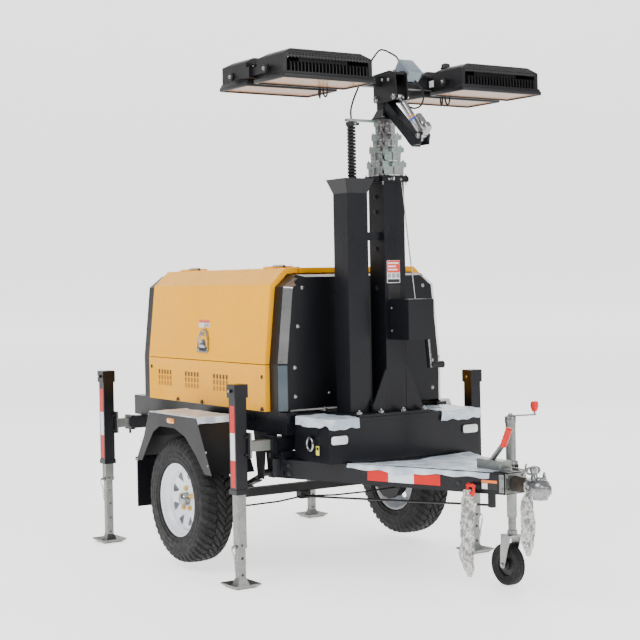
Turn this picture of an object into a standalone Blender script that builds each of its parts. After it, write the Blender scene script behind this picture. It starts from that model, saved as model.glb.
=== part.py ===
"""Mobile light tower on a two-wheeled trailer: four floodlights on a telescopic mast.

Metres, +Z up, +X towards the drawbar, +Y to the left side.  Lengths along X are
measured from the road axle; an empty carries everything to the middle of the plan.
"""

import math

import bmesh
import bpy
from mathutils import Matrix, Vector

# Clearances
SEAT_GAP = 0.0003           # between pieces that rest on each other
SLIDE_GAP = 0.0006          # between a wear pad or collar and what slides through it
RUN_GAP = 0.006             # between pieces that pass each other
BITE = 0.004                # how far fused shapes reach into each other

# Road wheels and axle
TYRE_RADIUS = 0.325
TYRE_WIDTH = 0.185
TYRE_DEPTH = 0.130          # from the tread down to the rim's bead seat
RIM_RADIUS = TYRE_RADIUS - TYRE_DEPTH
RIM_WALL = 0.007
WELL_SHARE = 0.798          # the barrel's narrow middle, as a share of the rim's radius
WHEEL_RUN = 0.016           # how far the rim's flanges lie inside the tyre's walls
STUD_RADIUS = 0.0115
WHEEL_Y = 0.685
WHEEL_Z = 0.360
WHEEL_SIDES = 26
WHEEL_HOLES = 8
WHEEL_STUDS = 5
STUD_CIRCLE = 0.056
# The pressed disc's section, as (share of the rim's radius, level out from the wheel's middle)
DISC_SECTION = ((0, 0.020), (0.538, 0.020), (0.656, 0.034), (0.820, 0.026), (0.820, 0.020),
                (0.646, 0.027), (0.554, 0.012), (0, 0.012))
# The corners of a hand hole, as (share of the rim's radius, turn from the hole's middle)
HOLE_CORNERS = ((0.482, 0.13), (0.482, -0.13), (0.733, -0.20), (0.769, 0.0), (0.733, 0.20))
HUB_CAP_RADIUS = 0.034
HUB_CAP_END = 0.064
STUB_RADIUS = 0.020
DRUM_RADIUS = RIM_RADIUS - 0.080
DRUM_WIDTH = 0.055
DRUM_INSET = 0.105          # from the wheel's middle plane in to the drum's back
DRUM_SIDES = 16
EYE_RADIUS = 0.018
U_BOLT_RADIUS = 0.006
ARCH_RISE = 0.105           # of a leaf spring's ends over its middle
AXLE_BEAM = 0.045
SPRING_Y = 0.465
SPRING_LENGTH = 0.78
SPRING_WIDTH = 0.050
SPRING_LEAF = 0.009
SPRING_LEAVES = 3

# Chassis
RAIL_TOP = 0.830
RAIL_HEIGHT = 0.110
RAIL_WIDTH = 0.060
RAIL_OUTER_Y = 0.495
CHASSIS_FRONT = 0.640
CHASSIS_REAR = -1.030
SLEEVE_SIDE = 0.070
SLEEVE_WALL = 0.0065
SLEEVE_Z = 0.6775
SLEEVE_MOUTH_Y = 0.560
FRONT_JACK_X = 0.569
REAR_JACK_X = -0.988
FRONT_JACK_Y = 0.7275
REAR_JACK_Y = 0.6925
ARM_SIDE = 0.050
ARM_LENGTH = 0.530
ARM_WALL = 0.005

# Jacks
JACK_SIDE = 0.062
JACK_WALL = 0.003
JACK_BOTTOM = 0.450
JACK_TOP = 0.920
CAP_SIDE = 0.075
CAP_HEIGHT = 0.065
LEG_SIDE = 0.048
LEG_LENGTH = 0.475
FRONT_LEG_BOTTOM = 0.190
REAR_LEG_BOTTOM = 0.353
DROP_LEG_SIDE = 0.038
PAD_SIDE = 0.146
PAD_THICK = 0.006
PAD_LIP = 0.022
FLANGE_HEIGHT = 0.122
FLANGE_WIDTH = 0.088
FLANGE_THICK = 0.010

# Canopy
CANOPY_REAR = -0.7592
CANOPY_FRONT = 0.5026
SIDE_Y = 0.5303
SIDE_BOTTOM = RAIL_TOP + SEAT_GAP
SEAM_Z = 1.0645
CREASE_Y = 0.4884
CREASE_Z = 1.4584
EDGE_Y = 0.4011
EDGE_Z = 1.5391
HINGE_Y = 0.330
HINGE_Z = 1.5480
PANEL_THICK = 0.028
DOOR_GAP = 0.004
LIP_WIDTH = 0.020
HINGES_X = (-0.57, 0.33)
HINGE_RADIUS = 0.009
CAP_LENGTH = 0.111
CAP_INSET = 0.036
CAP_SIDE_Y = 0.505
CAP_TOP = 1.493
CAP_TOP_Y = 0.3666
CAP_SHOULDER_Z = 1.434
CAP_SHOULDER_Y = 0.4236
CAP_THICK = 0.030

# Fenders
FENDER_INNER_Y = 0.556
FENDER_OUTER_Y = 0.800
FENDER_SKIN = 0.005
FLAP_THICK = 0.008
FLAP_BOTTOM = 0.282

# Front box, mast foot and mast
BAR_TOP = 0.603
BAR_HEIGHT = 0.090
BOX_REAR = 0.6435
BOX_FRONT = 0.9515
BOX_HALF = 0.4526
BOX_BOTTOM = BAR_TOP + SEAT_GAP
BOX_TOP = 0.8145
BASE_THICK = 0.0125
BASE_REAR = 0.600
BASE_FRONT = 0.950
BASE_RIGHT = -0.277
BASE_LEFT = 0.153
MAST_X = 0.819
MAST_SIDES = (0.125, 0.107, 0.089, 0.071, 0.053)
MAST_WALL = 0.004
COLLAR_BOTTOMS = (1.952, 2.023, 2.097, 2.160, 2.231)
COLLAR_HEIGHT = 0.030
COLLAR_FLANGE = 0.014       # how far a collar stands out from its own tube
COLLAR_LIP = 0.012
SHOE_HEIGHT = 0.060
MAST_TRAVEL = 3.60
DUCT_X = 0.7985
DUCT_Y = -0.2035
DUCT_SIDE = 0.120
DUCT_WALL = 0.004
DUCT_TOP = 1.895
FUNNEL_TOP = 1.965
FUNNEL_SIDE = 0.170

# Winch
SLOT_GROUPS = (-0.569, -0.257, 0.055)       # middles of the air slots in a side panel
SLOT_Z = 0.953
SLOT_PITCH = 0.0335
SLOT_RISE = 0.031
SLOT_WIDE = 0.020
SLOT_TALL = 0.024
PIN_HOLE_LOW = 0.062
PIN_HOLE_PITCH = 0.080
WINCH_REAR = 0.883
WINCH_FRONT = 1.031
WINCH_RIGHT = -0.035
WINCH_LEFT = 0.120
WINCH_BOTTOM = 1.178
WINCH_TOP = 1.375
CABLE_RADIUS = 0.003

# Drawbar
BAR_WIDTH = 0.050
BAR_START_X = 0.560
BAR_END_X = 1.743
BAR_START_Y = 0.531
BAR_END_Y = 0.060
COVER_THICK = 0.006
COVER_START_X = 1.150
COUPLING_Z = 0.559
COUPLING_NOSE_X = 1.963
BALL_X = 1.911
BALL_RADIUS = 0.0275

# Jockey wheel
JOCKEY_X = 1.360
JOCKEY_Y = 0.312
JOCKEY_SIDES = 20
JOCKEY_TUBE_RADIUS = 0.024
JOCKEY_TUBE_TOP = 0.784
JOCKEY_TUBE_BOTTOM = 0.330
JOCKEY_LEG_RADIUS = 0.0190
JOCKEY_WHEEL_RADIUS = 0.100
JOCKEY_WHEEL_WIDTH = 0.050

# Mast head
HEAD_X = 0.819
BAR_SIDE = 0.050
HEAD_BAR_Z = 2.445
HEAD_BAR_HALF = 0.790
TILT_X = 0.800
TILT_Z = 2.362
LAMP_END = 0.020            # from the crossbar's end to its last floodlight
LAMP_CLEAR = 0.260          # from the middle plane to the first floodlight
LAMP_LONG = HEAD_BAR_HALF - LAMP_END - LAMP_CLEAR       # a floodlight's length along the crossbar
LAMP_Y = LAMP_CLEAR + LAMP_LONG / 2
LAMP_WIDE = 0.265            # a floodlight's width across the crossbar
LAMP_HEIGHT = 0.140
LAMP_BOTTOM = 2.390
LAMP_SPREAD = 0.155
LAMP_FRAME = 0.032          # height of a floodlight's glazed frame
LAMP_FIN_TOP = 0.098
FIN_COUNT = 11
FIN_THICK = 0.004
YOKE_THICK = 0.005
YOKE_HALF = 0.018           # half a yoke plate's height
BOSS_RADIUS = 0.014
LAMP_RIM = 0.008             # from a frame's end to the hood's end wall
LAMP_WALL = 0.032            # from a frame's end to the end wall's inner side
YOKE_OFFSET = 0.0055        # from a floodlight's side to the middle of its yoke plate
ARM_END_X = 1.085
ARM_END_Z = 2.125
LOW_PIN = (1.125, 2.155)
ROD_EYE = (0.945, 2.362)
POST_SIDE = 0.056
POST_TOP = 2.392

JUNCTION = (0.885, 0.100, 2.500)
JUNCTION_SIZE = (0.150, 0.110, 0.066)
JUNCTION_TILT = 40.0

CURL_RADIUS = 0.022
HEAD_CABLE_RADIUS = 0.0045
ROUND_SECTION = [(math.cos(math.tau * k / 8), math.sin(math.tau * k / 8)) for k in range(8)]

REAR_REACH = PAD_SIDE / 2 - REAR_JACK_X
AXLE_X = (REAR_REACH - COUPLING_NOSE_X) / 2

MATERIALS = {
    # name: (colour, roughness, metallic)
    "yellow_paint": ((0.93, 0.56, 0.02), 0.28, 0.0),
    "black_paint": ((0.012, 0.012, 0.013), 0.42, 0.0),
    "black_plastic": ((0.02, 0.02, 0.02), 0.55, 0.0),
    "zinc": ((0.62, 0.63, 0.64), 0.38, 0.9),
    "rubber": ((0.018, 0.018, 0.018), 0.8, 0.0),
    "white_paint": ((0.86, 0.86, 0.85), 0.3, 0.0),
    "cast_metal": ((0.55, 0.56, 0.57), 0.45, 0.9),
    "grey_box": ((0.36, 0.42, 0.46), 0.5, 0.0),
    "lamp_black": ((0.015, 0.015, 0.017), 0.4, 0.2),
    "dark_metal": ((0.1, 0.1, 0.1), 0.5, 0.6),
    "engine_grey": ((0.2, 0.21, 0.22), 0.6, 0.3),
    "clear_wrap": ((0.7, 0.72, 0.74), 0.25, 0.0),
}


def clear_scene():
    """Empties the startup scene."""
    for item in list(bpy.data.objects):
        bpy.data.objects.remove(item, do_unlink=True)


def material(name):
    """The material of that name, made on first use."""
    known = bpy.data.materials.get(name)
    if known:
        return known
    colour, roughness, metallic = MATERIALS[name]
    made = bpy.data.materials.new(name)
    made.use_nodes = True
    shader = made.node_tree.nodes["Principled BSDF"]
    shader.inputs["Base Color"].default_value = (*colour, 1.0)
    shader.inputs["Roughness"].default_value = roughness
    shader.inputs["Metallic"].default_value = metallic
    return made


# Closed shells: each is (points, faces)

def prism(outline, axis, low, high):
    """An outline of pairs carried along one axis; pairs are the other two axes in XYZ order."""
    count = len(outline)
    points = []
    for level in (low, high):
        for first, second in outline:
            points.append({"x": (level, first, second),
                           "y": (first, level, second),
                           "z": (first, second, level)}[axis])
    faces = [tuple(range(count)), tuple(range(count, 2 * count))]
    for i in range(count):
        j = (i + 1) % count
        faces.append((i, j, count + j, count + i))
    return points, faces


def box(x, y, z):
    """A block between three pairs of limits."""
    return prism([(x[0], y[0]), (x[1], y[0]), (x[1], y[1]), (x[0], y[1])], "z", z[0], z[1])


def block(centre, size):
    """A block by its centre and its three sides."""
    return box(*[(c - s / 2, c + s / 2) for c, s in zip(centre, size)])


def lofted(rings):
    """A skin through rings of equally many points, closed at both ends."""
    count = len(rings[0])
    points = [p for ring in rings for p in ring]
    faces = [tuple(range(count)), tuple(range(len(points) - count, len(points)))]
    for r in range(len(rings) - 1):
        for i in range(count):
            j = (i + 1) % count
            low, high = r * count, (r + 1) * count
            faces.append((low + i, low + j, high + j, high + i))
    return points, faces


def turned(profile, centre, axis, sides=24, start=0.0):
    """A profile of (radius, distance along the axis) turned round the axis; radius 0 closes it."""
    u, v, w = axis_frame(axis)
    points, rings = [], []
    for radius, along in profile:
        ring = []
        for k in range(1 if radius == 0 else sides):
            angle = start + math.tau * k / sides
            across = u * (radius * math.cos(angle)) + v * (radius * math.sin(angle))
            ring.append(len(points))
            points.append(tuple(Vector(centre) + w * along + across))
        rings.append(ring)
    faces = []
    last = len(rings) if rings[0] and profile[0][0] and profile[-1][0] else len(rings) - 1
    for r in range(last):
        low, high = rings[r], rings[(r + 1) % len(rings)]
        for k in range(sides):
            j = (k + 1) % sides
            corners = [low[k % len(low)], low[j % len(low)], high[j % len(high)], high[k % len(high)]]
            corners = list(dict.fromkeys(corners))
            if len(corners) > 2:
                faces.append(tuple(corners))
    return points, faces


def axis_frame(axis):
    """Two directions across an axis, and the axis itself, as unit vectors."""
    w = Vector(axis).normalized()
    helper = Vector((0, 0, 1)) if abs(w.z) < 0.9 else Vector((1, 0, 0))
    u = helper.cross(w).normalized()
    return u, w.cross(u), w


def rod(start, end, radius, sides=12):
    """A round bar between two points."""
    start, end = Vector(start), Vector(end)
    return turned([(0, 0), (radius, 0), (radius, (end - start).length), (0, (end - start).length)],
                  start, end - start, sides)


def beam(start, end, width, height, up=(0, 0, 1)):
    """A rectangular bar between two points, width across and height along up."""
    start, end = Vector(start), Vector(end)
    along = (end - start).normalized()
    side = Vector(up).cross(along).normalized() * (width / 2)
    rise = along.cross(side).normalized() * (height / 2)
    return lofted([[tuple(at + side * a + rise * b) for a, b in ((1, 1), (-1, 1), (-1, -1), (1, -1))]
                   for at in (start, end)])


def swept(path, radius, sides=8, closed=False):
    """A round bar along a path of points."""
    path = [Vector(p) for p in path]
    rings, across = [], None
    for i, at in enumerate(path):
        before = path[i - 1] if i or closed else at
        after = path[(i + 1) % len(path)] if i + 1 < len(path) or closed else at
        u, v, w = axis_frame(after - before)
        if across:
            u = (across - w * across.dot(w)).normalized()
            v = w.cross(u)
        across = u
        rings.append([tuple(at + u * (radius * math.cos(math.tau * k / sides))
                            + v * (radius * math.sin(math.tau * k / sides)))
                      for k in range(sides)])
    points, faces = lofted(rings)
    if closed:
        faces = faces[2:]
        low = len(points) - sides
        for k in range(sides):
            j = (k + 1) % sides
            faces.append((low + k, low + j, j, k))
    return points, faces


def frame_tube(centre, outer, inner, z):
    """The outer block and the inner cutter of an upright square tube."""
    x, y = centre
    return (block((x, y, (z[0] + z[1]) / 2), (outer, outer, z[1] - z[0])),
            block((x, y, (z[0] + z[1]) / 2), (inner, inner, z[1] - z[0] + 0.05)))


def turned_about(shell, pivot, axis, degrees):
    """The shell turned about an axis through a point."""
    points, faces = shell
    turn = (Matrix.Translation(pivot) @ Matrix.Rotation(math.radians(degrees), 4, Vector(axis))
            @ Matrix.Translation(-Vector(pivot)))
    return [tuple(turn @ Vector(p)) for p in points], faces


def mesh_of(name, shells, origin):
    """One mesh of several closed shells, each with its faces pointing out."""
    whole = bmesh.new()
    for points, faces in shells:
        made = bmesh.new()
        corners = [made.verts.new(Vector(p) - Vector(origin)) for p in points]
        for face in faces:
            made.faces.new([corners[i] for i in face])
        bmesh.ops.recalc_face_normals(made, faces=made.faces)
        if made.calc_volume(signed=True) < 0:
            bmesh.ops.reverse_faces(made, faces=made.faces)
        part = bpy.data.meshes.new("part")
        made.to_mesh(part)
        made.free()
        whole.from_mesh(part)
        bpy.data.meshes.remove(part)
    mesh = bpy.data.meshes.new(name)
    whole.to_mesh(mesh)
    whole.free()
    return mesh


def helper(name, shells, origin, parent):
    """A hidden operand of a Boolean."""
    made = bpy.data.objects.new(name, mesh_of(name, shells, origin))
    bpy.context.scene.collection.objects.link(made)
    made.location = origin
    made.parent = parent
    made.hide_render = True
    made.display_type = "WIRE"
    return made


TRAILER = None


def node(name, finish, shells, cuts=(), origin=(0.0, 0.0, 0.0), angle=35.0):
    """One named piece: its first shell, the others joined to it, and the cuts taken out."""
    mesh = mesh_of(name, shells[:1], origin)
    made = bpy.data.objects.new(name, mesh)
    bpy.context.scene.collection.objects.link(made)
    made.location = origin
    made.parent = TRAILER
    mesh.materials.append(material(finish))
    mesh.shade_smooth()
    mesh.set_sharp_from_angle(angle=math.radians(angle))
    for operation, operands in (("UNION", shells[1:]), ("DIFFERENCE", cuts)):
        if operands:
            step = made.modifiers.new(operation.lower(), "BOOLEAN")
            step.operation = operation
            step.solver = "EXACT"
            step.use_self = True
            step.object = helper(name + "_" + operation.lower(), operands, origin, TRAILER)
    return made


def road_wheels():
    """Tyres, spoked rims with studs and hub caps; each turns on its own stub."""
    half = TYRE_WIDTH / 2
    rim_half = half - WHEEL_RUN
    for side, sign in (("right", -1), ("left", 1)):
        centre = (0.0, sign * WHEEL_Y, WHEEL_Z)
        out = (0, sign, 0)
        bead = RIM_RADIUS - 0.006
        tread = [(bead, -half + 0.014), (RIM_RADIUS + 0.030, -half), (TYRE_RADIUS - 0.055, -half),
                 (TYRE_RADIUS - 0.020, -half + 0.012), (TYRE_RADIUS - 0.006, -half + 0.030),
                 (TYRE_RADIUS, -half + 0.046), (TYRE_RADIUS, half - 0.046),
                 (TYRE_RADIUS - 0.006, half - 0.030), (TYRE_RADIUS - 0.020, half - 0.012),
                 (TYRE_RADIUS - 0.055, half), (RIM_RADIUS + 0.030, half), (bead, half - 0.014)]
        node(f"tyre_{side}", "rubber", [turned(tread, centre, out, WHEEL_SIDES)], origin=centre)
        seat = bead - SEAT_GAP
        well = RIM_RADIUS * WELL_SHARE
        barrel = [(seat, -rim_half), (seat, rim_half), (seat - RIM_WALL - 0.004, rim_half + 0.004),
                  (well, rim_half - 0.040), (well, 0.0),
                  (seat - RIM_WALL - 0.004, -rim_half - 0.004)]
        dish = [(share * RIM_RADIUS, level) for share, level in DISC_SECTION]
        shells = [turned(barrel, centre, out, WHEEL_SIDES), turned(dish, centre, out, WHEEL_SIDES)]
        u, v, w = axis_frame(out)
        for k in range(WHEEL_STUDS):
            angle = math.tau * k / WHEEL_STUDS
            at = Vector(centre) + (u * math.cos(angle) + v * math.sin(angle)) * STUD_CIRCLE
            shells.append(rod(at + w * 0.015, at + w * 0.036, STUD_RADIUS, 6))
        shells.append(turned([(0, 0.015), (HUB_CAP_RADIUS, 0.015), (HUB_CAP_RADIUS, HUB_CAP_END - 0.014),
                              (HUB_CAP_RADIUS - 0.006, HUB_CAP_END - 0.002), (0, HUB_CAP_END)],
                             centre, out, 16))
        cuts = []
        for k in range(WHEEL_HOLES):
            angle = math.tau * (k + 0.5) / WHEEL_HOLES
            corners = []
            for share, turn in HOLE_CORNERS:
                reach = share * RIM_RADIUS
                corners.append(u * (reach * math.cos(angle + turn)) + v * (reach * math.sin(angle + turn)))
            cuts.append(lofted([[tuple(Vector(centre) + c + w * level) for c in corners]
                                for level in (0.0, 0.06)]))
        cuts.append(rod(Vector(centre) - w * 0.05, Vector(centre) + w * 0.030,
                        (STUB_RADIUS + SEAT_GAP) / math.cos(math.pi / 16), 16))
        node(f"rim_{side}", "white_paint", shells, cuts, origin=centre)


def axle():
    """Square beam with stubs, brake drums, leaf springs and their hangers."""
    beam_end = WHEEL_Y - DRUM_INSET + BITE
    shells = [block((0, 0, WHEEL_Z), (AXLE_BEAM, 2 * beam_end, AXLE_BEAM))]
    for sign in (-1, 1):
        inner = sign * (WHEEL_Y - DRUM_INSET)
        shells.append(turned([(0, 0), (DRUM_RADIUS, 0), (DRUM_RADIUS, DRUM_WIDTH - 0.008),
                              (DRUM_RADIUS - 0.010, DRUM_WIDTH), (0, DRUM_WIDTH)],
                             (0, inner, WHEEL_Z), (0, sign, 0), DRUM_SIDES))
        shells.append(turned([(0, -0.010), (DRUM_RADIUS + 0.008, -0.010), (DRUM_RADIUS + 0.008, 0.004),
                              (0, 0.004)], (0, inner, WHEEL_Z), (0, sign, 0), DRUM_SIDES))
        shells.append(rod((0, inner, WHEEL_Z), (0, sign * (WHEEL_Y + 0.028), WHEEL_Z), STUB_RADIUS))
        for leaf in range(SPRING_LEAVES):
            half = SPRING_LENGTH / 2 * (1 - 0.21 * leaf)
            top = WHEEL_Z + AXLE_BEAM / 2 + 0.004 + SPRING_LEAVES * SPRING_LEAF - leaf * SPRING_LEAF
            arch = [(x, top + ARCH_RISE * (x / SPRING_LENGTH * 2) ** 2) for x in
                    [half * (k / 2 - 1) for k in range(5)]]
            under = [(x, z - SPRING_LEAF - 0.001) for x, z in reversed(arch)]
            shells.append(prism(arch + under, "y", sign * SPRING_Y - SPRING_WIDTH / 2 + 0.001 * leaf,
                                sign * SPRING_Y + SPRING_WIDTH / 2 - 0.001 * leaf))
        for end in (-1, 1):
            x = end * SPRING_LENGTH / 2
            z = WHEEL_Z + AXLE_BEAM / 2 + 0.004 + SPRING_LEAVES * SPRING_LEAF + ARCH_RISE
            eye_top = RAIL_TOP - RAIL_HEIGHT - SEAT_GAP
            shells.append(rod((x, sign * SPRING_Y - 0.032, z - 0.005),
                              (x, sign * SPRING_Y + 0.032, z - 0.005), EYE_RADIUS, 8))
            outline = [(x - 0.028, z - 0.032), (x + 0.028, z - 0.032),
                       (x + 0.060, eye_top), (x - 0.060, eye_top)]
            for inner_side in (-1, 1):
                y = sign * SPRING_Y + inner_side * 0.031
                shells.append(prism(outline, "y", y - 0.003, y + 0.003))
        clamp_top = WHEEL_Z + AXLE_BEAM / 2 + 0.004 + SPRING_LEAVES * SPRING_LEAF + 0.008
        for x in (-0.032, 0.032):
            for y in (-0.031, 0.031):
                shells.append(rod((x, sign * SPRING_Y + y, WHEEL_Z - 0.045),
                                  (x, sign * SPRING_Y + y, clamp_top), U_BOLT_RADIUS, 6))
        for z in (WHEEL_Z - 0.034, clamp_top - 0.010):
            shells.append(block((0, sign * SPRING_Y, z), (0.090, 0.084, 0.012)))
        shells.append(block((0, sign * SPRING_Y, WHEEL_Z - 0.024), (0.060, 0.050, 0.020)))
    node("axle", "dark_metal", shells)


def fenders():
    """Angular mudguards with a slanted front, each with its rubber flap."""
    outer = [(-0.394, 0.537), (-0.304, 0.667), (-0.240, 0.800), (0.282, 0.800), (0.429, 0.530)]
    arch = [(0.358, 0.530), (0.269, 0.618), (0.160, 0.700), (0.050, 0.734), (-0.120, 0.734),
            (-0.190, 0.700), (-0.259, 0.623), (-0.330, 0.537)]
    skin = [(-0.394, 0.537), (-0.304, 0.667), (-0.240, 0.800), (0.282, 0.800), (0.429, 0.530),
            (0.423, 0.529), (0.2785, 0.7945), (-0.2366, 0.7945), (-0.2995, 0.6645), (-0.389, 0.5355)]
    for side, sign in (("right", -1), ("left", 1)):
        face = sorted((sign * (FENDER_OUTER_Y - FENDER_SKIN), sign * FENDER_OUTER_Y))
        across = sorted((sign * FENDER_INNER_Y, sign * (FENDER_OUTER_Y - 0.002)))
        back = sorted((sign * FENDER_INNER_Y, sign * (FENDER_INNER_Y + FENDER_SKIN)))
        shells = [prism(outer + arch, "y", *face), prism(skin, "y", *across),
                  prism([(-0.240, 0.800), (0.282, 0.800), (0.330, 0.710), (-0.270, 0.735)], "y", *back)]
        near, far = sorted((sign * (RAIL_OUTER_Y + SEAT_GAP), sign * (FENDER_INNER_Y + BITE)))
        for x in (-0.180, 0.220):
            shells.append(box((x - 0.025, x + 0.025), (near, far), (0.755, 0.785)))
        shells.append(box((x_flap() - 0.012, x_flap() + 0.030),
                          sorted((sign * FENDER_INNER_Y, sign * (FENDER_OUTER_Y - 0.003))), (0.530, 0.548)))
        shells.append(box((x_flap() - FLAP_THICK / 2, x_flap() + FLAP_THICK / 2),
                          sorted((sign * (FENDER_INNER_Y + 0.006), sign * (FENDER_OUTER_Y - 0.008))),
                          (FLAP_BOTTOM, 0.535)))
        node(f"fender_{side}", "black_plastic", shells)


def x_flap():
    """Where a rubber flap hangs behind its wheel."""
    return -0.404


def chassis():
    """Two long rails, cross members and the four outrigger sleeves under them."""
    inner_y = RAIL_OUTER_Y - RAIL_WIDTH
    low = RAIL_TOP - RAIL_HEIGHT
    shells, cuts = [], []
    for sign in (-1, 1):
        y = sorted((sign * inner_y, sign * RAIL_OUTER_Y))
        shells.append(box((CHASSIS_REAR, CHASSIS_FRONT), y, (low, RAIL_TOP)))
        hollow = sorted((sign * (inner_y - 0.01), sign * (RAIL_OUTER_Y - 0.006)))
        cuts.append(box((CHASSIS_REAR + 0.070, CHASSIS_FRONT - 0.110), hollow,
                        (low + 0.007, RAIL_TOP - 0.007)))
    for x in (CHASSIS_REAR + 0.030, -0.420, 0.100, CHASSIS_FRONT - 0.035):
        top = BOX_TOP if x > BASE_REAR else RAIL_TOP - 0.004
        shells.append(box((x - 0.029, x + 0.029), (-inner_y - 0.020, inner_y + 0.020),
                          (low + 0.004, top)))
    for x in (FRONT_JACK_X, REAR_JACK_X):
        half = SLEEVE_SIDE / 2
        shells.append(box((x - half, x + half), (-SLEEVE_MOUTH_Y, SLEEVE_MOUTH_Y),
                          (SLEEVE_Z - half, SLEEVE_Z + half)))
        shells.append(box((x - 0.024, x + 0.024), (-inner_y - 0.03, inner_y + 0.03),
                          (SLEEVE_Z + half - BITE, low + 0.012)))
        for sign in (-1, 1):
            bore = ARM_SIDE + 2 * SLIDE_GAP
            cuts.append(block((x, sign * SLEEVE_MOUTH_Y, SLEEVE_Z), (bore, SLEEVE_MOUTH_Y * 1.96, bore)))
            y = sign * (SLEEVE_MOUTH_Y - 0.012)
            shells.append(block((x, y, SLEEVE_Z), (SLEEVE_SIDE + 0.014, 0.024, SLEEVE_SIDE + 0.012)))
            shells.append(rod((x, y, SLEEVE_Z - half - 0.030), (x, y, SLEEVE_Z - half + 0.002), 0.007, 8))
    node("chassis", "black_paint", shells, cuts)


def outriggers():
    """Four arms that slide out, jack tubes on their ends, inner legs and pads."""
    for place, x, jack_y, leg_bottom in (("front", FRONT_JACK_X, FRONT_JACK_Y, FRONT_LEG_BOTTOM),
                                         ("rear", REAR_JACK_X, REAR_JACK_Y, REAR_LEG_BOTTOM)):
        for side, sign in (("right", -1), ("left", 1)):
            name = f"{place}_{side}"
            tube_face = jack_y - JACK_SIDE / 2
            plate_face = tube_face - 0.020
            ends = sorted((sign * (plate_face - ARM_LENGTH), sign * (plate_face + BITE)))
            half = ARM_SIDE / 2
            arm = [box((x - half, x + half), ends, (SLEEVE_Z - half, SLEEVE_Z + half)),
                   box((x - FLANGE_WIDTH / 2, x + FLANGE_WIDTH / 2),
                       sorted((sign * plate_face, sign * (plate_face + FLANGE_THICK - SEAT_GAP))),
                       (SLEEVE_Z + 0.007 - FLANGE_HEIGHT / 2, SLEEVE_Z + 0.007 + FLANGE_HEIGHT / 2))]
            bore_half = half - ARM_WALL
            hollow = sorted((sign * (plate_face - ARM_LENGTH - 0.02), sign * (plate_face - 0.020)))
            node(f"outrigger_arm_{name}", "zinc", arm,
                 [box((x - bore_half, x + bore_half), hollow, (SLEEVE_Z - bore_half, SLEEVE_Z + bore_half))],
                 origin=(x, sign * plate_face, SLEEVE_Z))
            y = sign * jack_y
            outer, inner = frame_tube((x, y), JACK_SIDE, JACK_SIDE - 2 * JACK_WALL, (JACK_BOTTOM, JACK_TOP))
            jack = [outer, block((x, y, JACK_TOP + CAP_HEIGHT / 2 - 0.004), (CAP_SIDE, CAP_SIDE, CAP_HEIGHT)),
                    box((x - FLANGE_WIDTH / 2, x + FLANGE_WIDTH / 2),
                        sorted((sign * (plate_face + FLANGE_THICK), sign * (tube_face + 0.002))),
                        (SLEEVE_Z + 0.007 - FLANGE_HEIGHT / 2, SLEEVE_Z + 0.007 + FLANGE_HEIGHT / 2))]
            shaft_z = JACK_TOP + CAP_HEIGHT * 0.45
            jack.append(rod((x, y + sign * (CAP_SIDE / 2 - BITE), shaft_z),
                            (x, y + sign * (CAP_SIDE / 2 + 0.010), shaft_z), 0.009, 6))
            jack.append(block((x, y, JACK_BOTTOM + 0.012), (JACK_SIDE + 0.008, JACK_SIDE + 0.008, 0.024)))
            for dx in (-1, 1):
                for dz in (-1, 1):
                    bolt = (x + dx * (FLANGE_WIDTH / 2 - 0.0085), SLEEVE_Z + 0.007 + dz * (FLANGE_HEIGHT / 2 - 0.018))
                    at = sign * (plate_face + 0.018)
                    jack.append(rod((bolt[0], at, bolt[1]), (bolt[0], sign * (plate_face + 0.034), bolt[1]),
                                    0.008, 6))
            bore = LEG_SIDE + 2 * SLIDE_GAP
            cut = [block((x, y, (JACK_BOTTOM + JACK_TOP - 0.012) / 2 - 0.05),
                         (bore, bore, JACK_TOP - JACK_BOTTOM - 0.012 + 0.10))]
            hollow = JACK_SIDE - 2 * JACK_WALL
            cut.append(box((x - hollow / 2, x + hollow / 2), (y - hollow / 2, y + hollow / 2),
                           (JACK_BOTTOM + 0.030, JACK_TOP - 0.014)))
            node(f"jack_tube_{name}", "black_paint", jack, cut, origin=(x, y, JACK_BOTTOM))
            leg = LEG_SIDE / 2
            drop = DROP_LEG_SIDE / 2
            leg_top = leg_bottom + LEG_LENGTH
            shells = [box((x - leg, x + leg), (y - leg, y + leg), (leg_bottom, leg_top)),
                      box((x - drop, x + drop), (y - drop, y + drop), (PAD_THICK - 0.003, leg_bottom + 0.020))]
            shells.append(rod((x - 0.036, y, leg_bottom + 0.014), (x + 0.036, y, leg_bottom + 0.014), 0.006, 8))
            edge = PAD_SIDE / 2
            shells.append(block((x, y, PAD_THICK / 2), (PAD_SIDE - 0.036, PAD_SIDE - 0.036, PAD_THICK)))
            for dx, dy in ((1, 0), (-1, 0), (0, 1), (0, -1)):
                shells.append(pad_lip(x, y, dx, dy, edge))
            shells.append(lofted([[(x + a * s, y + b * s, z) for a, b in ((1, 1), (-1, 1), (-1, -1), (1, -1))]
                                  for s, z in ((0.034, PAD_THICK - 0.002), (drop + 0.001, 0.045))]))
            cuts = [block((x, y, PIN_HOLE_LOW + PIN_HOLE_PITCH * k), (DROP_LEG_SIDE + 0.01, 0.013, 0.013))
                    for k in range(1 + int((leg_bottom - 0.015 - PIN_HOLE_LOW) / PIN_HOLE_PITCH))]
            node(f"jack_leg_{name}", "zinc", shells, cuts, origin=(x, y, 0.0))


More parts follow.
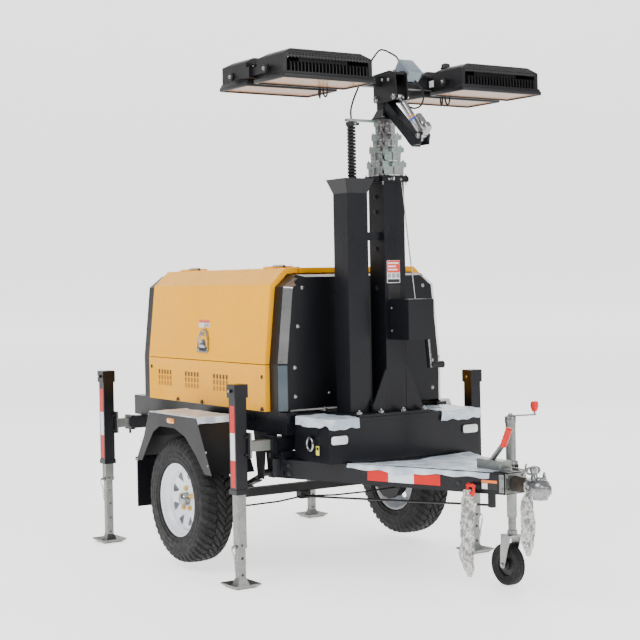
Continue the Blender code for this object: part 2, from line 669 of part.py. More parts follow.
def pad_lip(x, y, dx, dy, edge):
    """One turned-up side of a foot pad."""
    flat = edge - 0.020
    def at(along, across, z):
        return (x + dx * along + dy * across, y + dy * along + dx * across, z)
    return lofted([
        [at(flat - 0.003, -flat, 0.0005), at(edge, -edge, PAD_LIP - PAD_THICK), at(edge, -edge, PAD_LIP),
         at(flat - 0.003, -flat, PAD_THICK - 0.0005)],
        [at(flat - 0.003, flat, 0.0005), at(edge, edge, PAD_LIP - PAD_THICK), at(edge, edge, PAD_LIP),
         at(flat - 0.003, flat, PAD_THICK - 0.0005)]])


def canopy():
    """Side panels, two gull-wing doors, roof, end caps and the engine inside."""
    thick = PANEL_THICK
    for side, sign in (("right", -1), ("left", 1)):
        panel = sorted((sign * (SIDE_Y - thick), sign * SIDE_Y))
        lip = sorted((sign * (SIDE_Y - thick - LIP_WIDTH), sign * (SIDE_Y - thick + BITE)))
        shells = [box((CANOPY_REAR, CANOPY_FRONT), panel, (SIDE_BOTTOM, SEAM_Z - DOOR_GAP)),
                  box((CANOPY_REAR + 0.006, CANOPY_FRONT - 0.006), lip, (SIDE_BOTTOM, SIDE_BOTTOM + 0.016)),
                  box((CANOPY_REAR + 0.006, CANOPY_FRONT - 0.006), lip, (SEAM_Z - 0.045, SEAM_Z - 0.030))]
        cuts = []
        for centre in SLOT_GROUPS:
            for column in range(5):
                for row in range(3):
                    cuts.append(block((centre + SLOT_PITCH * (column - 2), sign * SIDE_Y,
                                       SLOT_Z + SLOT_RISE * (row - 1)), (SLOT_WIDE, 0.09, SLOT_TALL)))
        node(f"side_panel_{side}", "yellow_paint", shells, cuts)
        skin = door_section(sign)
        front, rear = CANOPY_FRONT, CANOPY_REAR
        shells = [prism(skin, "x", rear, front)]
        for x in HINGES_X:
            shells.append(rod((x - 0.050, sign * HINGE_Y, HINGE_Z), (x + 0.050, sign * HINGE_Y, HINGE_Z),
                              HINGE_RADIUS, 12))
            shells.append(box((x - 0.050, x + 0.050), sorted((sign * HINGE_Y, sign * (EDGE_Y - 0.006))),
                              (HINGE_Z - 0.012, HINGE_Z - 0.001)))
        latch = [(-0.045, 1.135), (-0.045, 1.160), (0.0, 1.245), (0.045, 1.160), (0.045, 1.135)]
        slope = (SIDE_Y - CREASE_Y) / (CREASE_Z - SEAM_Z)
        rings = [[(x - 0.13, sign * (SIDE_Y - slope * (z - SEAM_Z) + off), z) for x, z in latch]
                 for off in (-0.010, 0.007)]
        shells.append(lofted(rings))
        hinge_cut = [block((x, sign * (HINGE_Y - 0.030), HINGE_Z), (0.120, 0.036, 0.050)) for x in HINGES_X]
        node(f"door_{side}", "yellow_paint", shells, hinge_cut, origin=(0.0, sign * HINGE_Y, HINGE_Z))
    roof_half = HINGE_Y - 0.010
    roof = [(-roof_half, HINGE_Z - 0.006 - thick), (roof_half, HINGE_Z - 0.006 - thick),
            (roof_half, HINGE_Z - 0.008), (-roof_half, HINGE_Z - 0.008)]
    shells = [prism(roof, "x", CANOPY_REAR, CANOPY_FRONT)]
    leaf = HINGE_Y - HINGE_RADIUS - SEAT_GAP
    for sign in (-1, 1):
        for x in HINGES_X:
            shells.append(box((x - 0.048, x + 0.048), sorted((sign * leaf, sign * (leaf - 0.045))),
                              (HINGE_Z - 0.012, HINGE_Z + 0.003)))
        for x in (CANOPY_REAR + 0.030, CANOPY_FRONT - 0.030):
            shells.append(prism(post_section(sign), "x", x - 0.015, x + 0.015))
    node("roof_panel", "yellow_paint", shells)
    for name, face, sign in (("front", CANOPY_FRONT, 1), ("rear", CANOPY_REAR, -1)):
        end_cap(name, face, sign)
    node("engine", "engine_grey",
         [box((-0.60, 0.34), (-0.29, 0.29), (RAIL_TOP - 0.004 + SEAT_GAP, 1.380)),
          box((-0.50, 0.10), (-0.20, 0.20), (1.370, 1.455)),
          box((0.32, 0.44), (-0.20, 0.20), (0.90, 1.30))])


def post_section(sign):
    """A post of the canopy's inner frame, from the chassis up to the roof's underside."""
    out = SIDE_Y - PANEL_THICK - LIP_WIDTH - SEAT_GAP
    roof = HINGE_Z - PANEL_THICK
    outline = [(out, SIDE_BOTTOM), (out, SEAM_Z - 0.015), (CREASE_Y - 0.036, CREASE_Z - 0.058),
               (EDGE_Y - 0.023, EDGE_Z - 0.047), (HINGE_Y - 0.012, roof - 0.020), (HINGE_Y - 0.012, roof),
               (HINGE_Y - 0.040, roof), (HINGE_Y - 0.040, roof - 0.050), (EDGE_Y - 0.041, EDGE_Z - 0.077),
               (CREASE_Y - 0.064, CREASE_Z - 0.073), (out - 0.030, SEAM_Z - 0.015), (out - 0.030, SIDE_BOTTOM)]
    return [(sign * y, z) for y, z in outline]


def door_section(sign):
    """A door's bent section: side, shoulder and roof strip, one sheet of even thickness."""
    t = PANEL_THICK
    outside = [(SIDE_Y, SEAM_Z), (CREASE_Y, CREASE_Z), (EDGE_Y, EDGE_Z), (HINGE_Y - 0.004, HINGE_Z - 0.006)]
    inside = [(HINGE_Y - 0.004, HINGE_Z - 0.006 - t), (EDGE_Y - 0.012, EDGE_Z - t),
              (CREASE_Y - 0.0262, CREASE_Z - 0.014), (SIDE_Y - t, SEAM_Z)]
    return [(sign * y, z) for y, z in outside + inside]


def end_cap(name, face, sign):
    """A moulded black end of the canopy: flat face, chamfered edges, hollow behind."""
    start = face + sign * DOOR_GAP
    end = face + sign * CAP_LENGTH
    slim = CAP_INSET

    def section(inset, drop):
        half = [(CAP_SIDE_Y - inset, SIDE_BOTTOM + drop), (CAP_SIDE_Y - inset, SEAM_Z),
                (CAP_SHOULDER_Y + 0.041 - inset, CAP_SHOULDER_Z + 0.012 - drop * 0.4),
                (CAP_TOP_Y + 0.020 - inset * 0.8, CAP_TOP + 0.012 - drop)]
        return half + [(-y, z) for y, z in reversed(half)]

    shells = [lofted([[(x, y, z) for y, z in section(inset, drop)]
                      for x, inset, drop in ((start, 0.0, 0.0), (end - sign * slim, 0.0, 0.0),
                                             (end, slim + 0.005, 0.012))])]
    wall = CAP_THICK
    cut = lofted([[(x, y, z) for y, z in section(wall, wall)]
                  for x in (start - sign * 0.02, end - sign * wall)])
    node(f"end_cap_{name}", "black_plastic", shells, [cut])


def front_box():
    """The closed box between canopy and drawbar, with the mast's base plate on it."""
    lid = 0.012
    shells = [box((BOX_REAR, BOX_FRONT), (-BOX_HALF, BOX_HALF), (BOX_BOTTOM, BOX_TOP - lid)),
              box((BOX_REAR + 0.001, BOX_FRONT + 0.004), (-BOX_HALF - 0.004, BOX_HALF + 0.004),
                  (BOX_TOP - lid - 0.006, BOX_TOP))]
    for sign in (-1, 1):
        y = sign * (BOX_HALF + 0.012)
        ring = [(0.800 + 0.026 * math.cos(a), y, 0.690 + 0.030 * math.sin(a))
                for a in [math.tau * k / 10 for k in range(10)]]
        shells.append(swept(ring, 0.0055, 5, closed=True))
        shells.append(block((0.800, sign * (BOX_HALF + 0.007), 0.722), (0.030, 0.020, 0.018)))
    node("front_box", "black_paint", shells)
    base_low = BOX_TOP + SEAT_GAP
    shells = [box((BASE_REAR, BASE_FRONT), (BASE_RIGHT, BASE_LEFT), (base_low, base_low + BASE_THICK))]
    top = base_low + BASE_THICK
    for y in (-0.257, -0.128, 0.005, 0.133):
        shells.append(rod((0.920, y, top - BITE), (0.920, y, top + 0.009), 0.012, 6))
    for y in (-0.257, 0.133):
        shells.append(rod((0.623, y, top - BITE), (0.623, y, top + 0.009), 0.012, 6))
    node("mast_base", "black_paint", shells)


def mast():
    """Nested square tubes, each with a guiding collar on top and wear shoes at its foot."""
    foot = BOX_TOP + SEAT_GAP + BASE_THICK + SEAT_GAP
    last = len(MAST_SIDES) - 1
    for index, (side, low) in enumerate(zip(MAST_SIDES, COLLAR_BOTTOMS)):
        top = low + COLLAR_HEIGHT
        centre = (MAST_X, 0.0)
        bottom = foot
        outer, inner = frame_tube(centre, side, side - 2 * MAST_WALL, (bottom, top))
        shells = [outer]
        cuts = []
        flange = side + 2 * COLLAR_FLANGE
        shells.append(block((MAST_X, 0, top - COLLAR_HEIGHT / 2), (flange, flange, COLLAR_HEIGHT)))
        if index:
            shoe = MAST_SIDES[index - 1] - 2 * MAST_WALL - 2 * SLIDE_GAP
            shells.append(block((MAST_X, 0, bottom + SHOE_HEIGHT / 2 + 0.001), (shoe, shoe, SHOE_HEIGHT)))
        hollow = side - 2 * MAST_WALL
        ceiling = top - COLLAR_LIP
        cuts.append(box((MAST_X - hollow / 2, MAST_X + hollow / 2), (-hollow / 2, hollow / 2),
                        (bottom - 0.02, ceiling)))
        if index < last:
            bore = MAST_SIDES[index + 1] + 2 * SLIDE_GAP
            cuts.append(block((MAST_X, 0, top), (bore, bore, COLLAR_HEIGHT * 2)))
        for y in (-1, 1):
            shells.append(block((MAST_X + 0.3 * side, y * (flange / 2 + 0.010), top - COLLAR_HEIGHT / 2),
                                (0.030, 0.028, COLLAR_HEIGHT - 0.006)))
            shells.append(rod((MAST_X + 0.3 * side - 0.022, y * (flange / 2 + 0.014), top - COLLAR_HEIGHT / 2),
                              (MAST_X + 0.3 * side + 0.022, y * (flange / 2 + 0.014), top - COLLAR_HEIGHT / 2),
                              0.007, 8))
        if index == 0:
            for y in (-1, 1):
                shells.append(mast_gusset(y, bottom))
            shells.append(box((MAST_X - 0.011, MAST_X + 0.033), (DUCT_Y + DUCT_SIDE / 2 + SEAT_GAP, -side / 2 + BITE),
                              (1.665, 1.705)))
        if index == last:
            shells.append(box((MAST_X - 0.012, MAST_X + 0.012), (DUCT_Y - 0.030, -flange / 2 + BITE),
                              (top - 0.016, top - 0.004)))
        finish = "black_paint" if index == 0 else "zinc"
        node("mast_outer" if index == 0 else f"mast_section_{index}", finish, shells, cuts,
             origin=(MAST_X, 0.0, bottom))


def mast_gusset(sign, bottom):
    """A slanted plate that braces the foot of the mast, with a slot in it."""
    face = MAST_X + MAST_SIDES[0] / 2
    outline = [(sign * 0.055, bottom + 0.205), (sign * 0.055, bottom), (sign * 0.152, bottom),
               (sign * 0.152, bottom + 0.025), (sign * 0.070, bottom + 0.205)]
    return prism(outline, "x", face - 0.010, face + 0.002)


def duct():
    """The open square duct that the mast cable rises from, with a flared mouth."""
    foot = BOX_TOP + SEAT_GAP + BASE_THICK + SEAT_GAP
    half, mouth = DUCT_SIDE / 2, FUNNEL_SIDE / 2

    def ring(h, z):
        return [(DUCT_X + a * h, DUCT_Y + b * h, z) for a, b in ((1, 1), (-1, 1), (-1, -1), (1, -1))]

    outside = lofted([ring(half, foot), ring(half, DUCT_TOP), ring(mouth, FUNNEL_TOP)])
    inside = lofted([ring(half - DUCT_WALL, foot + 0.010), ring(half - DUCT_WALL, DUCT_TOP),
                     ring(mouth - DUCT_WALL, FUNNEL_TOP), ring(mouth - DUCT_WALL, FUNNEL_TOP + 0.02)])
    node("cable_duct", "black_paint", [outside], [inside])


def winch():
    """The winch cover on the mast, its crank and the taut lifting cable."""
    face = MAST_X + MAST_SIDES[0] / 2 + SEAT_GAP
    outline = [(face, WINCH_BOTTOM), (face, WINCH_TOP), (WINCH_FRONT, WINCH_TOP), (WINCH_FRONT, WINCH_BOTTOM)]
    hub = (WINCH_REAR + 0.050, WINCH_LEFT - BITE, 1.262)
    elbow = (hub[0], WINCH_LEFT + 0.022, hub[2])
    grip = (hub[0] + 0.030, WINCH_LEFT + 0.022, 1.048)
    shells = [prism(outline, "y", WINCH_RIGHT, WINCH_LEFT),
              rod(hub, (elbow[0], elbow[1] + 0.012, elbow[2]), 0.012),
              beam((elbow[0], elbow[1], elbow[2] + 0.012), (grip[0], grip[1], grip[2] - 0.010), 0.010, 0.026,
                   up=(0, 1, 0)),
              rod((grip[0], grip[1] - 0.002, grip[2]), (grip[0], grip[1] + 0.082, grip[2]), 0.015)]
    node("winch", "black_plastic", shells)
    low = Vector((WINCH_FRONT - 0.032, 0.030, WINCH_TOP + SEAT_GAP))
    high = Vector((MAST_X + MAST_SIDES[0] / 2 + COLLAR_FLANGE + 0.010, 0.030, COLLAR_BOTTOMS[0] - 0.002))
    node("winch_cable", "dark_metal",
         [rod(low + (high - low).normalized() * 0.001, high, CABLE_RADIUS, 8),
          box((MAST_X + MAST_SIDES[0] / 2 + SEAT_GAP, high.x + 0.010), (0.020, 0.040),
              (high.z - 0.030, high.z - 0.002))])


def drawbar_y(x):
    """Half the distance between the outer faces of the drawbar's rails."""
    share = (x - BAR_START_X) / (BAR_END_X - BAR_START_X)
    return BAR_START_Y + (BAR_END_Y - BAR_START_Y) * share


def drawbar():
    """Two rails that meet at the coupling, a cover plate and a cross member."""
    low = BAR_TOP - BAR_HEIGHT
    shells = []
    for sign in (-1, 1):
        ends = (BAR_START_X, BAR_END_X)
        outline = [(x, sign * drawbar_y(x)) for x in ends] + \
                  [(x, sign * (drawbar_y(x) - BAR_WIDTH * 1.076)) for x in reversed(ends)]
        shells.append(prism(outline, "z", low, BAR_TOP))
        shells.append(box((FRONT_JACK_X - 0.030, FRONT_JACK_X + 0.060),
                          sorted((sign * 0.440, sign * 0.515)),
                          (low + 0.010, SLEEVE_Z - SLEEVE_SIDE / 2 - SEAT_GAP)))
    cover = [(COVER_START_X, -drawbar_y(COVER_START_X) + 0.010), (BAR_END_X - 0.005, -BAR_END_Y + 0.002),
             (BAR_END_X - 0.005, BAR_END_Y - 0.002), (COVER_START_X, drawbar_y(COVER_START_X) - 0.010)]
    shells.append(prism(cover, "z", BAR_TOP - 0.003, BAR_TOP + COVER_THICK))
    shells.append(box((0.900, 0.950), (-drawbar_y(0.95) + 0.020, drawbar_y(0.95) - 0.020),
                      (low + 0.004, BAR_TOP - 0.004)))
    shells.append(box((BAR_END_X - 0.140, BAR_END_X + 0.002), (-0.052, 0.052), (low + 0.002, BAR_TOP - 0.001)))
    node("drawbar", "black_paint", shells)


def coupling():
    """Overrun housing with a gaiter, cast ball head with its handle, and the handbrake lever."""
    start = BAR_END_X + 0.002 + SEAT_GAP
    z = COUPLING_Z
    shells = [turned([(0, 0), (0.036, 0), (0.036, 0.035), (0.028, 0.045), (0.028, 0.100), (0, 0.100)],
                     (start, 0, z), (1, 0, 0), 12),
              box((BALL_X - 0.110, BALL_X - 0.020), (-0.034, 0.034), (z - 0.032, z + 0.031)),
              turned([(0, -0.052), (0.042, -0.052), (0.046, -0.020), (0.043, 0.010), (0.030, 0.032), (0, 0.038)],
                     (BALL_X, 0, z), (0, 0, 1), 12),
              swept([(BALL_X + 0.020, 0, z + 0.020), (BALL_X + 0.005, 0, z + 0.062),
                     (BALL_X - 0.040, 0, z + 0.083), (BALL_X - 0.100, 0, z + 0.080),
                     (BALL_X - 0.125, 0, z + 0.050), (BALL_X - 0.100, 0, z + 0.010)], 0.009, 6),
              box((BALL_X + 0.020, COUPLING_NOSE_X), (-0.020, 0.020), (z - 0.028, z + 0.012))]
    cuts = [turned([(0, -0.070), (BALL_RADIUS + 0.004, -0.070), (BALL_RADIUS, -0.035), (BALL_RADIUS, -0.020),
                    (0.016, 0.006), (0, 0.008)], (BALL_X, 0, z), (0, 0, 1), 12)]
    node("coupling", "cast_metal", shells, cuts)
    top = BAR_TOP + COVER_THICK + SEAT_GAP
    foot = (1.600, -0.020, top)
    shells = [box((1.520, 1.690), (-0.030, 0.030), (top, top + 0.045)),
              beam((foot[0], foot[1], top + 0.030), (1.700, foot[1], 0.735), 0.012, 0.024, up=(0, 1, 0)),
              rod((1.695, foot[1], 0.725), (1.735, foot[1], 0.800), 0.014)]
    node("handbrake", "black_paint", shells)


def jockey():
    """Clamped jockey tube with its crank, sliding leg, swivelling fork and wheel."""
    x, y = JOCKEY_X, JOCKEY_Y
    tube = rod((x, y, JOCKEY_TUBE_BOTTOM), (x, y, JOCKEY_TUBE_TOP), JOCKEY_TUBE_RADIUS, JOCKEY_SIDES)
    rail = drawbar_y(x) + SEAT_GAP
    cap_low = JOCKEY_TUBE_TOP - BITE
    crank_z = JOCKEY_TUBE_TOP + 0.016
    slope = (BAR_START_Y - BAR_END_Y) / (BAR_END_X - BAR_START_X)
    plate = [(x - 0.045, rail + 0.045 * slope), (x + 0.045, rail - 0.045 * slope),
             (x + 0.045, y - 0.010), (x - 0.045, y - 0.010)]
    shells = [tube, prism(plate, "z", BAR_TOP - BAR_HEIGHT + 0.010, BAR_TOP - 0.010),
              rod((x, y, BAR_TOP - 0.080), (x, y, BAR_TOP - 0.010), JOCKEY_TUBE_RADIUS + 0.008, JOCKEY_SIDES),
              rod((x, y, cap_low), (x, y, JOCKEY_TUBE_TOP + 0.026), JOCKEY_TUBE_RADIUS + 0.002, JOCKEY_SIDES),
              beam((x - 0.008, y - 0.012, crank_z + 0.010), (x + 0.066, y + 0.104, crank_z + 0.016), 0.018, 0.008),
              rod((x + 0.062, y + 0.098, crank_z + 0.016), (x + 0.062, y + 0.098, crank_z + 0.034), 0.006, 8),
              rod((x + 0.062, y + 0.098, crank_z + 0.032), (x + 0.062, y + 0.098, crank_z + 0.080), 0.0185, 12),
              rod((x + 0.020, y + 0.010, BAR_TOP - 0.045), (x + 0.075, y + 0.030, BAR_TOP - 0.045), 0.008, 8)]
    bore = rod((x, y, JOCKEY_TUBE_BOTTOM - 0.02), (x, y, cap_low), JOCKEY_LEG_RADIUS + SLIDE_GAP, JOCKEY_SIDES)
    node("jockey_tube", "zinc", shells, [bore])
    wheel_z = JOCKEY_WHEEL_RADIUS
    leg_low = wheel_z + 0.148
    node("jockey_leg", "zinc", [rod((x, y, leg_low), (x, y, JOCKEY_TUBE_TOP - 0.060), JOCKEY_LEG_RADIUS, JOCKEY_SIDES),
                                rod((x, y, leg_low), (x, y, leg_low + 0.020), JOCKEY_LEG_RADIUS + 0.005,
                                    JOCKEY_SIDES)],
         origin=(x, y, leg_low))
    axle_x = x - 0.035
    cheek_y = JOCKEY_WHEEL_WIDTH / 2 + RUN_GAP
    crown = leg_low - SLIDE_GAP
    shells = [box((x - 0.045, x + 0.028), (y - cheek_y - 0.004, y + cheek_y + 0.004), (crown - 0.010, crown))]
    for sign in (-1, 1):
        sides = sorted((y + sign * cheek_y, y + sign * (cheek_y + 0.005)))
        shells.append(prism([(axle_x - 0.016, wheel_z - 0.014), (axle_x + 0.016, wheel_z - 0.014),
                             (x + 0.027, crown - 0.001), (x - 0.044, crown - 0.001)], "y", *sides))
    shells.append(rod((axle_x, y - cheek_y - 0.014, wheel_z), (axle_x, y + cheek_y + 0.014, wheel_z), 0.008))
    node("jockey_fork", "zinc", shells, origin=(x, y, crown))
    half = JOCKEY_WHEEL_WIDTH / 2
    profile = [(0.0086, -half + 0.004), (0.030, -half + 0.004), (0.034, -half + 0.016), (0.068, -half + 0.016),
               (0.072, -half + 0.002), (0.088, -half), (JOCKEY_WHEEL_RADIUS, -half + 0.010),
               (JOCKEY_WHEEL_RADIUS, half - 0.010), (0.088, half), (0.072, half - 0.002),
               (0.068, half - 0.016), (0.034, half - 0.016), (0.030, half - 0.004), (0.0086, half - 0.004)]
    node("jockey_wheel", "rubber", [turned(profile, (axle_x, y, wheel_z), (0, 1, 0), 16)],
         origin=(axle_x, y, wheel_z))


def head():
    """Post and arm on the mast, tilting crossbar with four floodlights, actuator and junction box."""
    post_low = COLLAR_BOTTOMS[-1] + COLLAR_HEIGHT + SEAT_GAP
    half = POST_SIDE / 2
    x = HEAD_X
    shells = [block((x, 0, (post_low + POST_TOP) / 2), (POST_SIDE, POST_SIDE, POST_TOP - post_low)),
              block((x, 0, post_low + 0.004), (0.096, 0.096, 0.008)),
              lofted([[(x + a * s, b * s, z) for a, b in ((1, 1), (-1, 1), (-1, -1), (1, -1))]
                      for s, z in ((0.046, post_low + 0.005), (half - 0.004, post_low + 0.058))]),
              beam((x, 0, POST_TOP - 0.035), (ARM_END_X, 0, ARM_END_Z), 0.050, 0.050)]
    for sign in (-1, 1):
        y = sorted((sign * 0.021, sign * 0.029))
        shells.append(prism([(ARM_END_X - 0.050, ARM_END_Z + 0.012), (ARM_END_X - 0.022, ARM_END_Z - 0.012),
                             (ARM_END_X + 0.052, ARM_END_Z - 0.012), (LOW_PIN[0] + 0.018, LOW_PIN[1] + 0.010),
                             (LOW_PIN[0] - 0.006, LOW_PIN[1] + 0.020)], "y", *y))
    cuts = [rod((TILT_X, -0.05, TILT_Z), (TILT_X, 0.05, TILT_Z), 0.0066)]
    node("head_post", "black_paint", shells, cuts, origin=(x, 0, post_low))

    shells = [block((HEAD_X, 0, HEAD_BAR_Z), (BAR_SIDE, 2 * HEAD_BAR_HALF, BAR_SIDE))]
    plate = [(TILT_X - 0.022, TILT_Z - 0.014), (TILT_X + 0.015, TILT_Z - 0.024), (ROD_EYE[0] + 0.012, ROD_EYE[1] - 0.018),
             (ROD_EYE[0] + 0.022, ROD_EYE[1] + 0.006), (0.958, 2.478), (0.915, 2.492), (TILT_X - 0.022, 2.484)]
    inner = half + 0.0035
    for sign in (-1, 1):
        shells.append(prism(plate, "y", *sorted((sign * inner, sign * (inner + 0.006)))))
    shells.append(box((TILT_X - 0.010, 0.950), (-inner - 0.004, inner + 0.004), (2.470, 2.480)))
    shells.append(rod((TILT_X, -inner - 0.012, TILT_Z), (TILT_X, inner + 0.012, TILT_Z), 0.006))
    reach = LAMP_SPREAD + YOKE_HALF
    yoke = [(HEAD_X - reach, HEAD_BAR_Z - YOKE_HALF), (HEAD_X + reach, HEAD_BAR_Z - YOKE_HALF),
            (HEAD_X + reach, HEAD_BAR_Z + YOKE_HALF), (HEAD_X - reach, HEAD_BAR_Z + YOKE_HALF)]
    for side in (-1, 1):
        for end in (-1, 1):
            y = side * LAMP_Y + end * (LAMP_LONG / 2 + YOKE_OFFSET)
            shells.append(prism(yoke, "y", y - YOKE_THICK / 2, y + YOKE_THICK / 2))
    shells += junction_bracket()
    node("crossbar", "black_paint", shells, origin=(TILT_X, 0, TILT_Z))
    floodlights()


def junction_bracket():
    """The sloping plate under the junction box and the rib that carries it on the crossbar."""
    x, y, z = JUNCTION
    under = z - JUNCTION_SIZE[2] / 2 - SEAT_GAP
    plate = turned_about(box((x - 0.060, x + 0.060), (y - 0.045, y + 0.045), (under - 0.004, under)),
                         JUNCTION, (0, 1, 0), JUNCTION_TILT)
    turn = math.radians(JUNCTION_TILT)
    rib = []
    for along in (-0.050, -0.015):
        depth = under - 0.002 - z
        rib.append((x + along * math.cos(turn) + depth * math.sin(turn),
                    z - along * math.sin(turn) + depth * math.cos(turn)))
    foot_z = HEAD_BAR_Z + BAR_SIDE / 2 - BITE
    rib += [(HEAD_X + BAR_SIDE / 2 - 0.001, foot_z), (rib[0][0], foot_z)]
    return [plate, prism(rib, "y", y - 0.020, y + 0.020)]


def floodlights():
    """Four floodlights, before and behind the crossbar on both sides, held by bosses between the yokes."""
    gap = BAR_SIDE / 2 + RUN_GAP - 0.002
    places = [(side, fore) for side in (-1, 1) for fore in (-1, 1)]
    for number, (side, fore) in enumerate(places):
        x = sorted((HEAD_X + fore * gap, HEAD_X + fore * (gap + LAMP_WIDE)))
        shells = lamp_housing(x, side * LAMP_Y)
        for end in (-1, 1):
            wall = LAMP_LONG / 2 - LAMP_RIM
            stop = LAMP_LONG / 2 + YOKE_OFFSET - YOKE_THICK / 2 - SEAT_GAP
            shells.append(rod((HEAD_X + fore * LAMP_SPREAD, side * LAMP_Y + end * (wall - 0.004), HEAD_BAR_Z),
                              (HEAD_X + fore * LAMP_SPREAD, side * LAMP_Y + end * stop, HEAD_BAR_Z),
                              BOSS_RADIUS, 12))
        node(f"floodlight_{number + 1}", "lamp_black", shells)


def lamp_housing(x, y):
    """One housing between two limits in x: glazed frame, body, fins, end walls and the chamfered hood."""
    half = LAMP_LONG / 2
    top = LAMP_BOTTOM + LAMP_HEIGHT
    frame_top = LAMP_BOTTOM + LAMP_FRAME
    fin_low = LAMP_BOTTOM + 0.050
    fin_top = LAMP_BOTTOM + LAMP_FIN_TOP
    shells = [box(x, (y - half, y + half), (LAMP_BOTTOM, frame_top)),
              box((x[0] + 0.012, x[1] - 0.012), (y - half + 0.012, y + half - 0.012),
                  (frame_top - 0.002, fin_low + 0.002))]
    fin = [(x[0] + 0.014, fin_low), (x[1] - 0.014, fin_low), (x[1] - 0.024, fin_top), (x[0] + 0.024, fin_top)]
    first = half - LAMP_WALL - 0.020
    pitch = 2 * first / (FIN_COUNT - 1)
    for number in range(FIN_COUNT):
        at = y - first + pitch * number
        shells.append(prism(fin, "y", at - FIN_THICK / 2, at + FIN_THICK / 2))
    for end in (-1, 1):
        limits = sorted((y + end * (half - LAMP_RIM), y + end * (half - LAMP_WALL)))
        shells.append(box((x[0] + 0.018, x[1] - 0.018), limits, (frame_top - 0.002, fin_top + 0.002)))
    rings = []
    for inset, short, z in ((0.020, LAMP_RIM, fin_top - 0.002), (0.020, LAMP_RIM, fin_top + 0.014),
                            (0.040, 0.062, top)):
        rings.append([(x[0] + inset, y - half + short, z), (x[1] - inset, y - half + short, z),
                      (x[1] - inset, y + half - short, z), (x[0] + inset, y + half - short, z)])
    return shells + [lofted(rings)]


def actuator():
    """The electric actuator that tilts the head, its rod, the junction box and the cables."""
    low = Vector((LOW_PIN[0], 0, LOW_PIN[1]))
    eye = Vector((ROD_EYE[0], 0, ROD_EYE[1]))
    along = (eye - low).normalized()
    side = Vector((along.z, 0, -along.x))
    length = (eye - low).length
    shells = [rod(low - along * 0.006, low + along * (length - 0.040), 0.0175, 24),
              rod(low + side * 0.040 + along * 0.002, low + side * 0.040 + along * 0.095, 0.0185, 24),
              beam(low + side * 0.000 + along * 0.006, low + side * 0.058 + along * 0.006, 0.030, 0.030),
              rod(low + Vector((0, -0.0205, 0)) + along * 0.0, low + Vector((0, 0.0205, 0)), 0.013)]
    cuts = [rod(low + along * 0.016, low + along * (length + 0.02), 0.0106, 16)]
    node("actuator_body", "zinc", shells, cuts, origin=tuple(low))
    shells = [rod(low + along * 0.022, eye - along * 0.006, 0.0100, 16),
              rod(eye - Vector((0, 0.0200, 0)), eye + Vector((0, 0.0200, 0)), 0.0135, 16)]
    node("actuator_rod", "cast_metal", shells, origin=tuple(eye))
    pivot = Vector(JUNCTION)
    x, y, z = JUNCTION_SIZE
    case = block(JUNCTION, JUNCTION_SIZE)
    lid = block((pivot.x, pivot.y, pivot.z + z / 2 - 0.002), (x + 0.004, y + 0.004, 0.010))
    gland = rod((pivot.x - x / 2 + BITE, pivot.y, pivot.z), (pivot.x - x / 2 - 0.030, pivot.y, pivot.z), 0.011, 12)
    shells = [turned_about(shape, pivot, (0, 1, 0), JUNCTION_TILT) for shape in (case, lid, gland)]
    node("junction_box", "grey_box", shells)


def brake_linkage():
    """The lever under the drawbar, the rod to the axle and the cables to both drums."""
    lever_top = BAR_TOP - BAR_HEIGHT + 0.002 - SEAT_GAP
    low = lever_top - 0.080
    balance = WHEEL_Z - AXLE_BEAM / 2 - SEAT_GAP
    shells = [box((1.572, 1.600), (-0.012, 0.012), (low, lever_top)),
              rod((1.586, 0, low + 0.010), (0.020, 0, balance - 0.030), 0.0055, 8),
              box((-0.020, 0.030), (-0.030, 0.030), (balance - 0.040, balance))]
    for sign in (-1, 1):
        plate = sign * (WHEEL_Y - DRUM_INSET - 0.010 - SEAT_GAP)
        shells.append(swept([(0.010, sign * 0.020, balance - 0.030), (0.040, sign * 0.180, balance - 0.038),
                             (0.062, sign * 0.380, balance - 0.036), (0.062, plate - sign * 0.020, balance - 0.030),
                             (0.062, plate, balance - 0.030)], 0.005, 6))
    node("brake_linkage", "dark_metal", shells)


def safety_chains():
    """Two breakaway chains that hang in clear wrapping from the coupling's end of the drawbar."""
    slope = (BAR_START_Y - BAR_END_Y) / (BAR_END_X - BAR_START_X)
    swell = max(0.024 * slope * a + 0.0195 * b for a, b in ROUND_SECTION)
    hang = -(drawbar_y(1.600) + 2 * SEAT_GAP + swell)
    outside = [[(1.600 + a * w, hang + lean + b * d, z) for a, b in ROUND_SECTION]
               for z, w, d, lean in ((0.560, 0.024, 0.0195, 0.0), (0.505, 0.024, 0.0195, 0.0),
                                     (0.470, 0.040, 0.019, -0.002),
                                     (0.380, 0.034, 0.018, -0.008), (0.270, 0.030, 0.018, -0.010),
                                     (0.200, 0.020, 0.014, -0.008), (0.145, 0.006, 0.006, -0.006))]
    node("safety_chain_right", "clear_wrap", [lofted(outside)])
    top = COUPLING_Z - 0.032 - SEAT_GAP
    inside = [[(1.815 + a * w, 0.010 + b * d, z) for a, b in ROUND_SECTION]
              for z, w, d in ((top, 0.012, 0.012), (0.480, 0.030, 0.020), (0.380, 0.034, 0.022),
                              (0.300, 0.026, 0.018), (0.245, 0.007, 0.006))]
    node("safety_chain_left", "clear_wrap", [lofted(inside)])


def curly_cord():
    """The coiled cord between the duct's mouth and the clip on the top section."""
    top = COLLAR_BOTTOMS[-1] + COLLAR_HEIGHT - 0.016 - SEAT_GAP
    node("curly_cord", "rubber",
         [rod((MAST_X, DUCT_Y, FUNNEL_TOP - 0.060), (MAST_X, DUCT_Y, top), CURL_RADIUS, 16)],
         origin=(MAST_X, DUCT_Y, top))


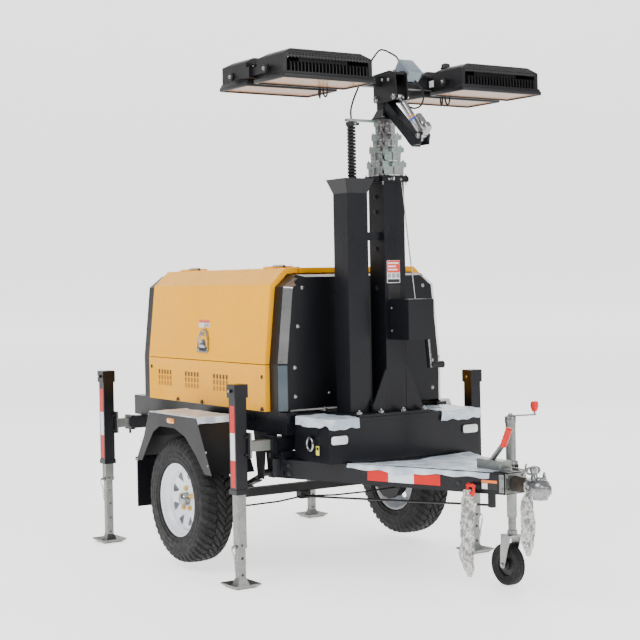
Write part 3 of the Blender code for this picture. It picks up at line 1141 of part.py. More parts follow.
def head_cable():
    """The cable from the clip on the top section up over the crossbar to the junction box."""
    clip = COLLAR_BOTTOMS[-1] + COLLAR_HEIGHT - 0.004 + 2 * SEAT_GAP
    turn = math.radians(JUNCTION_TILT)
    reach = JUNCTION_SIZE[0] / 2 + 0.030 + SEAT_GAP
    gland = Vector((JUNCTION[0] - reach * math.cos(turn), JUNCTION[1], JUNCTION[2] + reach * math.sin(turn)))
    away = Vector((-math.cos(turn), 0, math.sin(turn)))
    route = [(MAST_X, DUCT_Y, clip), (MAST_X, DUCT_Y, clip + 0.010), (MAST_X - 0.006, DUCT_Y + 0.004, clip + 0.045),
             (MAST_X - 0.030, -0.165, 2.360), (0.757, -0.110, 2.430), (0.748, -0.060, 2.510),
             (0.748, -0.010, 2.580), (0.745, 0.040, 2.622), tuple(gland + away * 0.038),
             tuple(gland + away * 0.010), tuple(gland)]
    curve = bpy.data.curves.new("head_cable", "CURVE")
    curve.dimensions = "3D"
    curve.bevel_depth = HEAD_CABLE_RADIUS
    curve.bevel_resolution = 2
    curve.use_fill_caps = True
    line = curve.splines.new("POLY")
    points = smooth_path(route, 3)
    line.points.add(len(points) - 1)
    for at, place in zip(line.points, points):
        at.co = (*place, 1.0)
    made = bpy.data.objects.new("head_cable", curve)
    bpy.context.scene.collection.objects.link(made)
    made.parent = TRAILER
    curve.materials.append(material("rubber"))


def smooth_path(route, steps):
    """Points on a smooth curve through the route, so many to each stretch."""
    route = [Vector(p) for p in route]
    padded = [route[0] * 2 - route[1], *route, route[-1] * 2 - route[-2]]
    points = []
    for a, b, c, d in zip(padded, padded[1:], padded[2:], padded[3:]):
        for k in range(steps):
            t = k / steps
            points.append(tuple(0.5 * (2 * b + (c - a) * t + (2 * a - 5 * b + 4 * c - d) * t * t
                                       + (3 * b - a - 3 * c + d) * t ** 3)))
    return points + [tuple(route[-1])]


def build():
    """Builds every piece under one empty at the axle's place."""
    global TRAILER
    clear_scene()
    TRAILER = bpy.data.objects.new("trailer", None)
    bpy.context.scene.collection.objects.link(TRAILER)
    TRAILER.location = (AXLE_X, 0.0, 0.0)
    road_wheels()
    axle()
    fenders()
    chassis()
    outriggers()
    canopy()
    front_box()
    mast()
    duct()
    winch()
    drawbar()
    coupling()
    jockey()
    head()
    actuator()
    brake_linkage()
    safety_chains()
    curly_cord()
    head_cable()


build()
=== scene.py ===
"""Looks of a trailer-mounted light tower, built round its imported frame.

Every new piece is a surface worked out on a grid with numpy, in metres and in the frame's own axes:
X runs forward to the coupling, Y to the tower's left and Z up. Sizes and places come from the frame's
nodes, or are named fields of the sub-assembly that owns them.
"""

import logging
import math
from collections.abc import Iterator, Sequence
from dataclasses import dataclass, field
from enum import Enum

import bmesh
import bpy
import numpy as np
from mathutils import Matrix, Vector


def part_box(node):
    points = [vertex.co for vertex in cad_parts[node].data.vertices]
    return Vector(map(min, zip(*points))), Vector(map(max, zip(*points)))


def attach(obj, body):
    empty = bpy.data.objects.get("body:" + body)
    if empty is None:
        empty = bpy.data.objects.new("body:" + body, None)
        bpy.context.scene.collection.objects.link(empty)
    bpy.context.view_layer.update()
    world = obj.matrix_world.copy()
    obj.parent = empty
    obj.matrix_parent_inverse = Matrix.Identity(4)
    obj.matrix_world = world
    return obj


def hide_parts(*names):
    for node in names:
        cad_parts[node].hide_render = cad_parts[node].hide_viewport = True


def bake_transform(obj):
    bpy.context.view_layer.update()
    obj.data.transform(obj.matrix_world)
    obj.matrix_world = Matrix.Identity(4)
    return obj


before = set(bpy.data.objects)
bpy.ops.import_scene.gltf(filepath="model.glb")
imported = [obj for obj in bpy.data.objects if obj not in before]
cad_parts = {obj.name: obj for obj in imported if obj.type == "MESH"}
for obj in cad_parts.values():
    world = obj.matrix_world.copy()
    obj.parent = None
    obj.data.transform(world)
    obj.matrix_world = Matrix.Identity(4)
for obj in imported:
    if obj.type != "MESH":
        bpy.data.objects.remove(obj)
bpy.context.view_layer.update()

Array = np.ndarray
Vector3 = tuple[float, float, float]
TURN = 2 * math.pi
MERGE = 1e-6                # points closer than this are one point
PIN_EDGE = 0.0008           # the bevel of a round bar's ends
MAST_X = 0.368              # the mast's middle, which the crossbar shares
BOX_AT = (0.434, 0.100, 2.500)      # the junction box's middle
BOX_TILT = 40.0             # how far the box leans back, in degrees
GLAND_REACH = 0.1053        # from the box's middle to where the head cable ends
LOG = logging.getLogger("light_tower")


class Side(Enum):
    """The tower's two sides; the value is the sign of Y."""

    RIGHT = -1
    LEFT = 1

    @property
    def word(self) -> str:
        """The side's name as the frame's nodes write it."""
        return self.name.lower()


class Place(Enum):
    """The two ends where outriggers stand."""

    FRONT = "front"
    REAR = "rear"


# Boxes of the frame

@dataclass(frozen=True)
class Extent:
    """The box that a node of the frame fills."""

    low: Array
    high: Array

    @classmethod
    def of(cls, node: str) -> "Extent":
        """The box of the node of that name."""
        low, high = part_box(node)
        return cls(np.array(low), np.array(high))

    @property
    def centre(self) -> Array:
        """The middle of the box."""
        return (self.low + self.high) / 2

    @property
    def size(self) -> Array:
        """The box's three sides."""
        return self.high - self.low


AXLE_X, WHEEL_Y, WHEEL_Z = Extent.of("tyre_left").centre


# Surfaces

@dataclass
class Surface:
    """Points of a piece, blocks of faces with the same number of corners, and each block's finish number."""

    points: Array
    faces: list[Array]
    finishes: list[int] = field(default_factory=list)

    def __post_init__(self) -> None:
        """Gives every block of faces the first finish if none is stated."""
        if not self.finishes:
            self.finishes = [0] * len(self.faces)

    def painted(self, number: int) -> "Surface":
        """The same surface with all its faces in another finish."""
        return Surface(self.points, self.faces, [number] * len(self.faces))

    def moved(self, by: Sequence[float]) -> "Surface":
        """The same surface shifted by a vector."""
        return Surface(self.points + np.asarray(by, float), self.faces, self.finishes)

    def placed(self, turn: Array, at: Sequence[float] = (0, 0, 0)) -> "Surface":
        """The surface with its points turned by a 3 by 3 matrix, then shifted to a place."""
        return Surface(self.points @ turn.T + np.asarray(at, float), self.faces, self.finishes)

    def repeated(self, at: Array, turns: Array | None = None) -> "Surface":
        """Copies of the surface, all computed in one array operation.

        Args:
            at: the (k, 3) places of the copies.
            turns: the (k, 3, 3) turns of the copies, or None if they aren't turned.

        Returns:
            One surface with k times the points: turn times point plus place.
        """
        at = np.asarray(at, float).reshape(-1, 3)
        count, own = len(at), len(self.points)
        base = np.broadcast_to(self.points, (count, own, 3))
        if turns is not None:
            base = np.einsum("kij,nj->kni", turns, self.points)
        shift = (np.arange(count) * own)[:, None, None]
        faces = [(block[None] + shift).reshape(-1, block.shape[1]) for block in self.faces]
        return Surface((base + at[:, None, :]).reshape(-1, 3), faces, self.finishes)


def joined(parts: Sequence[Surface]) -> Surface:
    """Several surfaces as one.

    Args:
        parts: the surfaces, each with its own finish numbers.

    Returns:
        A surface that holds all their points and faces.
    """
    starts = np.cumsum([0] + [len(part.points) for part in parts[:-1]])
    faces = [block + start for part, start in zip(parts, starts) for block in part.faces]
    finishes = [number for part in parts for number in part.finishes]
    return Surface(np.vstack([part.points for part in parts]), faces, finishes)


def grid(points: Array, wrap_rows: bool = False, wrap_columns: bool = False, capped: bool = False) -> Surface:
    """A sheet of four-sided faces over a table of points.

    Args:
        points: a (rows, columns, 3) array, the surface as a function of row and column.
        wrap_rows: whether the last row joins the first.
        wrap_columns: whether the last column joins the first.
        capped: whether the first and last rows are each closed by one face.

    Returns:
        The surface, with one face for each cell of the table.
    """
    rows, columns = points.shape[:2]
    index = np.arange(rows * columns).reshape(rows, columns)
    if wrap_rows:
        index = np.vstack([index, index[:1]])
    if wrap_columns:
        index = np.hstack([index, index[:, :1]])
    cells = np.stack([index[:-1, :-1], index[:-1, 1:], index[1:, 1:], index[1:, :-1]], axis=-1)
    faces = [cells.reshape(-1, 4)]
    if capped:
        ring = np.arange(columns)
        faces += [ring[::-1][None], (ring + (rows - 1) * columns)[None]]
    return Surface(points.reshape(-1, 3), faces)


def unit(vectors: Array) -> Array:
    """Vectors scaled to length 1."""
    return vectors / np.linalg.norm(vectors, axis=-1, keepdims=True)


def axes_of(axis: Sequence[float]) -> tuple[Array, Array, Array]:
    """Three directions at right angles, the last along an axis.

    Args:
        axis: the direction that the third one takes.

    Returns:
        Two directions across the axis and the unit axis itself, as a right-handed set.
    """
    along = unit(np.asarray(axis, float))
    helper = np.eye(3)[np.argmin(np.abs(along))]
    across = unit(np.cross(helper, along))
    return across, np.cross(along, across), along


def turned(profile: Sequence[Sequence[float]], centre: Sequence[float], axis: Sequence[float],
           count: int = 48) -> Surface:
    """A profile spun round an axis.

    The point for row i and angle a is the centre plus radius[i] times (cos a, sin a) in the plane
    across the axis, plus height[i] along it.

    Args:
        profile: rows of (radius, height along the axis).
        centre: the point that heights are counted from.
        axis: the direction of the axis.
        count: how many points there are round the axis.

    Returns:
        The spun surface; a radius of 0 at either end closes it there.
    """
    u, v, w = axes_of(axis)
    angle = np.arange(count) * TURN / count
    ring = np.cos(angle)[:, None] * u + np.sin(angle)[:, None] * v
    rows = np.asarray(profile, float)
    points = np.asarray(centre, float) + rows[:, None, :1] * ring[None] + rows[:, None, 1:] * w
    return grid(points, wrap_columns=True)


def pin(start: Sequence[float], end: Sequence[float], radius: float, count: int = 16) -> Surface:
    """A round bar from one point to another, with the edges of its ends taken off.

    Args:
        start: one end's middle.
        end: the other end's middle.
        radius: half its diameter.
        count: corners round it.

    Returns:
        The closed bar.
    """
    start, end = np.asarray(start, float), np.asarray(end, float)
    length = float(np.linalg.norm(end - start))
    edge = min(PIN_EDGE, radius / 3, length / 3)
    profile = [(0, 0), (radius - edge, 0), (radius, edge), (radius, length - edge), (radius - edge, length),
               (0, length)]
    return turned(profile, start, end - start, count)


def smooth(route: Sequence[Sequence[float]], steps: int = 8) -> Array:
    """A smooth path through some points, on the cubic whose slope at each point is half the step past it.

    Args:
        route: the points that the path goes through.
        steps: how many pieces there are between two of them.

    Returns:
        The path as an (n, 3) array.
    """
    given = np.asarray(route, float)
    padded = np.vstack([2 * given[0] - given[1], given, 2 * given[-1] - given[-2]])
    t = (np.arange(steps) / steps)[None, :, None]
    a, b, c, d = (padded[k:len(padded) - 3 + k][:, None] for k in range(4))
    points = 0.5 * (2 * b + (c - a) * t + (2 * a - 5 * b + 4 * c - d) * t**2 + (3 * b - a - 3 * c + d) * t**3)
    return np.vstack([points.reshape(-1, 3), given[-1:]])


def carried(profile: Array, path: Array, hint: Sequence[float] | None = None, closed: bool = False) -> Surface:
    """A closed profile carried along a path.

    The point for path step i and profile corner j is path[i] + a[j] side[i] + b[j] up[i], where side is
    the hint's part across the path and up is at right angles to both.

    Args:
        profile: (corners, 2) offsets across the path.
        path: (steps, 3) points.
        hint: a direction that the path never takes; if None, the one most at right angles to all of it.
        closed: whether the path ends where it begins.

    Returns:
        The carried surface, capped at both ends unless it is closed.
    """
    path = np.asarray(path, float)
    along = np.roll(path, -1, axis=0) - np.roll(path, 1, axis=0) if closed else np.gradient(path, axis=0)
    along = unit(along)
    if hint is None:
        hint = np.linalg.svd(along)[2][-1]
    side = np.broadcast_to(np.asarray(hint, float), path.shape)
    side = unit(side - np.sum(side * along, axis=1, keepdims=True) * along)
    up = np.cross(along, side)
    points = path[:, None] + (profile[None, :, :1] * side[:, None] + profile[None, :, 1:] * up[:, None])
    return grid(points, wrap_rows=closed, wrap_columns=True, capped=not closed)


def circle(radius: float, count: int = 12) -> Array:
    """The corners of a round profile."""
    angle = np.arange(count) * TURN / count
    return radius * np.stack([np.cos(angle), np.sin(angle)], axis=1)


def rounded(width: float, height: float, radius: float, steps: int = 4) -> Array:
    """The corners of a rectangle with rounded corners.

    The point at angle a is the centre of the corner in its quarter plus radius (cos a, sin a).

    Args:
        width: the whole size across.
        height: the whole size up.
        radius: the corners' radius.
        steps: how many pieces each corner has.

    Returns:
        A (4 * (steps + 1), 2) array, anticlockwise.
    """
    quarter = np.repeat(np.arange(4), steps + 1)
    angle = (quarter + np.tile(np.arange(steps + 1) / steps, 4)) * TURN / 4
    sign_x = np.where((quarter == 0) | (quarter == 3), 1, -1)
    sign_y = np.where(quarter < 2, 1, -1)
    x = sign_x * (width / 2 - radius) + radius * np.cos(angle)
    y = sign_y * (height / 2 - radius) + radius * np.sin(angle)
    return np.stack([x, y], axis=1)


def slab(outline: Sequence[Sequence[float]], axis: int, low: float, high: float) -> Surface:
    """A flat plate: an outline in the two other axes, carried along one axis of the frame.

    Args:
        outline: corners, in the order of the two axes that are left, X before Y before Z.
        axis: 0, 1 or 2, the axis that the plate's thickness runs along.
        low: where the plate starts on that axis.
        high: where it ends.

    Returns:
        The closed plate.
    """
    corners = np.asarray(outline, float)
    rings = [np.insert(corners, axis, level, axis=1) for level in (low, high)]
    return grid(np.stack(rings), wrap_columns=True, capped=True)


def box(low: Sequence[float], high: Sequence[float]) -> Surface:
    """A closed box between two corners; its piece gives it its edges.

    Args:
        low: the corner with the lowest values.
        high: the corner with the highest values.

    Returns:
        The closed box.
    """
    low, high = np.asarray(low, float), np.asarray(high, float)
    outline = [(low[0], low[1]), (high[0], low[1]), (high[0], high[1]), (low[0], high[1])]
    return slab(outline, 2, low[2], high[2])


def facing(axis: Sequence[float]) -> Array:
    """The 3 by 3 turn that brings Z round to an axis."""
    u, v, w = axes_of(axis)
    return np.stack([u, v, w], axis=1)


def about(axis: Sequence[float], degrees: float | Array) -> Array:
    """Turns round an axis, by the formula I cos a + (1 - cos a) n n' + sin a [n].

    Args:
        axis: the direction of the axis.
        degrees: one angle, or an array of them.

    Returns:
        A 3 by 3 matrix, or one for each angle.
    """
    n = unit(np.asarray(axis, float))
    angle = np.radians(np.asarray(degrees, float))[..., None, None]
    cross = np.array([[0, -n[2], n[1]], [n[2], 0, -n[0]], [-n[1], n[0], 0]])
    return np.eye(3) * np.cos(angle) + (1 - np.cos(angle)) * np.outer(n, n) + np.sin(angle) * cross


def bolt_head(size: float) -> Surface:
    """A hexagon head on its washer, standing on Z = 0 and facing +Z.

    Args:
        size: the bolt's nominal diameter; the head is 1.9 times as wide and 0.65 times as high.

    Returns:
        The closed head, with its corners taken off at the top.
    """
    wide, high = size * 0.95, size * 0.65
    base = size * 0.16
    head = turned([(0, base), (wide, base), (wide, base + high * 0.8), (wide * 0.84, base + high),
                   (wide * 0.45, base + high * 1.02), (0, base + high * 1.02)], (0, 0, 0), (0, 0, 1), 6)
    ring = turned([(0, -0.0005), (size * 1.15, -0.0005), (size * 1.15, base * 0.8), (size * 1.05, base),
                   (0, base)], (0, 0, 0), (0, 0, 1), 20)
    return joined([head, ring])


def bolts(size: float, at: Array, out: Sequence[float]) -> Surface:
    """Bolt heads of one size that all face the same way.

    Args:
        size: the size that bolt_head takes.
        at: the (k, 3) places of their undersides.
        out: the direction that they face.

    Returns:
        The heads.
    """
    return bolt_head(size).repeated(at, np.broadcast_to(facing(out), (len(at), 3, 3)))


def both_sides(one: Surface, places: Sequence[Sequence[float]]) -> Surface:
    """Copies of a small piece on the right and the left, each turned to face out.

    Args:
        one: the piece, facing +Z.
        places: its places on the left; the right ones have the other sign of Y.

    Returns:
        The copies, the right ones first.
    """
    at = np.vstack([np.array(places) * (1, side.value, 1) for side in Side])
    turns = np.repeat([facing((0, side.value, 0)) for side in Side], len(places), axis=0)
    return one.repeated(at, turns)


def dome_head(size: float) -> Surface:
    """A low round screw head of that diameter, standing on Z = 0 and facing +Z.

    Args:
        size: its diameter in metres.

    Returns:
        The closed head.
    """
    angle = np.linspace(0, TURN / 4, 6)
    rows = np.stack([size / 2 * np.cos(angle), size * 0.28 * np.sin(angle)], axis=1)
    return turned(np.vstack([[0, -0.0005], [size / 2, -0.0005], rows]), (0, 0, 0), (0, 0, 1), 16)


# Materials

class Recipe:
    """A material under construction: its shader and short ways to add and join nodes."""

    def __init__(self, name: str) -> None:
        """Starts a material of that name with one Principled shader.

        Args:
            name: the material's name.
        """
        self.material = bpy.data.materials.new(name)
        self.material.use_nodes = True
        self.tree = self.material.node_tree
        self.shader = self.tree.nodes["Principled BSDF"]

    def node(self, kind: str, settings: dict[str, object] | None = None, **inputs: object) -> bpy.types.Node:
        """A new node.

        Args:
            kind: the node's type, without its ShaderNode prefix.
            settings: attributes of the node to set.
            inputs: values or sockets for its inputs, named with _ for a space.

        Returns:
            The node.
        """
        made = self.tree.nodes.new("ShaderNode" + kind)
        for key, value in (settings or {}).items():
            setattr(made, key, value)
        for key, value in inputs.items():
            self.feed(made.inputs[key.replace("_", " ")], value)
        return made

    def feed(self, socket: bpy.types.NodeSocket, value: object) -> None:
        """Links a socket to an input, or sets the input to a plain value.

        Args:
            socket: the input to fill.
            value: a node's output, or a plain value.
        """
        if isinstance(value, bpy.types.NodeSocket):
            self.tree.links.new(value, socket)
        else:
            socket.default_value = value

    def set(self, **inputs: object) -> None:
        """Sets the shader's own inputs, named with _ for a space."""
        for key, value in inputs.items():
            self.feed(self.shader.inputs[key.replace("_", " ")], value)

    def place(self, stretch: Vector3 = (1, 1, 1)) -> bpy.types.NodeSocket:
        """The point on the piece, scaled by stretch."""
        point = self.node("TexCoord").outputs["Object"]
        return self.node("Mapping", Vector=point, Scale=stretch).outputs["Vector"]

    def noise(self, scale: float, detail: float = 3, rough: float = 0.5,
              stretch: Vector3 = (1, 1, 1)) -> bpy.types.NodeSocket:
        """A noise value from 0 to 1, with so many waves to the metre."""
        made = self.node("TexNoise", Vector=self.place(stretch), Scale=scale, Detail=detail, Roughness=rough)
        return made.outputs["Fac"]

    def spread(self, value: bpy.types.NodeSocket, low: float, high: float, to_low: float = 0.0,
               to_high: float = 1.0) -> bpy.types.NodeSocket:
        """A value's range from low to high brought to another range, and clipped there."""
        return self.node("MapRange", Value=value, From_Min=low, From_Max=high, To_Min=to_low,
                         To_Max=to_high).outputs["Result"]

    def tint(self, factor: bpy.types.NodeSocket, low: object, high: object) -> bpy.types.NodeSocket:
        """A colour that goes from low to high with the factor.

        Args:
            factor: where the colour stands between both, from 0 to 1.
            low: the colour at 0.
            high: the colour at 1.

        Returns:
            The colour's output.
        """
        made = self.node("Mix", {"data_type": "RGBA"})
        self.feed(made.inputs[0], factor)
        self.feed(made.inputs[6], low if isinstance(low, bpy.types.NodeSocket) else (*low, 1.0))
        self.feed(made.inputs[7], high if isinstance(high, bpy.types.NodeSocket) else (*high, 1.0))
        return made.outputs[2]

    def maths(self, kind: str, first: object, second: object = 0.0) -> bpy.types.NodeSocket:
        """The result of one sum on two values.

        Args:
            kind: the operation's name in Blender.
            first: its first value.
            second: its second value.

        Returns:
            The result's output.
        """
        made = self.node("Math", {"operation": kind})
        self.feed(made.inputs[0], first)
        self.feed(made.inputs[1], second)
        return made.outputs[0]

    def relief(self, height: bpy.types.NodeSocket, depth: float, strength: float = 1.0,
               edge: float = 0.0) -> None:
        """Gives the shader a bump of that depth in metres, and softened edges of radius edge.

        Args:
            height: the pattern, from 0 to 1.
            depth: its depth in metres.
            strength: the bump's strength.
            edge: the radius of softened edges in metres.
        """
        made = self.node("Bump", Height=height, Distance=depth, Strength=strength)
        if edge:
            self.feed(made.inputs["Normal"],
                      self.node("Bevel", {"samples": 4}, Radius=edge).outputs["Normal"])
        self.set(Normal=made.outputs["Normal"])


@dataclass(frozen=True)
class Finish:
    """One surface finish; each kind says how its material is made."""

    name: str

    def material(self) -> bpy.types.Material:
        """The finish's material, made once and then shared."""
        made = bpy.data.materials.get(self.name)
        return made or self.mixed(Recipe(self.name)).material

    def mixed(self, recipe: Recipe) -> Recipe:
        """Fills the recipe; each kind of finish has its own."""
        raise NotImplementedError


@dataclass(frozen=True)
class Paint(Finish):
    """Powder coat: a broad drift of shade, fine orange peel, a little dust on what faces up."""

    colour: Vector3
    shade: Vector3
    roughness: float = 0.32
    coat: float = 0.2
    peel: float = 0.00005
    dust: float = 0.018
    edge: float = 0.0016
    specular: float = 0.30

    def mixed(self, recipe: Recipe) -> Recipe:
        """Drift, dust and peel.

        Args:
            recipe: the material to fill.

        Returns:
            The same recipe.
        """
        drift = recipe.spread(recipe.noise(1.6, 4), 0.3, 0.7)
        colour = recipe.tint(drift, self.shade, self.colour)
        up = recipe.node("SeparateXYZ", Vector=recipe.node("NewGeometry").outputs["Normal"]).outputs["Z"]
        level = recipe.spread(up, 0.4, 1.0, 0.0, self.dust)
        patchy = recipe.maths("MULTIPLY", level, recipe.spread(recipe.noise(14, 6, 0.65), 0.35, 0.75))
        recipe.set(Base_Color=recipe.tint(patchy, colour, (0.45, 0.42, 0.38)))
        smudge = recipe.noise(7, 5, 0.6, (1, 1, 0.4))
        recipe.set(Roughness=recipe.spread(smudge, 0.3, 0.75, self.roughness - 0.05, self.roughness + 0.08))
        recipe.set(Coat_Weight=self.coat, Coat_Roughness=0.12, Specular_IOR_Level=self.specular)
        recipe.relief(recipe.noise(420, 2), self.peel, 0.6, self.edge)
        return recipe


@dataclass(frozen=True)
class Zinc(Finish):
    """Galvanised or zinc-plated steel: crystal patches, streaks and a faint coloured sheen."""

    light: Vector3 = (0.60, 0.61, 0.62)
    dark: Vector3 = (0.40, 0.41, 0.43)
    sheen_a: Vector3 = (0.60, 0.61, 0.62)
    sheen_b: Vector3 = (0.56, 0.58, 0.60)
    spangle: float = 70.0
    roughness: float = 0.36
    metal: float = 1.0
    edge: float = 0.0010
    sheen: float = 0.55             # the most that the coloured sheen takes over

    def mixed(self, recipe: Recipe) -> Recipe:
        """Crystals over streaks.

        Args:
            recipe: the material to fill.

        Returns:
            The same recipe.
        """
        crystal = recipe.node("TexVoronoi", Vector=recipe.place(), Scale=self.spangle).outputs["Color"]
        patch = recipe.node("SeparateXYZ", Vector=crystal).outputs["X"]
        streak = recipe.noise(18, 5, 0.6, (1, 1, 0.12))
        mix = recipe.maths("MULTIPLY_ADD", patch, 0.45)
        recipe.feed(mix.node.inputs[2], recipe.spread(streak, 0.25, 0.75, 0.0, 0.55))
        plain = recipe.tint(mix, self.dark, self.light)
        sheen = recipe.tint(recipe.spread(recipe.noise(9, 3, 0.5, (1, 1, 0.5)), 0.35, 0.65), self.sheen_a,
                            self.sheen_b)
        share = recipe.spread(recipe.noise(5, 2), 0.3, 0.7, 0.1, self.sheen)
        recipe.set(Base_Color=recipe.tint(share, plain, sheen))
        recipe.set(Metallic=self.metal)
        recipe.set(Roughness=recipe.spread(mix, 0.1, 0.9, self.roughness + 0.12, self.roughness - 0.08))
        recipe.relief(recipe.noise(160, 4, 0.6), 0.00012, 0.5, self.edge)
        return recipe


@dataclass(frozen=True)
class Rubber(Finish):
    """Moulded rubber: fine grain, with a paler bloom in patches."""

    colour: Vector3 = (0.0065, 0.0065, 0.007)
    bloom: Vector3 = (0.024, 0.0235, 0.023)
    roughness: float = 0.62
    grain: float = 900.0

    def mixed(self, recipe: Recipe) -> Recipe:
        """Bloom and grain.

        Args:
            recipe: the material to fill.

        Returns:
            The same recipe.
        """
        patch = recipe.spread(recipe.noise(22, 6, 0.7), 0.42, 0.78)
        recipe.set(Base_Color=recipe.tint(patch, self.colour, self.bloom))
        recipe.set(Roughness=recipe.spread(recipe.noise(60, 4), 0.3, 0.7, self.roughness - 0.08,
                                           self.roughness + 0.14))
        recipe.set(Specular_IOR_Level=0.28)
        recipe.relief(recipe.noise(self.grain, 3, 0.6), 0.00010, 0.5)
        return recipe


@dataclass(frozen=True)
class Moulded(Finish):
    """Plastic: an even colour with moulding grain."""

    colour: Vector3
    shade: Vector3
    roughness: float = 0.4
    grain: float = 500.0
    depth: float = 0.00005
    edge: float = 0.0008

    def mixed(self, recipe: Recipe) -> Recipe:
        """Slight mottling and grain.

        Args:
            recipe: the material to fill.

        Returns:
            The same recipe.
        """
        recipe.set(Base_Color=recipe.tint(recipe.spread(recipe.noise(12, 4), 0.3, 0.7), self.shade, self.colour))
        recipe.set(Roughness=recipe.spread(recipe.noise(30, 4), 0.3, 0.7, self.roughness - 0.06,
                                           self.roughness + 0.08))
        recipe.set(Specular_IOR_Level=0.32)
        recipe.relief(recipe.noise(self.grain, 2), self.depth, 0.7, self.edge)
        return recipe


@dataclass(frozen=True)
class Lens(Finish):
    """A coloured reflector or lens: small prisms under a smooth face."""

    colour: Vector3
    shade: Vector3
    pitch: float = 260.0
    roughness: float = 0.14
    coat: float = 0.5

    def mixed(self, recipe: Recipe) -> Recipe:
        """Prisms as a fine cell pattern.

        Args:
            recipe: the material to fill.

        Returns:
            The same recipe.
        """
        cell = recipe.node("TexVoronoi", {"feature": "DISTANCE_TO_EDGE"}, Vector=recipe.place(),
                           Scale=self.pitch, Randomness=0.15).outputs["Distance"]
        recipe.set(Base_Color=recipe.tint(recipe.spread(cell, 0.02, 0.3), self.shade, self.colour))
        recipe.set(Roughness=recipe.spread(recipe.noise(40, 3), 0.3, 0.7, self.roughness, self.roughness + 0.1))
        recipe.set(Coat_Weight=self.coat, Coat_Roughness=0.05, Specular_IOR_Level=0.32)
        recipe.relief(cell, 0.0004, 0.5)
        return recipe


@dataclass(frozen=True)
class Film(Finish):
    """Thin plastic film: milky or clear, with its creases painted lighter in the colour as painted highlights."""

    # colour is painted along the creases as their highlight; shade is the darker tone between them
    colour: Vector3
    shade: Vector3
    alpha: float
    crease: float
    depth: float
    roughness: float = 0.22

    def mixed(self, recipe: Recipe) -> Recipe:
        """Creases as folded noise: the distance of a noise value from its middle. The colour is painted lighter
        along the crease lines as a painted highlight, and the same mask raises the alpha and the bump.

        Args:
            recipe: the material to fill.

        Returns:
            The same recipe.
        """
        fold = recipe.maths("ABSOLUTE", recipe.maths("SUBTRACT", recipe.noise(self.crease, 3, 0.55), 0.5))
        crease_and_painted_highlight = recipe.spread(fold, 0.0, 0.12, 1.0, 0.0)
        # painted highlight: the base colour goes from the darker tone to the light colour along the crease lines
        recipe.set(Base_Color=recipe.tint(crease_and_painted_highlight, self.shade, self.colour))
        recipe.set(Alpha=recipe.spread(crease_and_painted_highlight, 0.0, 1.0, self.alpha, min(1.0, self.alpha + 0.35)))
        recipe.set(Roughness=self.roughness, Specular_IOR_Level=0.5)
        recipe.relief(recipe.maths("ADD", crease_and_painted_highlight, recipe.noise(self.crease * 2.7, 4)), self.depth, 0.8)
        return recipe


@dataclass(frozen=True)
class Glowing(Finish):
    """The lit face of a floodlight: rows of small diodes on a warm board behind glass."""

    board: Vector3 = (0.24, 0.090, 0.018)
    diode: Vector3 = (0.40, 0.20, 0.060)
    pitch: float = 0.0165

    def mixed(self, recipe: Recipe) -> Recipe:
        """Diodes where both sine waves of the board's X and Y are near their tops.

        Args:
            recipe: the material to fill.

        Returns:
            The same recipe.
        """
        point = recipe.node("SeparateXYZ", Vector=recipe.place())
        waves = [recipe.maths("SINE", recipe.maths("MULTIPLY", point.outputs[axis], TURN / self.pitch))
                 for axis in ("X", "Y")]
        spot = recipe.spread(recipe.maths("MINIMUM", *waves), 0.35, 0.6)
        drift = recipe.tint(recipe.spread(recipe.noise(5, 3), 0.3, 0.7), (0.15, 0.065, 0.020), self.board)
        recipe.set(Base_Color=recipe.tint(spot, drift, self.diode))
        recipe.set(Roughness=recipe.spread(spot, 0, 1, 0.35, 0.15), Coat_Weight=0.12, Coat_Roughness=0.10,
                   Specular_IOR_Level=0.2)
        recipe.set(Emission_Color=(1.0, 0.62, 0.26, 1.0), Emission_Strength=0.05)
        recipe.relief(spot, 0.0006, 0.6)
        return recipe


YELLOW = Paint("yellow_coat", (0.98, 0.450, 0.0), (0.93, 0.405, 0.0), 0.26, 0.05, 0.00003, 0.004, 0.0016, 0.10)
BLACK = Paint("black_coat", (0.0055, 0.0060, 0.0085), (0.0035, 0.0040, 0.0060), 0.30, 0.06, specular=0.24)
BLACK_CAP = Paint("black_cap_coat", (0.0055, 0.0060, 0.0080), (0.0035, 0.0040, 0.0055), 0.36, 0.04, 0.00008,
                  specular=0.24)
HOOD = Paint("hood_coat", (0.0190, 0.0190, 0.0205), (0.0130, 0.0130, 0.0140), 0.44, 0.04, 0.00005, 0.01, 0.0006)
STEEL_BLUE = Paint("glazed_blue", (0.055, 0.085, 0.100), (0.030, 0.048, 0.060), 0.16, 0.6, 0.00002, 0.0)
LAMP_BLACK = Paint("lamp_coat", (0.0060, 0.0060, 0.0070), (0.0040, 0.0040, 0.0050), 0.42, 0.05, 0.00005, 0.01,
                   0.0008)
WHITE = Paint("white_coat", (0.80, 0.83, 0.88), (0.70, 0.74, 0.80), 0.24, 0.4, 0.00004, 0.02, 0.0012)
DARK_METAL = Paint("axle_coat", (0.014, 0.0135, 0.0135), (0.008, 0.008, 0.008), 0.50, 0.0, 0.00015, 0.04)
ENGINE = Paint("engine_coat", (0.055, 0.058, 0.060), (0.035, 0.036, 0.038), 0.5, 0.0)
GREY_BOX = Paint("box_coat", (0.20, 0.245, 0.28), (0.15, 0.19, 0.22), 0.34, 0.15, 0.00005, 0.02, 0.0020)
GALVANISED = Zinc("galvanised_steel", (0.29, 0.30, 0.28), (0.16, 0.17, 0.16), (0.27, 0.285, 0.26),
                  (0.21, 0.225, 0.22), metal=0.90, roughness=0.38)
PLATED = Zinc("zinc_plated", (0.42, 0.43, 0.40), (0.16, 0.17, 0.17), (0.42, 0.30, 0.38), (0.26, 0.41, 0.34),
              spangle=13.0, roughness=0.32, sheen=0.75)
CAST = Zinc("cast_silver", (0.34, 0.345, 0.35), (0.16, 0.165, 0.17), (0.32, 0.325, 0.33), (0.24, 0.245, 0.26),
            spangle=120.0, roughness=0.30)
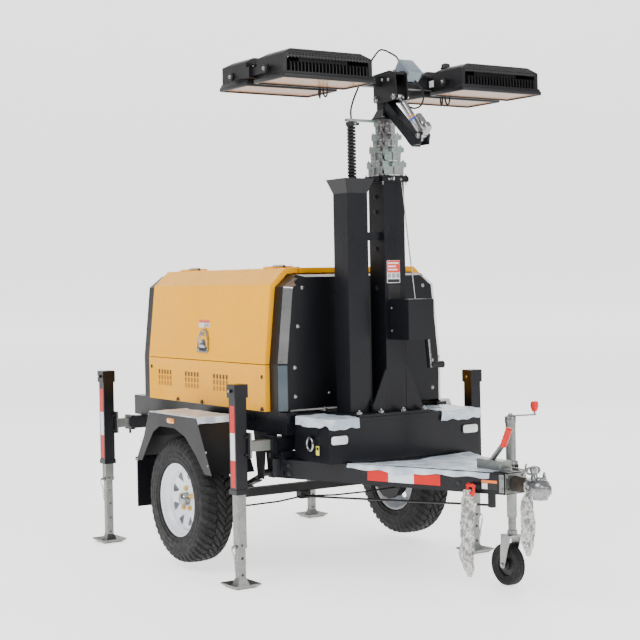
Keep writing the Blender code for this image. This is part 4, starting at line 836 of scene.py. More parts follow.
SILVER = Zinc("drawn_silver", (0.38, 0.385, 0.39), (0.24, 0.245, 0.25), (0.36, 0.365, 0.37),
              (0.30, 0.305, 0.31), spangle=300.0, roughness=0.24, edge=0.0006)
STRIP = Zinc("strip_foil", (0.66, 0.66, 0.63), (0.20, 0.20, 0.21), (0.60, 0.59, 0.54), (0.42, 0.43, 0.45),
             spangle=12.0, roughness=0.16, metal=0.9, edge=0.0004)
STEEL = Zinc("bright_steel", (0.42, 0.42, 0.41), (0.24, 0.24, 0.235), spangle=300.0, roughness=0.24, edge=0.0004)
GOLD = Zinc("yellow_passivated", (0.80, 0.52, 0.12), (0.62, 0.36, 0.06), (0.84, 0.60, 0.20), (0.70, 0.50, 0.24),
            spangle=200.0, roughness=0.28, edge=0.0004)
TYRE = Rubber("tyre_rubber")
CORD_RUBBER = Rubber("cord_rubber", (0.010, 0.010, 0.011), (0.020, 0.020, 0.021), 0.45, 1500.0)
FLAP_RUBBER = Rubber("soft_rubber", (0.016, 0.016, 0.016), (0.035, 0.035, 0.034), 0.7, 600.0)
GAITER_RUBBER = Rubber("gaiter_rubber", (0.012, 0.011, 0.010), (0.050, 0.030, 0.018), 0.5, 600.0)
BLACK_PLASTIC = Moulded("moulded_black", (0.018, 0.018, 0.019), (0.012, 0.012, 0.013))
RED_PLASTIC = Moulded("red_plastic", (0.66, 0.012, 0.006), (0.54, 0.008, 0.004), 0.34)
BLUE_PLASTIC = Moulded("blue_plastic", (0.05, 0.12, 0.42), (0.04, 0.09, 0.34), 0.4)
WHITE_PLASTIC = Moulded("white_plastic", (0.80, 0.80, 0.79), (0.72, 0.72, 0.71), 0.35)
YELLOW_LABEL = Moulded("yellow_label", (0.80, 0.74, 0.06), (0.72, 0.66, 0.05), 0.4)
WHITE_LABEL = Moulded("white_label", (0.78, 0.79, 0.80), (0.70, 0.72, 0.74), 0.4)
GREY_LABEL = Moulded("grey_label", (0.32, 0.33, 0.36), (0.26, 0.27, 0.30), 0.4)
RED_LABEL = Moulded("red_label", (0.72, 0.060, 0.035), (0.64, 0.050, 0.030), 0.4)
ORANGE_LABEL = Moulded("orange_label", (0.86, 0.20, 0.03), (0.78, 0.17, 0.025), 0.4)
# painted shade behind the panel slots: dim copies of the orange, deepest for the top row and paler below
SLOT_SHADE_DEEP = Moulded("slot_dark", (0.075, 0.028, 0.004), (0.050, 0.018, 0.003), 0.5)
SLOT_SHADE_MID = Moulded("slot_brown", (0.34, 0.140, 0.012), (0.28, 0.110, 0.010), 0.5)
SLOT_SHADE_PALE = Moulded("slot_tan", (0.46, 0.200, 0.016), (0.36, 0.150, 0.012), 0.5)
AMBER_LENS = Lens("amber_lens", (1.0, 0.36, 0.015), (0.75, 0.16, 0.004))
WHITE_LENS = Lens("white_lens", (0.86, 0.87, 0.88), (0.62, 0.64, 0.66))
RED_LENS = Lens("red_lens", (0.70, 0.012, 0.010), (0.40, 0.005, 0.004))
RED_TAPE = Lens("red_tape", (0.66, 0.006, 0.003), (0.52, 0.004, 0.002), 180.0, 0.34, 0.0)
WHITE_TAPE = Lens("white_tape", (0.80, 0.83, 0.88), (0.64, 0.69, 0.76), 180.0, 0.28, 0.05)
# films: the first colour is the painted highlight along the creases, the second the darker tone between them
MILKY_FILM = Film("milky_film", (0.66, 0.73, 0.80), (0.42, 0.50, 0.59), 0.93, 7.0, 0.0030, 0.30)
CLEAR_WRAP = Film("wrap_film", (0.74, 0.73, 0.70), (0.27, 0.265, 0.25), 0.78, 30.0, 0.0100, 0.12)
LAMP_FACE = Glowing("lamp_face")


# Pieces

@dataclass
class Piece:
    """One visible piece: its surface, its finishes and its body, or an empty name where it rides on no body."""

    name: str
    surface: Surface
    finishes: Sequence[Finish]
    body: str = "root"
    slot: str | None = None
    bevel: float = 0.0
    angle: float = 35.0
    open_sheet: bool = False
    stands_for: Sequence[str] = ()

    def built(self) -> bpy.types.Object:
        """Puts the piece into the scene, at the origin and unturned.

        Returns:
            The object, riding on its body.
        """
        mesh = bpy.data.meshes.new(self.name)
        rows = [row for block in self.surface.faces for row in block.tolist()]
        mesh.from_pydata(self.surface.points.tolist(), [], rows)
        counts = [len(block) for block in self.surface.faces]
        mesh.polygons.foreach_set("material_index", np.repeat(self.surface.finishes, counts).astype(np.int32))
        cleaned = bmesh.new()
        cleaned.from_mesh(mesh)
        bmesh.ops.remove_doubles(cleaned, verts=cleaned.verts, dist=MERGE)
        if not self.open_sheet:
            bmesh.ops.recalc_face_normals(cleaned, faces=cleaned.faces)
        cleaned.to_mesh(mesh)
        cleaned.free()
        mesh.polygons.foreach_set("use_smooth", np.ones(len(mesh.polygons), bool))
        mesh.set_sharp_from_angle(angle=math.radians(self.angle))
        for finish in self.finishes:
            mesh.materials.append(finish.material())
        made = bpy.data.objects.new(self.name, mesh)
        bpy.context.scene.collection.objects.link(made)
        if self.bevel:
            edge = made.modifiers.new("edges", "BEVEL")
            edge.width, edge.segments, edge.limit_method = self.bevel, 2, "ANGLE"
            edge.angle_limit = math.radians(40)
        if self.body:
            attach(made, self.body)
        if self.stands_for:
            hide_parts(*self.stands_for)
        LOG.info("%s: %d faces on %s", self.name, len(mesh.polygons), self.body)
        return made


class SubAssembly:
    """A group of pieces that belong together."""

    def pieces(self) -> Iterator[Piece]:
        """The new pieces of the group."""
        yield from ()

    def dress(self) -> None:
        """Gives the group's kept nodes their finishes; there are none unless a kind says so."""

    def build(self) -> list[bpy.types.Object]:
        """Builds every piece and dresses the kept nodes.

        Returns:
            The new objects.
        """
        made = [piece.built() for piece in self.pieces()]
        self.dress()
        return made


def dress(nodes: Sequence[str], finish: Finish) -> None:
    """Gives nodes of the frame a finish.

    Args:
        nodes: the nodes' names.
        finish: what they all get.
    """
    for name in nodes:
        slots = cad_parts[name].data.materials
        slots.clear()
        slots.append(finish.material())


# Wheels

@dataclass
class Wheels(SubAssembly):
    """Both road wheels: tyres with a cut tread, and pressed eight-spoke rims with their nuts and hub caps."""

    pitches: int = 46               # tread blocks round a row
    groove: float = 0.0085
    around: int = 920
    holes: int = 8
    studs: int = 5
    stud_circle: float = 0.056
    hub_radius: float = 0.034
    rim_radius: float = 0.1885

    def tread_height(self, angle: Array, across: Array) -> Array:
        """How deep the tread is cut, from 0 on a block to 1 in a groove.

        Two zigzag grooves run round the tyre where the distance across from the centre is 0.0265 plus a
        triangle wave of the angle. Slanted cross grooves lie where the angle's fraction of a pitch, shifted
        by the distance across, is near a whole number; the outer rows are half a pitch on.

        Args:
            angle: the angle round the wheel.
            across: the distance from the tyre's middle plane, with its sign.

        Returns:
            The depth share at every point.
        """
        phase = angle / TURN * self.pitches
        zigzag = np.abs((phase + np.sign(across) * 0.25) % 1 - 0.5) * 4 - 1
        round_edge = np.abs(np.abs(across) - (0.0265 + 0.0045 * zigzag))
        round_groove = np.clip(1 - (round_edge - 0.0018) / 0.0014, 0, 1)
        inner = np.abs(across) < 0.0265 + 0.0045 * zigzag
        slant = np.where(inner, across * 26, -np.abs(across) * 14 + 0.5 + np.sign(across) * 0.16)
        gap = np.abs((phase + slant + 0.5) % 1 - 0.5)
        width = np.where(inner, 0.10, np.where(np.abs(across) > 0.060, 0.19, 0.13))
        cross_groove = np.clip(1 - (gap - width) / 0.055, 0, 1)
        sipe = np.clip(1 - np.abs(gap - 0.34) / 0.03, 0, 1) * 0.35 * (np.abs(across) < 0.075)
        return np.maximum(np.maximum(round_groove, cross_groove), sipe)

    def tyre(self, sign: int) -> Surface:
        """A tyre as a function of the angle and the way round its section.

        The section's radius and width follow rounded shoulders and bulging walls; the tread's depth
        times the groove comes off along the section's own outward direction.

        Args:
            sign: the side's sign of Y.

        Returns:
            The closed tyre.
        """
        top = 0.3250
        section = np.array([(0.186, 0.076), (0.190, 0.084), (0.197, 0.0885), (0.201, 0.0870), (0.215, 0.0905),
                            (0.2165, 0.0918), (0.2195, 0.0918), (0.221, 0.0910), (0.236, 0.0925),
                            (0.252, 0.0925), (0.2535, 0.0917), (0.2565, 0.0917), (0.258, 0.0920),
                            (0.270, 0.0915), (0.283, 0.0895), (0.2930, 0.0868), (0.3020, 0.0825),
                            (0.3090, 0.0770), (0.3140, 0.0710), (0.3175, 0.0650)])
        flat = np.linspace(0.060, -0.060, 61)
        crown = np.stack([top - 0.0055 * (flat / 0.060) ** 2, flat], axis=1)
        rows = np.vstack([section, crown, section[::-1] * (1, -1)])
        radius, across = rows[:, 0], rows[:, 1]
        tangent = unit(np.gradient(rows, axis=0))
        outward = np.stack([-tangent[:, 1], tangent[:, 0]], axis=1)
        outward *= np.where(radius[:, None] > 0.30, np.sign(outward[:, :1]), 1)
        angle = np.arange(self.around) * TURN / self.around
        share = np.clip((radius - 0.284) / 0.016, 0, 1)
        cut = self.tread_height(angle[:, None], across[None]) * share * self.groove
        r = radius - cut * np.abs(outward[:, 0])
        y = across - cut * np.abs(outward[:, 1]) * np.sign(across)
        points = np.stack([r * np.cos(angle)[:, None], y * np.ones_like(r), r * np.sin(angle)[:, None]], axis=-1)
        inner = np.array([(0.186, -0.030), (0.186, 0.030)])
        ring = np.stack([inner[:, 0] * np.cos(angle)[:, None], inner[:, 1] * np.ones((self.around, 1)),
                         inner[:, 0] * np.sin(angle)[:, None]], axis=-1)
        whole = np.concatenate([points, ring], axis=1)
        return grid(whole, wrap_rows=True, wrap_columns=True).moved((AXLE_X, sign * WHEEL_Y, WHEEL_Z))

    def disc(self, sign: int) -> Surface:
        """The pressed disc with its hand holes.

        Between two hole middles the angle runs from hole to spoke: the hole's half angle is
        (0.10 + 0.13 s) (1 - |2 s - 1|^3), with s the share of the way from its inner to its outer end.
        Cells inside a hole are left out. The level out of the wheel follows a smooth curve of radius.

        Args:
            sign: the side's sign of Y.

        Returns:
            The disc as an open sheet, which its piece thickens.
        """
        radii = np.concatenate([np.linspace(0.0, 0.086, 10), np.linspace(0.092, 0.146, 19),
                                np.linspace(0.149, 0.163, 5)])
        share = np.clip((radii - 0.092) / (0.146 - 0.092), 0, 1)
        half = np.where((share > 0) & (share < 1), 1 - np.abs(2 * share - 1) ** 3, 0)
        half = half * (0.10 + 0.13 * share)
        hole_steps, spoke_steps = 8, 8
        sector = TURN / self.holes
        inside = np.linspace(-1, 1, hole_steps + 1)[:-1]
        across = np.linspace(0, 1, spoke_steps + 1)[:-1]
        hole_angle = half[:, None] * inside
        spoke_angle = half[:, None] + across * (sector - 2 * half[:, None])
        one = np.concatenate([hole_angle, spoke_angle], axis=1)
        starts = (np.arange(self.holes) + 0.5) * sector
        angle = (one[:, None, :] + starts[None, :, None]).reshape(len(radii), -1)
        level = np.interp(radii, (0.0, 0.074, 0.090, 0.108, 0.128, 0.150, 0.163),
                          (0.020, 0.020, 0.023, 0.031, 0.035, 0.031, 0.020))
        spoke = np.cos(self.holes * (angle - starts[0]))
        swell = 0.0035 * np.clip((radii - 0.080) / 0.03, 0, 1) * np.clip((0.158 - radii) / 0.02, 0, 1)
        y = level[:, None] - swell[:, None] * spoke
        points = np.stack([radii[:, None] * np.cos(angle), sign * y, radii[:, None] * np.sin(angle)], axis=-1)
        surface = grid(points, wrap_columns=True)
        cells = surface.faces[0].reshape(len(radii) - 1, -1, 4)
        columns = np.arange(cells.shape[1]) % (hole_steps + spoke_steps) < hole_steps
        rows = (half[:-1] > 0) | (half[1:] > 0)
        keep = ~(rows[:, None] & columns[None])
        surface.faces = [cells[keep]]
        return surface.moved((AXLE_X, sign * WHEEL_Y, WHEEL_Z))

    def barrel(self, sign: int) -> Surface:
        """The rim's barrel with its flanges and drop centre, spun from one closed section.

        Args:
            sign: the side's sign of Y.

        Returns:
            The closed barrel.
        """
        edge, half = self.rim_radius, 0.0805
        outside = [(edge - 0.004, half - 0.0035), (edge, half - 0.002), (edge, half), (edge - 0.004, half),
                   (edge - 0.0075, half - 0.004), (edge - 0.010, half - 0.012), (edge - 0.013, half - 0.022),
                   (edge - 0.022, half - 0.034), (edge - 0.030, half - 0.042), (edge - 0.031, 0.0),
                   (edge - 0.031, -0.030), (edge - 0.022, -0.045), (edge - 0.012, -half + 0.012),
                   (edge - 0.006, -half + 0.002), (edge, -half), (edge - 0.003, -half + 0.006),
                   (edge - 0.008, -half + 0.014), (edge - 0.018, -0.043), (edge - 0.026, -0.028),
                   (edge - 0.026, 0.030), (edge - 0.018, 0.048), (edge - 0.008, half - 0.012)]
        path = np.array(outside)
        u, v, w = np.eye(3)[[0, 2, 1]]
        angle = np.arange(96) * TURN / 96
        ring = np.cos(angle)[:, None] * u + np.sin(angle)[:, None] * v
        points = path[:, None, :1] * ring[None] + sign * path[:, None, 1:] * w
        return grid(points, wrap_rows=True, wrap_columns=True).moved((AXLE_X, sign * WHEEL_Y, WHEEL_Z))

    def hub(self, sign: int) -> Surface:
        """The hub cap and the wheel's nuts on their studs, each nut a small copy on the stud circle.

        Args:
            sign: the side's sign of Y.

        Returns:
            The cap, studs and nuts.
        """
        cap = turned([(0, 0.016), (self.hub_radius + 0.003, 0.016), (self.hub_radius + 0.003, 0.019),
                      (self.hub_radius - 0.001, 0.022), (self.hub_radius - 0.001, 0.050),
                      (self.hub_radius - 0.004, 0.057), (self.hub_radius - 0.010, 0.0615), (0, 0.0635)],
                     (0, 0, 0), (0, sign, 0), 48)
        nut = joined([turned([(0, 0), (0.0135, 0), (0.0135, 0.002), (0.0125, 0.003), (0.0125, 0.014),
                              (0.0095, 0.018), (0.0055, 0.018), (0, 0.018)], (0, 0, 0), (0, sign, 0), 6),
                      turned([(0, 0.016), (0.0048, 0.016), (0.0048, 0.0215), (0.003, 0.0235), (0, 0.0235)],
                             (0, 0, 0), (0, sign, 0), 12)]).painted(1)
        angle = np.arange(self.studs) * TURN / self.studs + 0.35
        at = np.stack([np.cos(angle), 0 * angle, np.sin(angle)], axis=1) * self.stud_circle
        nuts = nut.repeated(at + np.array([0, sign * 0.0205, 0]))
        return joined([cap, nuts]).moved((AXLE_X, sign * WHEEL_Y, WHEEL_Z))

    def valve(self, sign: int) -> Surface:
        """The valve stem, bent out through the disc, with its cap.

        Args:
            sign: the side's sign of Y.

        Returns:
            The stem and its cap.
        """
        at = np.array([AXLE_X + 0.151, sign * (WHEEL_Y + 0.020), WHEEL_Z + 0.060])
        out = np.array([-0.35, sign * 1.0, -0.15])
        return joined([pin(at, at + out * 0.030, 0.0045, 10), pin(at + out * 0.026, at + out * 0.042, 0.0055, 8)])

    def pieces(self) -> Iterator[Piece]:
        """Tyre, disc, barrel, nuts and valve of both wheels.

        Returns:
            Each piece in turn.
        """
        for side in Side:
            sign, body = side.value, f"wheel_{side.word}"
            yield Piece(f"tyre_tread_{side.word}", self.tyre(sign), [TYRE], body, "rubber_tyre", angle=50,
                        stands_for=[f"tyre_{side.word}"])
            yield Piece(f"rim_disc_{side.word}", self.disc(sign), [WHITE], body, "white_rim", angle=60,
                        open_sheet=True)
            yield Piece(f"rim_barrel_{side.word}", self.barrel(sign), [WHITE], body, "white_rim", angle=50,
                        stands_for=[f"rim_{side.word}"])
            yield Piece(f"wheel_nuts_{side.word}", self.hub(sign), [SILVER, GOLD], body)
            yield Piece(f"valve_{side.word}", self.valve(sign), [BLACK_PLASTIC], body)

    def build(self) -> list[bpy.types.Object]:
        """Builds the wheels and gives the discs their thickness.

        Returns:
            The new objects.
        """
        made = super().build()
        for disc in (o for o in made if o.name.startswith("rim_disc")):
            wall = disc.modifiers.new("wall", "SOLIDIFY")
            wall.thickness, wall.offset = 0.004, 0.0
        return made

    def dress(self) -> None:
        """Dresses the axle and the brake linkage."""
        dress(["axle", "brake_linkage"], DARK_METAL)


# Floodlights

@dataclass
class Floodlights(SubAssembly):
    """Four floodlights, long across the machine: glazed frame, upright fins, punched hood and lit glass."""

    base: float = 0.032             # height of the glazed frame
    rail: float = 0.012             # width of the frame's rim round the glass
    boss: float = 0.0027            # how far the pivot bosses stand out of the frame
    boss_x: float = 0.155           # from the crossbar's middle to a pivot
    fins: int = 23
    fin_thick: float = 0.0050
    eave: float = 0.095             # the hood's lower edge over the frame's underside
    knee: float = 0.112             # where the hood's sides start to lean in
    wall: float = 0.0015

    def housing(self, low: Array, high: Array) -> Surface:
        """One housing below its hood: frame, core, upright fins, end walls and bosses.

        Args:
            low: the lowest corner of the housing's box.
            high: the highest corner.

        Returns:
            The closed pieces.
        """
        (x0, y0, z0), (x1, y1, _) = low, high
        parts = [self.frame(low, high)]
        parts.append(box((x0 + 0.034, y0 + 0.012, z0 + self.base - 0.002), (x1 - 0.034, y1 - 0.012, z0 + 0.064)))
        outline = [(x0 + 0.008, z0 + self.base - 0.002), (x1 - 0.008, z0 + self.base - 0.002),
                   (x1 - 0.008, z0 + 0.068), (x1 - 0.011, z0 + 0.074), (x1 - 0.026, z0 + 0.080),
                   (x0 + 0.026, z0 + 0.080), (x0 + 0.011, z0 + 0.074), (x0 + 0.008, z0 + 0.068)]
        fin = slab(outline, 1, -self.fin_thick / 2, self.fin_thick / 2)
        at = np.linspace(y0 + 0.046, y1 - 0.046, self.fins)
        parts.append(fin.repeated(np.stack([0 * at, at, 0 * at], axis=1)))
        parts.append(box((x0 + 0.060, y0 + 0.120, z0 + 0.060), (x1 - 0.060, y1 - 0.120, z0 + 0.118)))
        middle = MAST_X + math.copysign(self.boss_x, (x0 + x1) / 2 - MAST_X)
        for y, out in ((y0, -1), (y1, 1)):
            near, far = sorted((y - out * 0.0080, y - out * 0.0300))
            parts.append(box((x0 + 0.019, near, z0 + self.base - 0.002), (x1 - 0.019, far, z0 + self.knee)))
            parts.append(pin((middle, y - out * 0.012, z0 + 0.055), (middle, y + out * self.boss, z0 + 0.055),
                             0.0135, 24))
        return joined(parts)

    def frame(self, low: Array, high: Array) -> Surface:
        """The glazed frame: a rounded rim carried round a rectangle, with a stepped outside.

        Args:
            low: the lowest corner of the housing's box.
            high: the highest corner.

        Returns:
            The closed rim.
        """
        (x0, y0, z0), (x1, y1, _) = low, high
        centre = np.array([(x0 + x1) / 2, (y0 + y1) / 2])
        size = np.array([x1 - x0, y1 - y0])
        rings = []
        for inset, level in ((0.004, 0.0), (0.001, 0.0015), (0.0, 0.004), (0.0, 0.018), (0.004, 0.021),
                             (0.006, 0.032), (self.rail + 0.004, 0.033), (self.rail, 0.004), (self.rail, 0.0)):
            outline = rounded(size[0] - 2 * inset, size[1] - 2 * inset, 0.006) + centre
            rings.append(np.insert(outline, 2, z0 + level, axis=1))
        return grid(np.stack(rings), wrap_rows=True, wrap_columns=True)

    def cover(self, low: Array, high: Array) -> Surface:
        """The punched hood: a bent sheet with rows of slots, its height a function of the way across in X.

        The sheet rises straight from its eaves to the knee, leans in to the flat top, and shortens in Y in
        step with its height. A grid runs over it, and every cell in a slot is left out, so the slots are
        real openings. A plain chamfer closes each end.

        Args:
            low: the lowest corner of the housing's box.
            high: the highest corner.

        Returns:
            The open sheet, which its piece thickens.
        """
        (x0, y0, z0), (x1, y1, z1) = low, high
        top, knee, eave = z1 - self.wall, z0 + self.knee, z0 + self.eave
        knots_x = np.array([x0 + 0.020, x0 + 0.020, x0 + 0.040, x1 - 0.040, x1 - 0.020, x1 - 0.020])
        knots_z = np.array([eave, knee, top, top, knee, eave])
        lengths = np.concatenate([[0], np.cumsum(np.hypot(np.diff(knots_x), np.diff(knots_z)))])
        way = np.unique(np.round(np.concatenate([np.linspace(0, lengths[-1], 65), lengths]), 6))
        x, z = np.interp(way, lengths, knots_x), np.interp(way, lengths, knots_z)
        share = np.linspace(-1, 1, 113)
        half = (y1 - y0) / 2 - 0.008 - np.clip((z - knee) / (top - knee), 0, 1) * 0.052
        y = (y0 + y1) / 2 + half[:, None] * share[None]
        points = np.stack([np.broadcast_to(x[:, None], y.shape), y, np.broadcast_to(z[:, None], y.shape)], axis=-1)
        sheet = grid(points)
        cells = sheet.faces[0].reshape(len(way) - 1, len(share) - 1, 4)
        row, column = np.indices(cells.shape[:2])
        slot = (column % 4 < 2) & (row % 3 == 1) & (column > 5) & (column < cells.shape[1] - 6)
        slot &= (row < 18) | (row > cells.shape[0] - 19)
        sheet.faces = [cells[~slot]]
        inner = (way >= lengths[1] - 1e-5) & (way <= lengths[4] + 1e-5)
        chamfers = []
        for side in (0, -1):
            edge = points[inner, side]
            foot = edge.copy()
            foot[:, 2] = knee
            foot[:, 1] = (y0 + 0.008) if side == 0 else (y1 - 0.008)
            foot[:, 0] = np.clip(edge[:, 0], x0 + 0.020, x1 - 0.020)
            chamfers.append(grid(np.stack([foot, edge])))
        return joined([sheet, *chamfers])

    def glass(self, low: Array, high: Array) -> Surface:
        """The lit board just inside the frame's mouth, as a grid.

        Args:
            low: the lamp's lowest corner.
            high: the lamp's highest corner.

        Returns:
            The board's lit face.
        """
        (x0, y0, z0), (x1, y1, _) = low, high
        inset = self.rail - 0.001
        x, y = np.meshgrid(np.linspace(x0 + inset, x1 - inset, 5), np.linspace(y0 + inset, y1 - inset, 9),
                           indexing="ij")
        return grid(np.stack([x, y, np.full_like(x, z0 + 0.006)], axis=-1))

    def pieces(self) -> Iterator[Piece]:
        """Housing, hood and board of the four floodlights.

        Returns:
            Each piece in turn.
        """
        for number in range(1, 5):
            box_of = Extent.of(f"floodlight_{number}")
            low, high = box_of.low + (0, self.boss, 0), box_of.high - (0, self.boss, 0)
            yield Piece(f"lamp_housing_{number}", self.housing(low, high), [LAMP_BLACK], "head", "lamp_black",
                        bevel=0.0006, angle=30, stands_for=[f"floodlight_{number}"])
            yield Piece(f"lamp_cover_{number}", self.cover(low, high), [HOOD], "head", "lamp_black",
                        angle=30, open_sheet=True)
            yield Piece(f"lamp_board_{number}", self.glass(low, high), [LAMP_FACE], "head", open_sheet=True)

    def build(self) -> list[bpy.types.Object]:
        """Builds the heads and gives the covers their sheet's thickness.

        Returns:
            The new objects.
        """
        made = super().build()
        for cover in (o for o in made if o.name.startswith("lamp_cover")):
            wall = cover.modifiers.new("wall", "SOLIDIFY")
            wall.thickness, wall.offset = self.wall, 0.0
        return made

    def dress(self) -> None:
        """Dresses the crossbar."""
        dress(["crossbar"], LAMP_BLACK)


# Kept nodes

@dataclass
class KeptFrame(SubAssembly):
    """The frame's own nodes whose shape stays, with the finish that each gets."""

    finishes: tuple[tuple[Finish, tuple[str, ...]], ...] = (
        (YELLOW, ("door_left", "door_right", "roof_panel", "side_panel_left", "side_panel_right")),
        (BLACK_CAP, ("end_cap_front", "end_cap_rear", "fender_left", "fender_right", "winch")),
        (BLACK, ("chassis", "drawbar", "front_box", "mast_base", "mast_outer", "cable_duct", "head_post")),
        (ENGINE, ("engine",)),
        (PLATED, ("mast_section_1", "mast_section_2", "mast_section_3", "mast_section_4")),
        (CAST, ("coupling",)),
        (GALVANISED, ("jockey_tube", "jockey_leg", "jockey_fork", "handbrake")),
        (TYRE, ("jockey_wheel",)),
        (SILVER, ("actuator_body", "actuator_rod")),
        (DARK_METAL, ("winch_cable",)),
        (CORD_RUBBER, ("head_cable", "curly_cord")),
        (CLEAR_WRAP, ("safety_chain_left", "safety_chain_right")),
    )

    def dress(self) -> None:
        """Dresses the kept nodes, the outriggers' four sets among them."""
        for finish, nodes in self.finishes:
            dress(nodes, finish)
        for place in Place:
            for side in Side:
                end = f"{place.value}_{side.word}"
                dress([f"jack_tube_{end}"], BLACK)
                dress([f"jack_leg_{end}", f"outrigger_arm_{end}"], GALVANISED)


# Canopy

@dataclass
class Canopy(SubAssembly):
    """What is fixed to the canopy: latches, labels, hinges, trims, strips, posts, baffles painted as the shade
    behind the slots, louvres and lamps.
    """

    side_y: float = 0.5303
    seam_z: float = 1.0645
    lean: float = 0.1064            # how far a door leans in for each metre up
    latch_x: float = -0.581
    hinges_x: tuple[float, float] = (-1.021, -0.121)
    hinge: tuple[float, float, float] = (0.330, 1.5480, 0.009)      # Y, Z and radius
    plugs: tuple[tuple[float, float], ...] = ((-1.180, 1.009), (0.022, 1.002))
    clips_x: tuple[float, ...] = (-0.868, -0.596, 0.022)
    cap_screws: tuple[tuple[float, float], ...] = ((0.372, 1.440), (0.402, 1.250), (0.424, 1.048),
                                                   (0.424, 0.905), (0.224, 0.912))
    slats: int = 11
    post: tuple[float, float] = (-1.300, -1.2155)       # the corner posts' reach in X
    slots_x: tuple[float, ...] = (-1.020, -0.708, -0.396)
    slot_z: float = 0.953

    def on_door(self, sign: int, x: float, z: float) -> tuple[Array, Array]:
        """A point on a door's side and the turn from flat to it.

        Args:
            sign: the side's sign of Y.
            x: the place along the door.
            z: its height.

        Returns:
            The point, and the matrix whose columns are X, up the door and out of it.
        """
        at = np.array([x, sign * (self.side_y - self.lean * (z - self.seam_z)), z])
        up = unit(np.array([0, -sign * self.lean, 1.0]))
        out = np.cross((1.0, 0, 0), up) * -sign
        return at, np.stack([np.array([1.0, 0, 0]), up, out], axis=1)

    def latch(self, sign: int) -> Surface:
        """The chrome paddle latch: rings of one ten-sided outline, its scale and height stepping to a dish.

        Args:
            sign: the side's sign of Y.

        Returns:
            Chrome pan, paddle and lock in the first finish, the dark dish and the groove's strip in the second:
            black that paints the dark reflections and shade of the chrome recess.
        """
        half = np.array([(0.012, 0.062), (0.038, 0.045), (0.053, 0.008), (0.058, -0.040), (0.050, -0.060)])
        outline = np.vstack([half, half[::-1] * (-1, 1)])
        steps = ((1.0, -0.004), (1.03, 0.0072), (1.01, 0.0098), (0.90, 0.0098), (0.84, 0.0040))
        pan = np.stack([np.insert(outline * scale, 2, out, axis=1) for scale, out in steps])
        # the dish's floor is black: painted dark reflection and shade where the pan is chrome
        floor = np.stack([np.insert(outline * scale, 2, 0.0042, axis=1) for scale in (0.86, 0.0)])
        steps = ((0.62, 0.003), (0.62, 0.0105), (0.54, 0.0128), (0.0, 0.0128))
        lift = np.stack([np.insert(outline * scale * (1, 0.62) + (0, -0.014), 2, out, axis=1)
                         for scale, out in steps])
        lock = turned([(0, 0.003), (0.0125, 0.003), (0.0125, 0.0105), (0.0105, 0.0120), (0.0030, 0.0120),
                       (0.0028, 0.0095), (0, 0.0095)], (0, 0.036, 0), (0, 0, 1), 28)
        # the groove is a thin black strip on the paddle: painted shade, not a cut
        groove = box((-0.024, -0.020, 0.0120), (0.024, -0.013, 0.0132)).painted(1)
        whole = joined([grid(pan, wrap_columns=True), grid(floor, wrap_columns=True).painted(1),
                        grid(lift, wrap_columns=True), lock, groove])
        at, turn = self.on_door(sign, self.latch_x, 1.165)
        return whole.placed(turn, at)

    def label(self, sign: int) -> Surface:
        """The blank notice over the latch: white, with a red head and two grey fields.

        Args:
            sign: the side's sign of Y.

        Returns:
            The notice's plates.
        """
        card = box((-0.058, -0.020, 0.0002), (0.058, 0.020, 0.0012))
        head = box((-0.057, 0.005, 0.0010), (0.057, 0.019, 0.0016)).painted(1)
        fields = [box((x, -0.017, 0.0010), (x + 0.022, 0.002, 0.0016)).painted(2) for x in (0.004, 0.030)]
        row = box((-0.052, -0.017, 0.0010), (-0.004, 0.002, 0.0015)).painted(3)
        at, turn = self.on_door(sign, self.latch_x - 0.012, 1.256)
        return joined([card, head, *fields, row]).placed(turn, at)

    def hinge_set(self, sign: int) -> Surface:
        """Both hinges of a door: a knurled barrel in five knuckles, pin ends, a leaf and its screws.

        Args:
            sign: the side's sign of Y.

        Returns:
            Both hinges.
        """
        y, z, radius = self.hinge
        parts = []
        for x in self.hinges_x:
            rows = []
            for knuckle in range(5):
                start = -0.0505 + knuckle * 0.0202
                rows += [(radius + 0.0004, start + 0.0006), (radius + 0.0014, start + 0.0014),
                         (radius + 0.0014, start + 0.0188), (radius + 0.0004, start + 0.0196)]
            parts.append(turned([(0, rows[0][1]), *rows, (0, rows[-1][1])], (x, sign * y, z), (1, 0, 0), 24))
            for end in (-1, 1):
                parts.append(pin((x + end * 0.046, sign * y, z), (x + end * 0.0555, sign * y, z), 0.0060)
                             .painted(1))
            leaf = sorted((sign * (y + 0.010), sign * (y + 0.062)))
            parts.append(box((x - 0.049, leaf[0], z - 0.0012), (x + 0.049, leaf[1], z + 0.0006)))
            screws = np.array([(x + dx, sign * (y + dy), z + 0.0004) for dx in (-0.034, 0, 0.034)
                               for dy in (0.024, 0.048)])
            parts.append(dome_head(0.0095).repeated(screws))
        return joined(parts)

    def trims(self) -> Surface:
        """Rubber plugs and lip clips along both lower panels.

        Returns:
            The plugs and clips.
        """
        plug = turned([(0, -0.002), (0.0105, -0.002), (0.0105, 0.0012), (0.0085, 0.0036), (0.004, 0.0048),
                       (0, 0.0050)], (0, 0, 0), (0, 0, 1), 24)
        parts = []
        for side in Side:
            out = facing((0, side.value, 0))
            y = side.value * self.side_y
            at = np.array([(x, y, z) for x, z in self.plugs])
            parts.append(plug.repeated(at, np.broadcast_to(out, (len(at), 3, 3))))
            for x in self.clips_x:
                faces = sorted((y - side.value * 0.004, y + side.value * 0.007))
                parts.append(box((x - 0.013, faces[0], 0.8335), (x + 0.013, faces[1], 0.8440)))
                parts.append(box((x - 0.006, faces[0], 0.8440), (x + 0.006, faces[1] - 0.002, 0.8520)))
        return joined(parts)

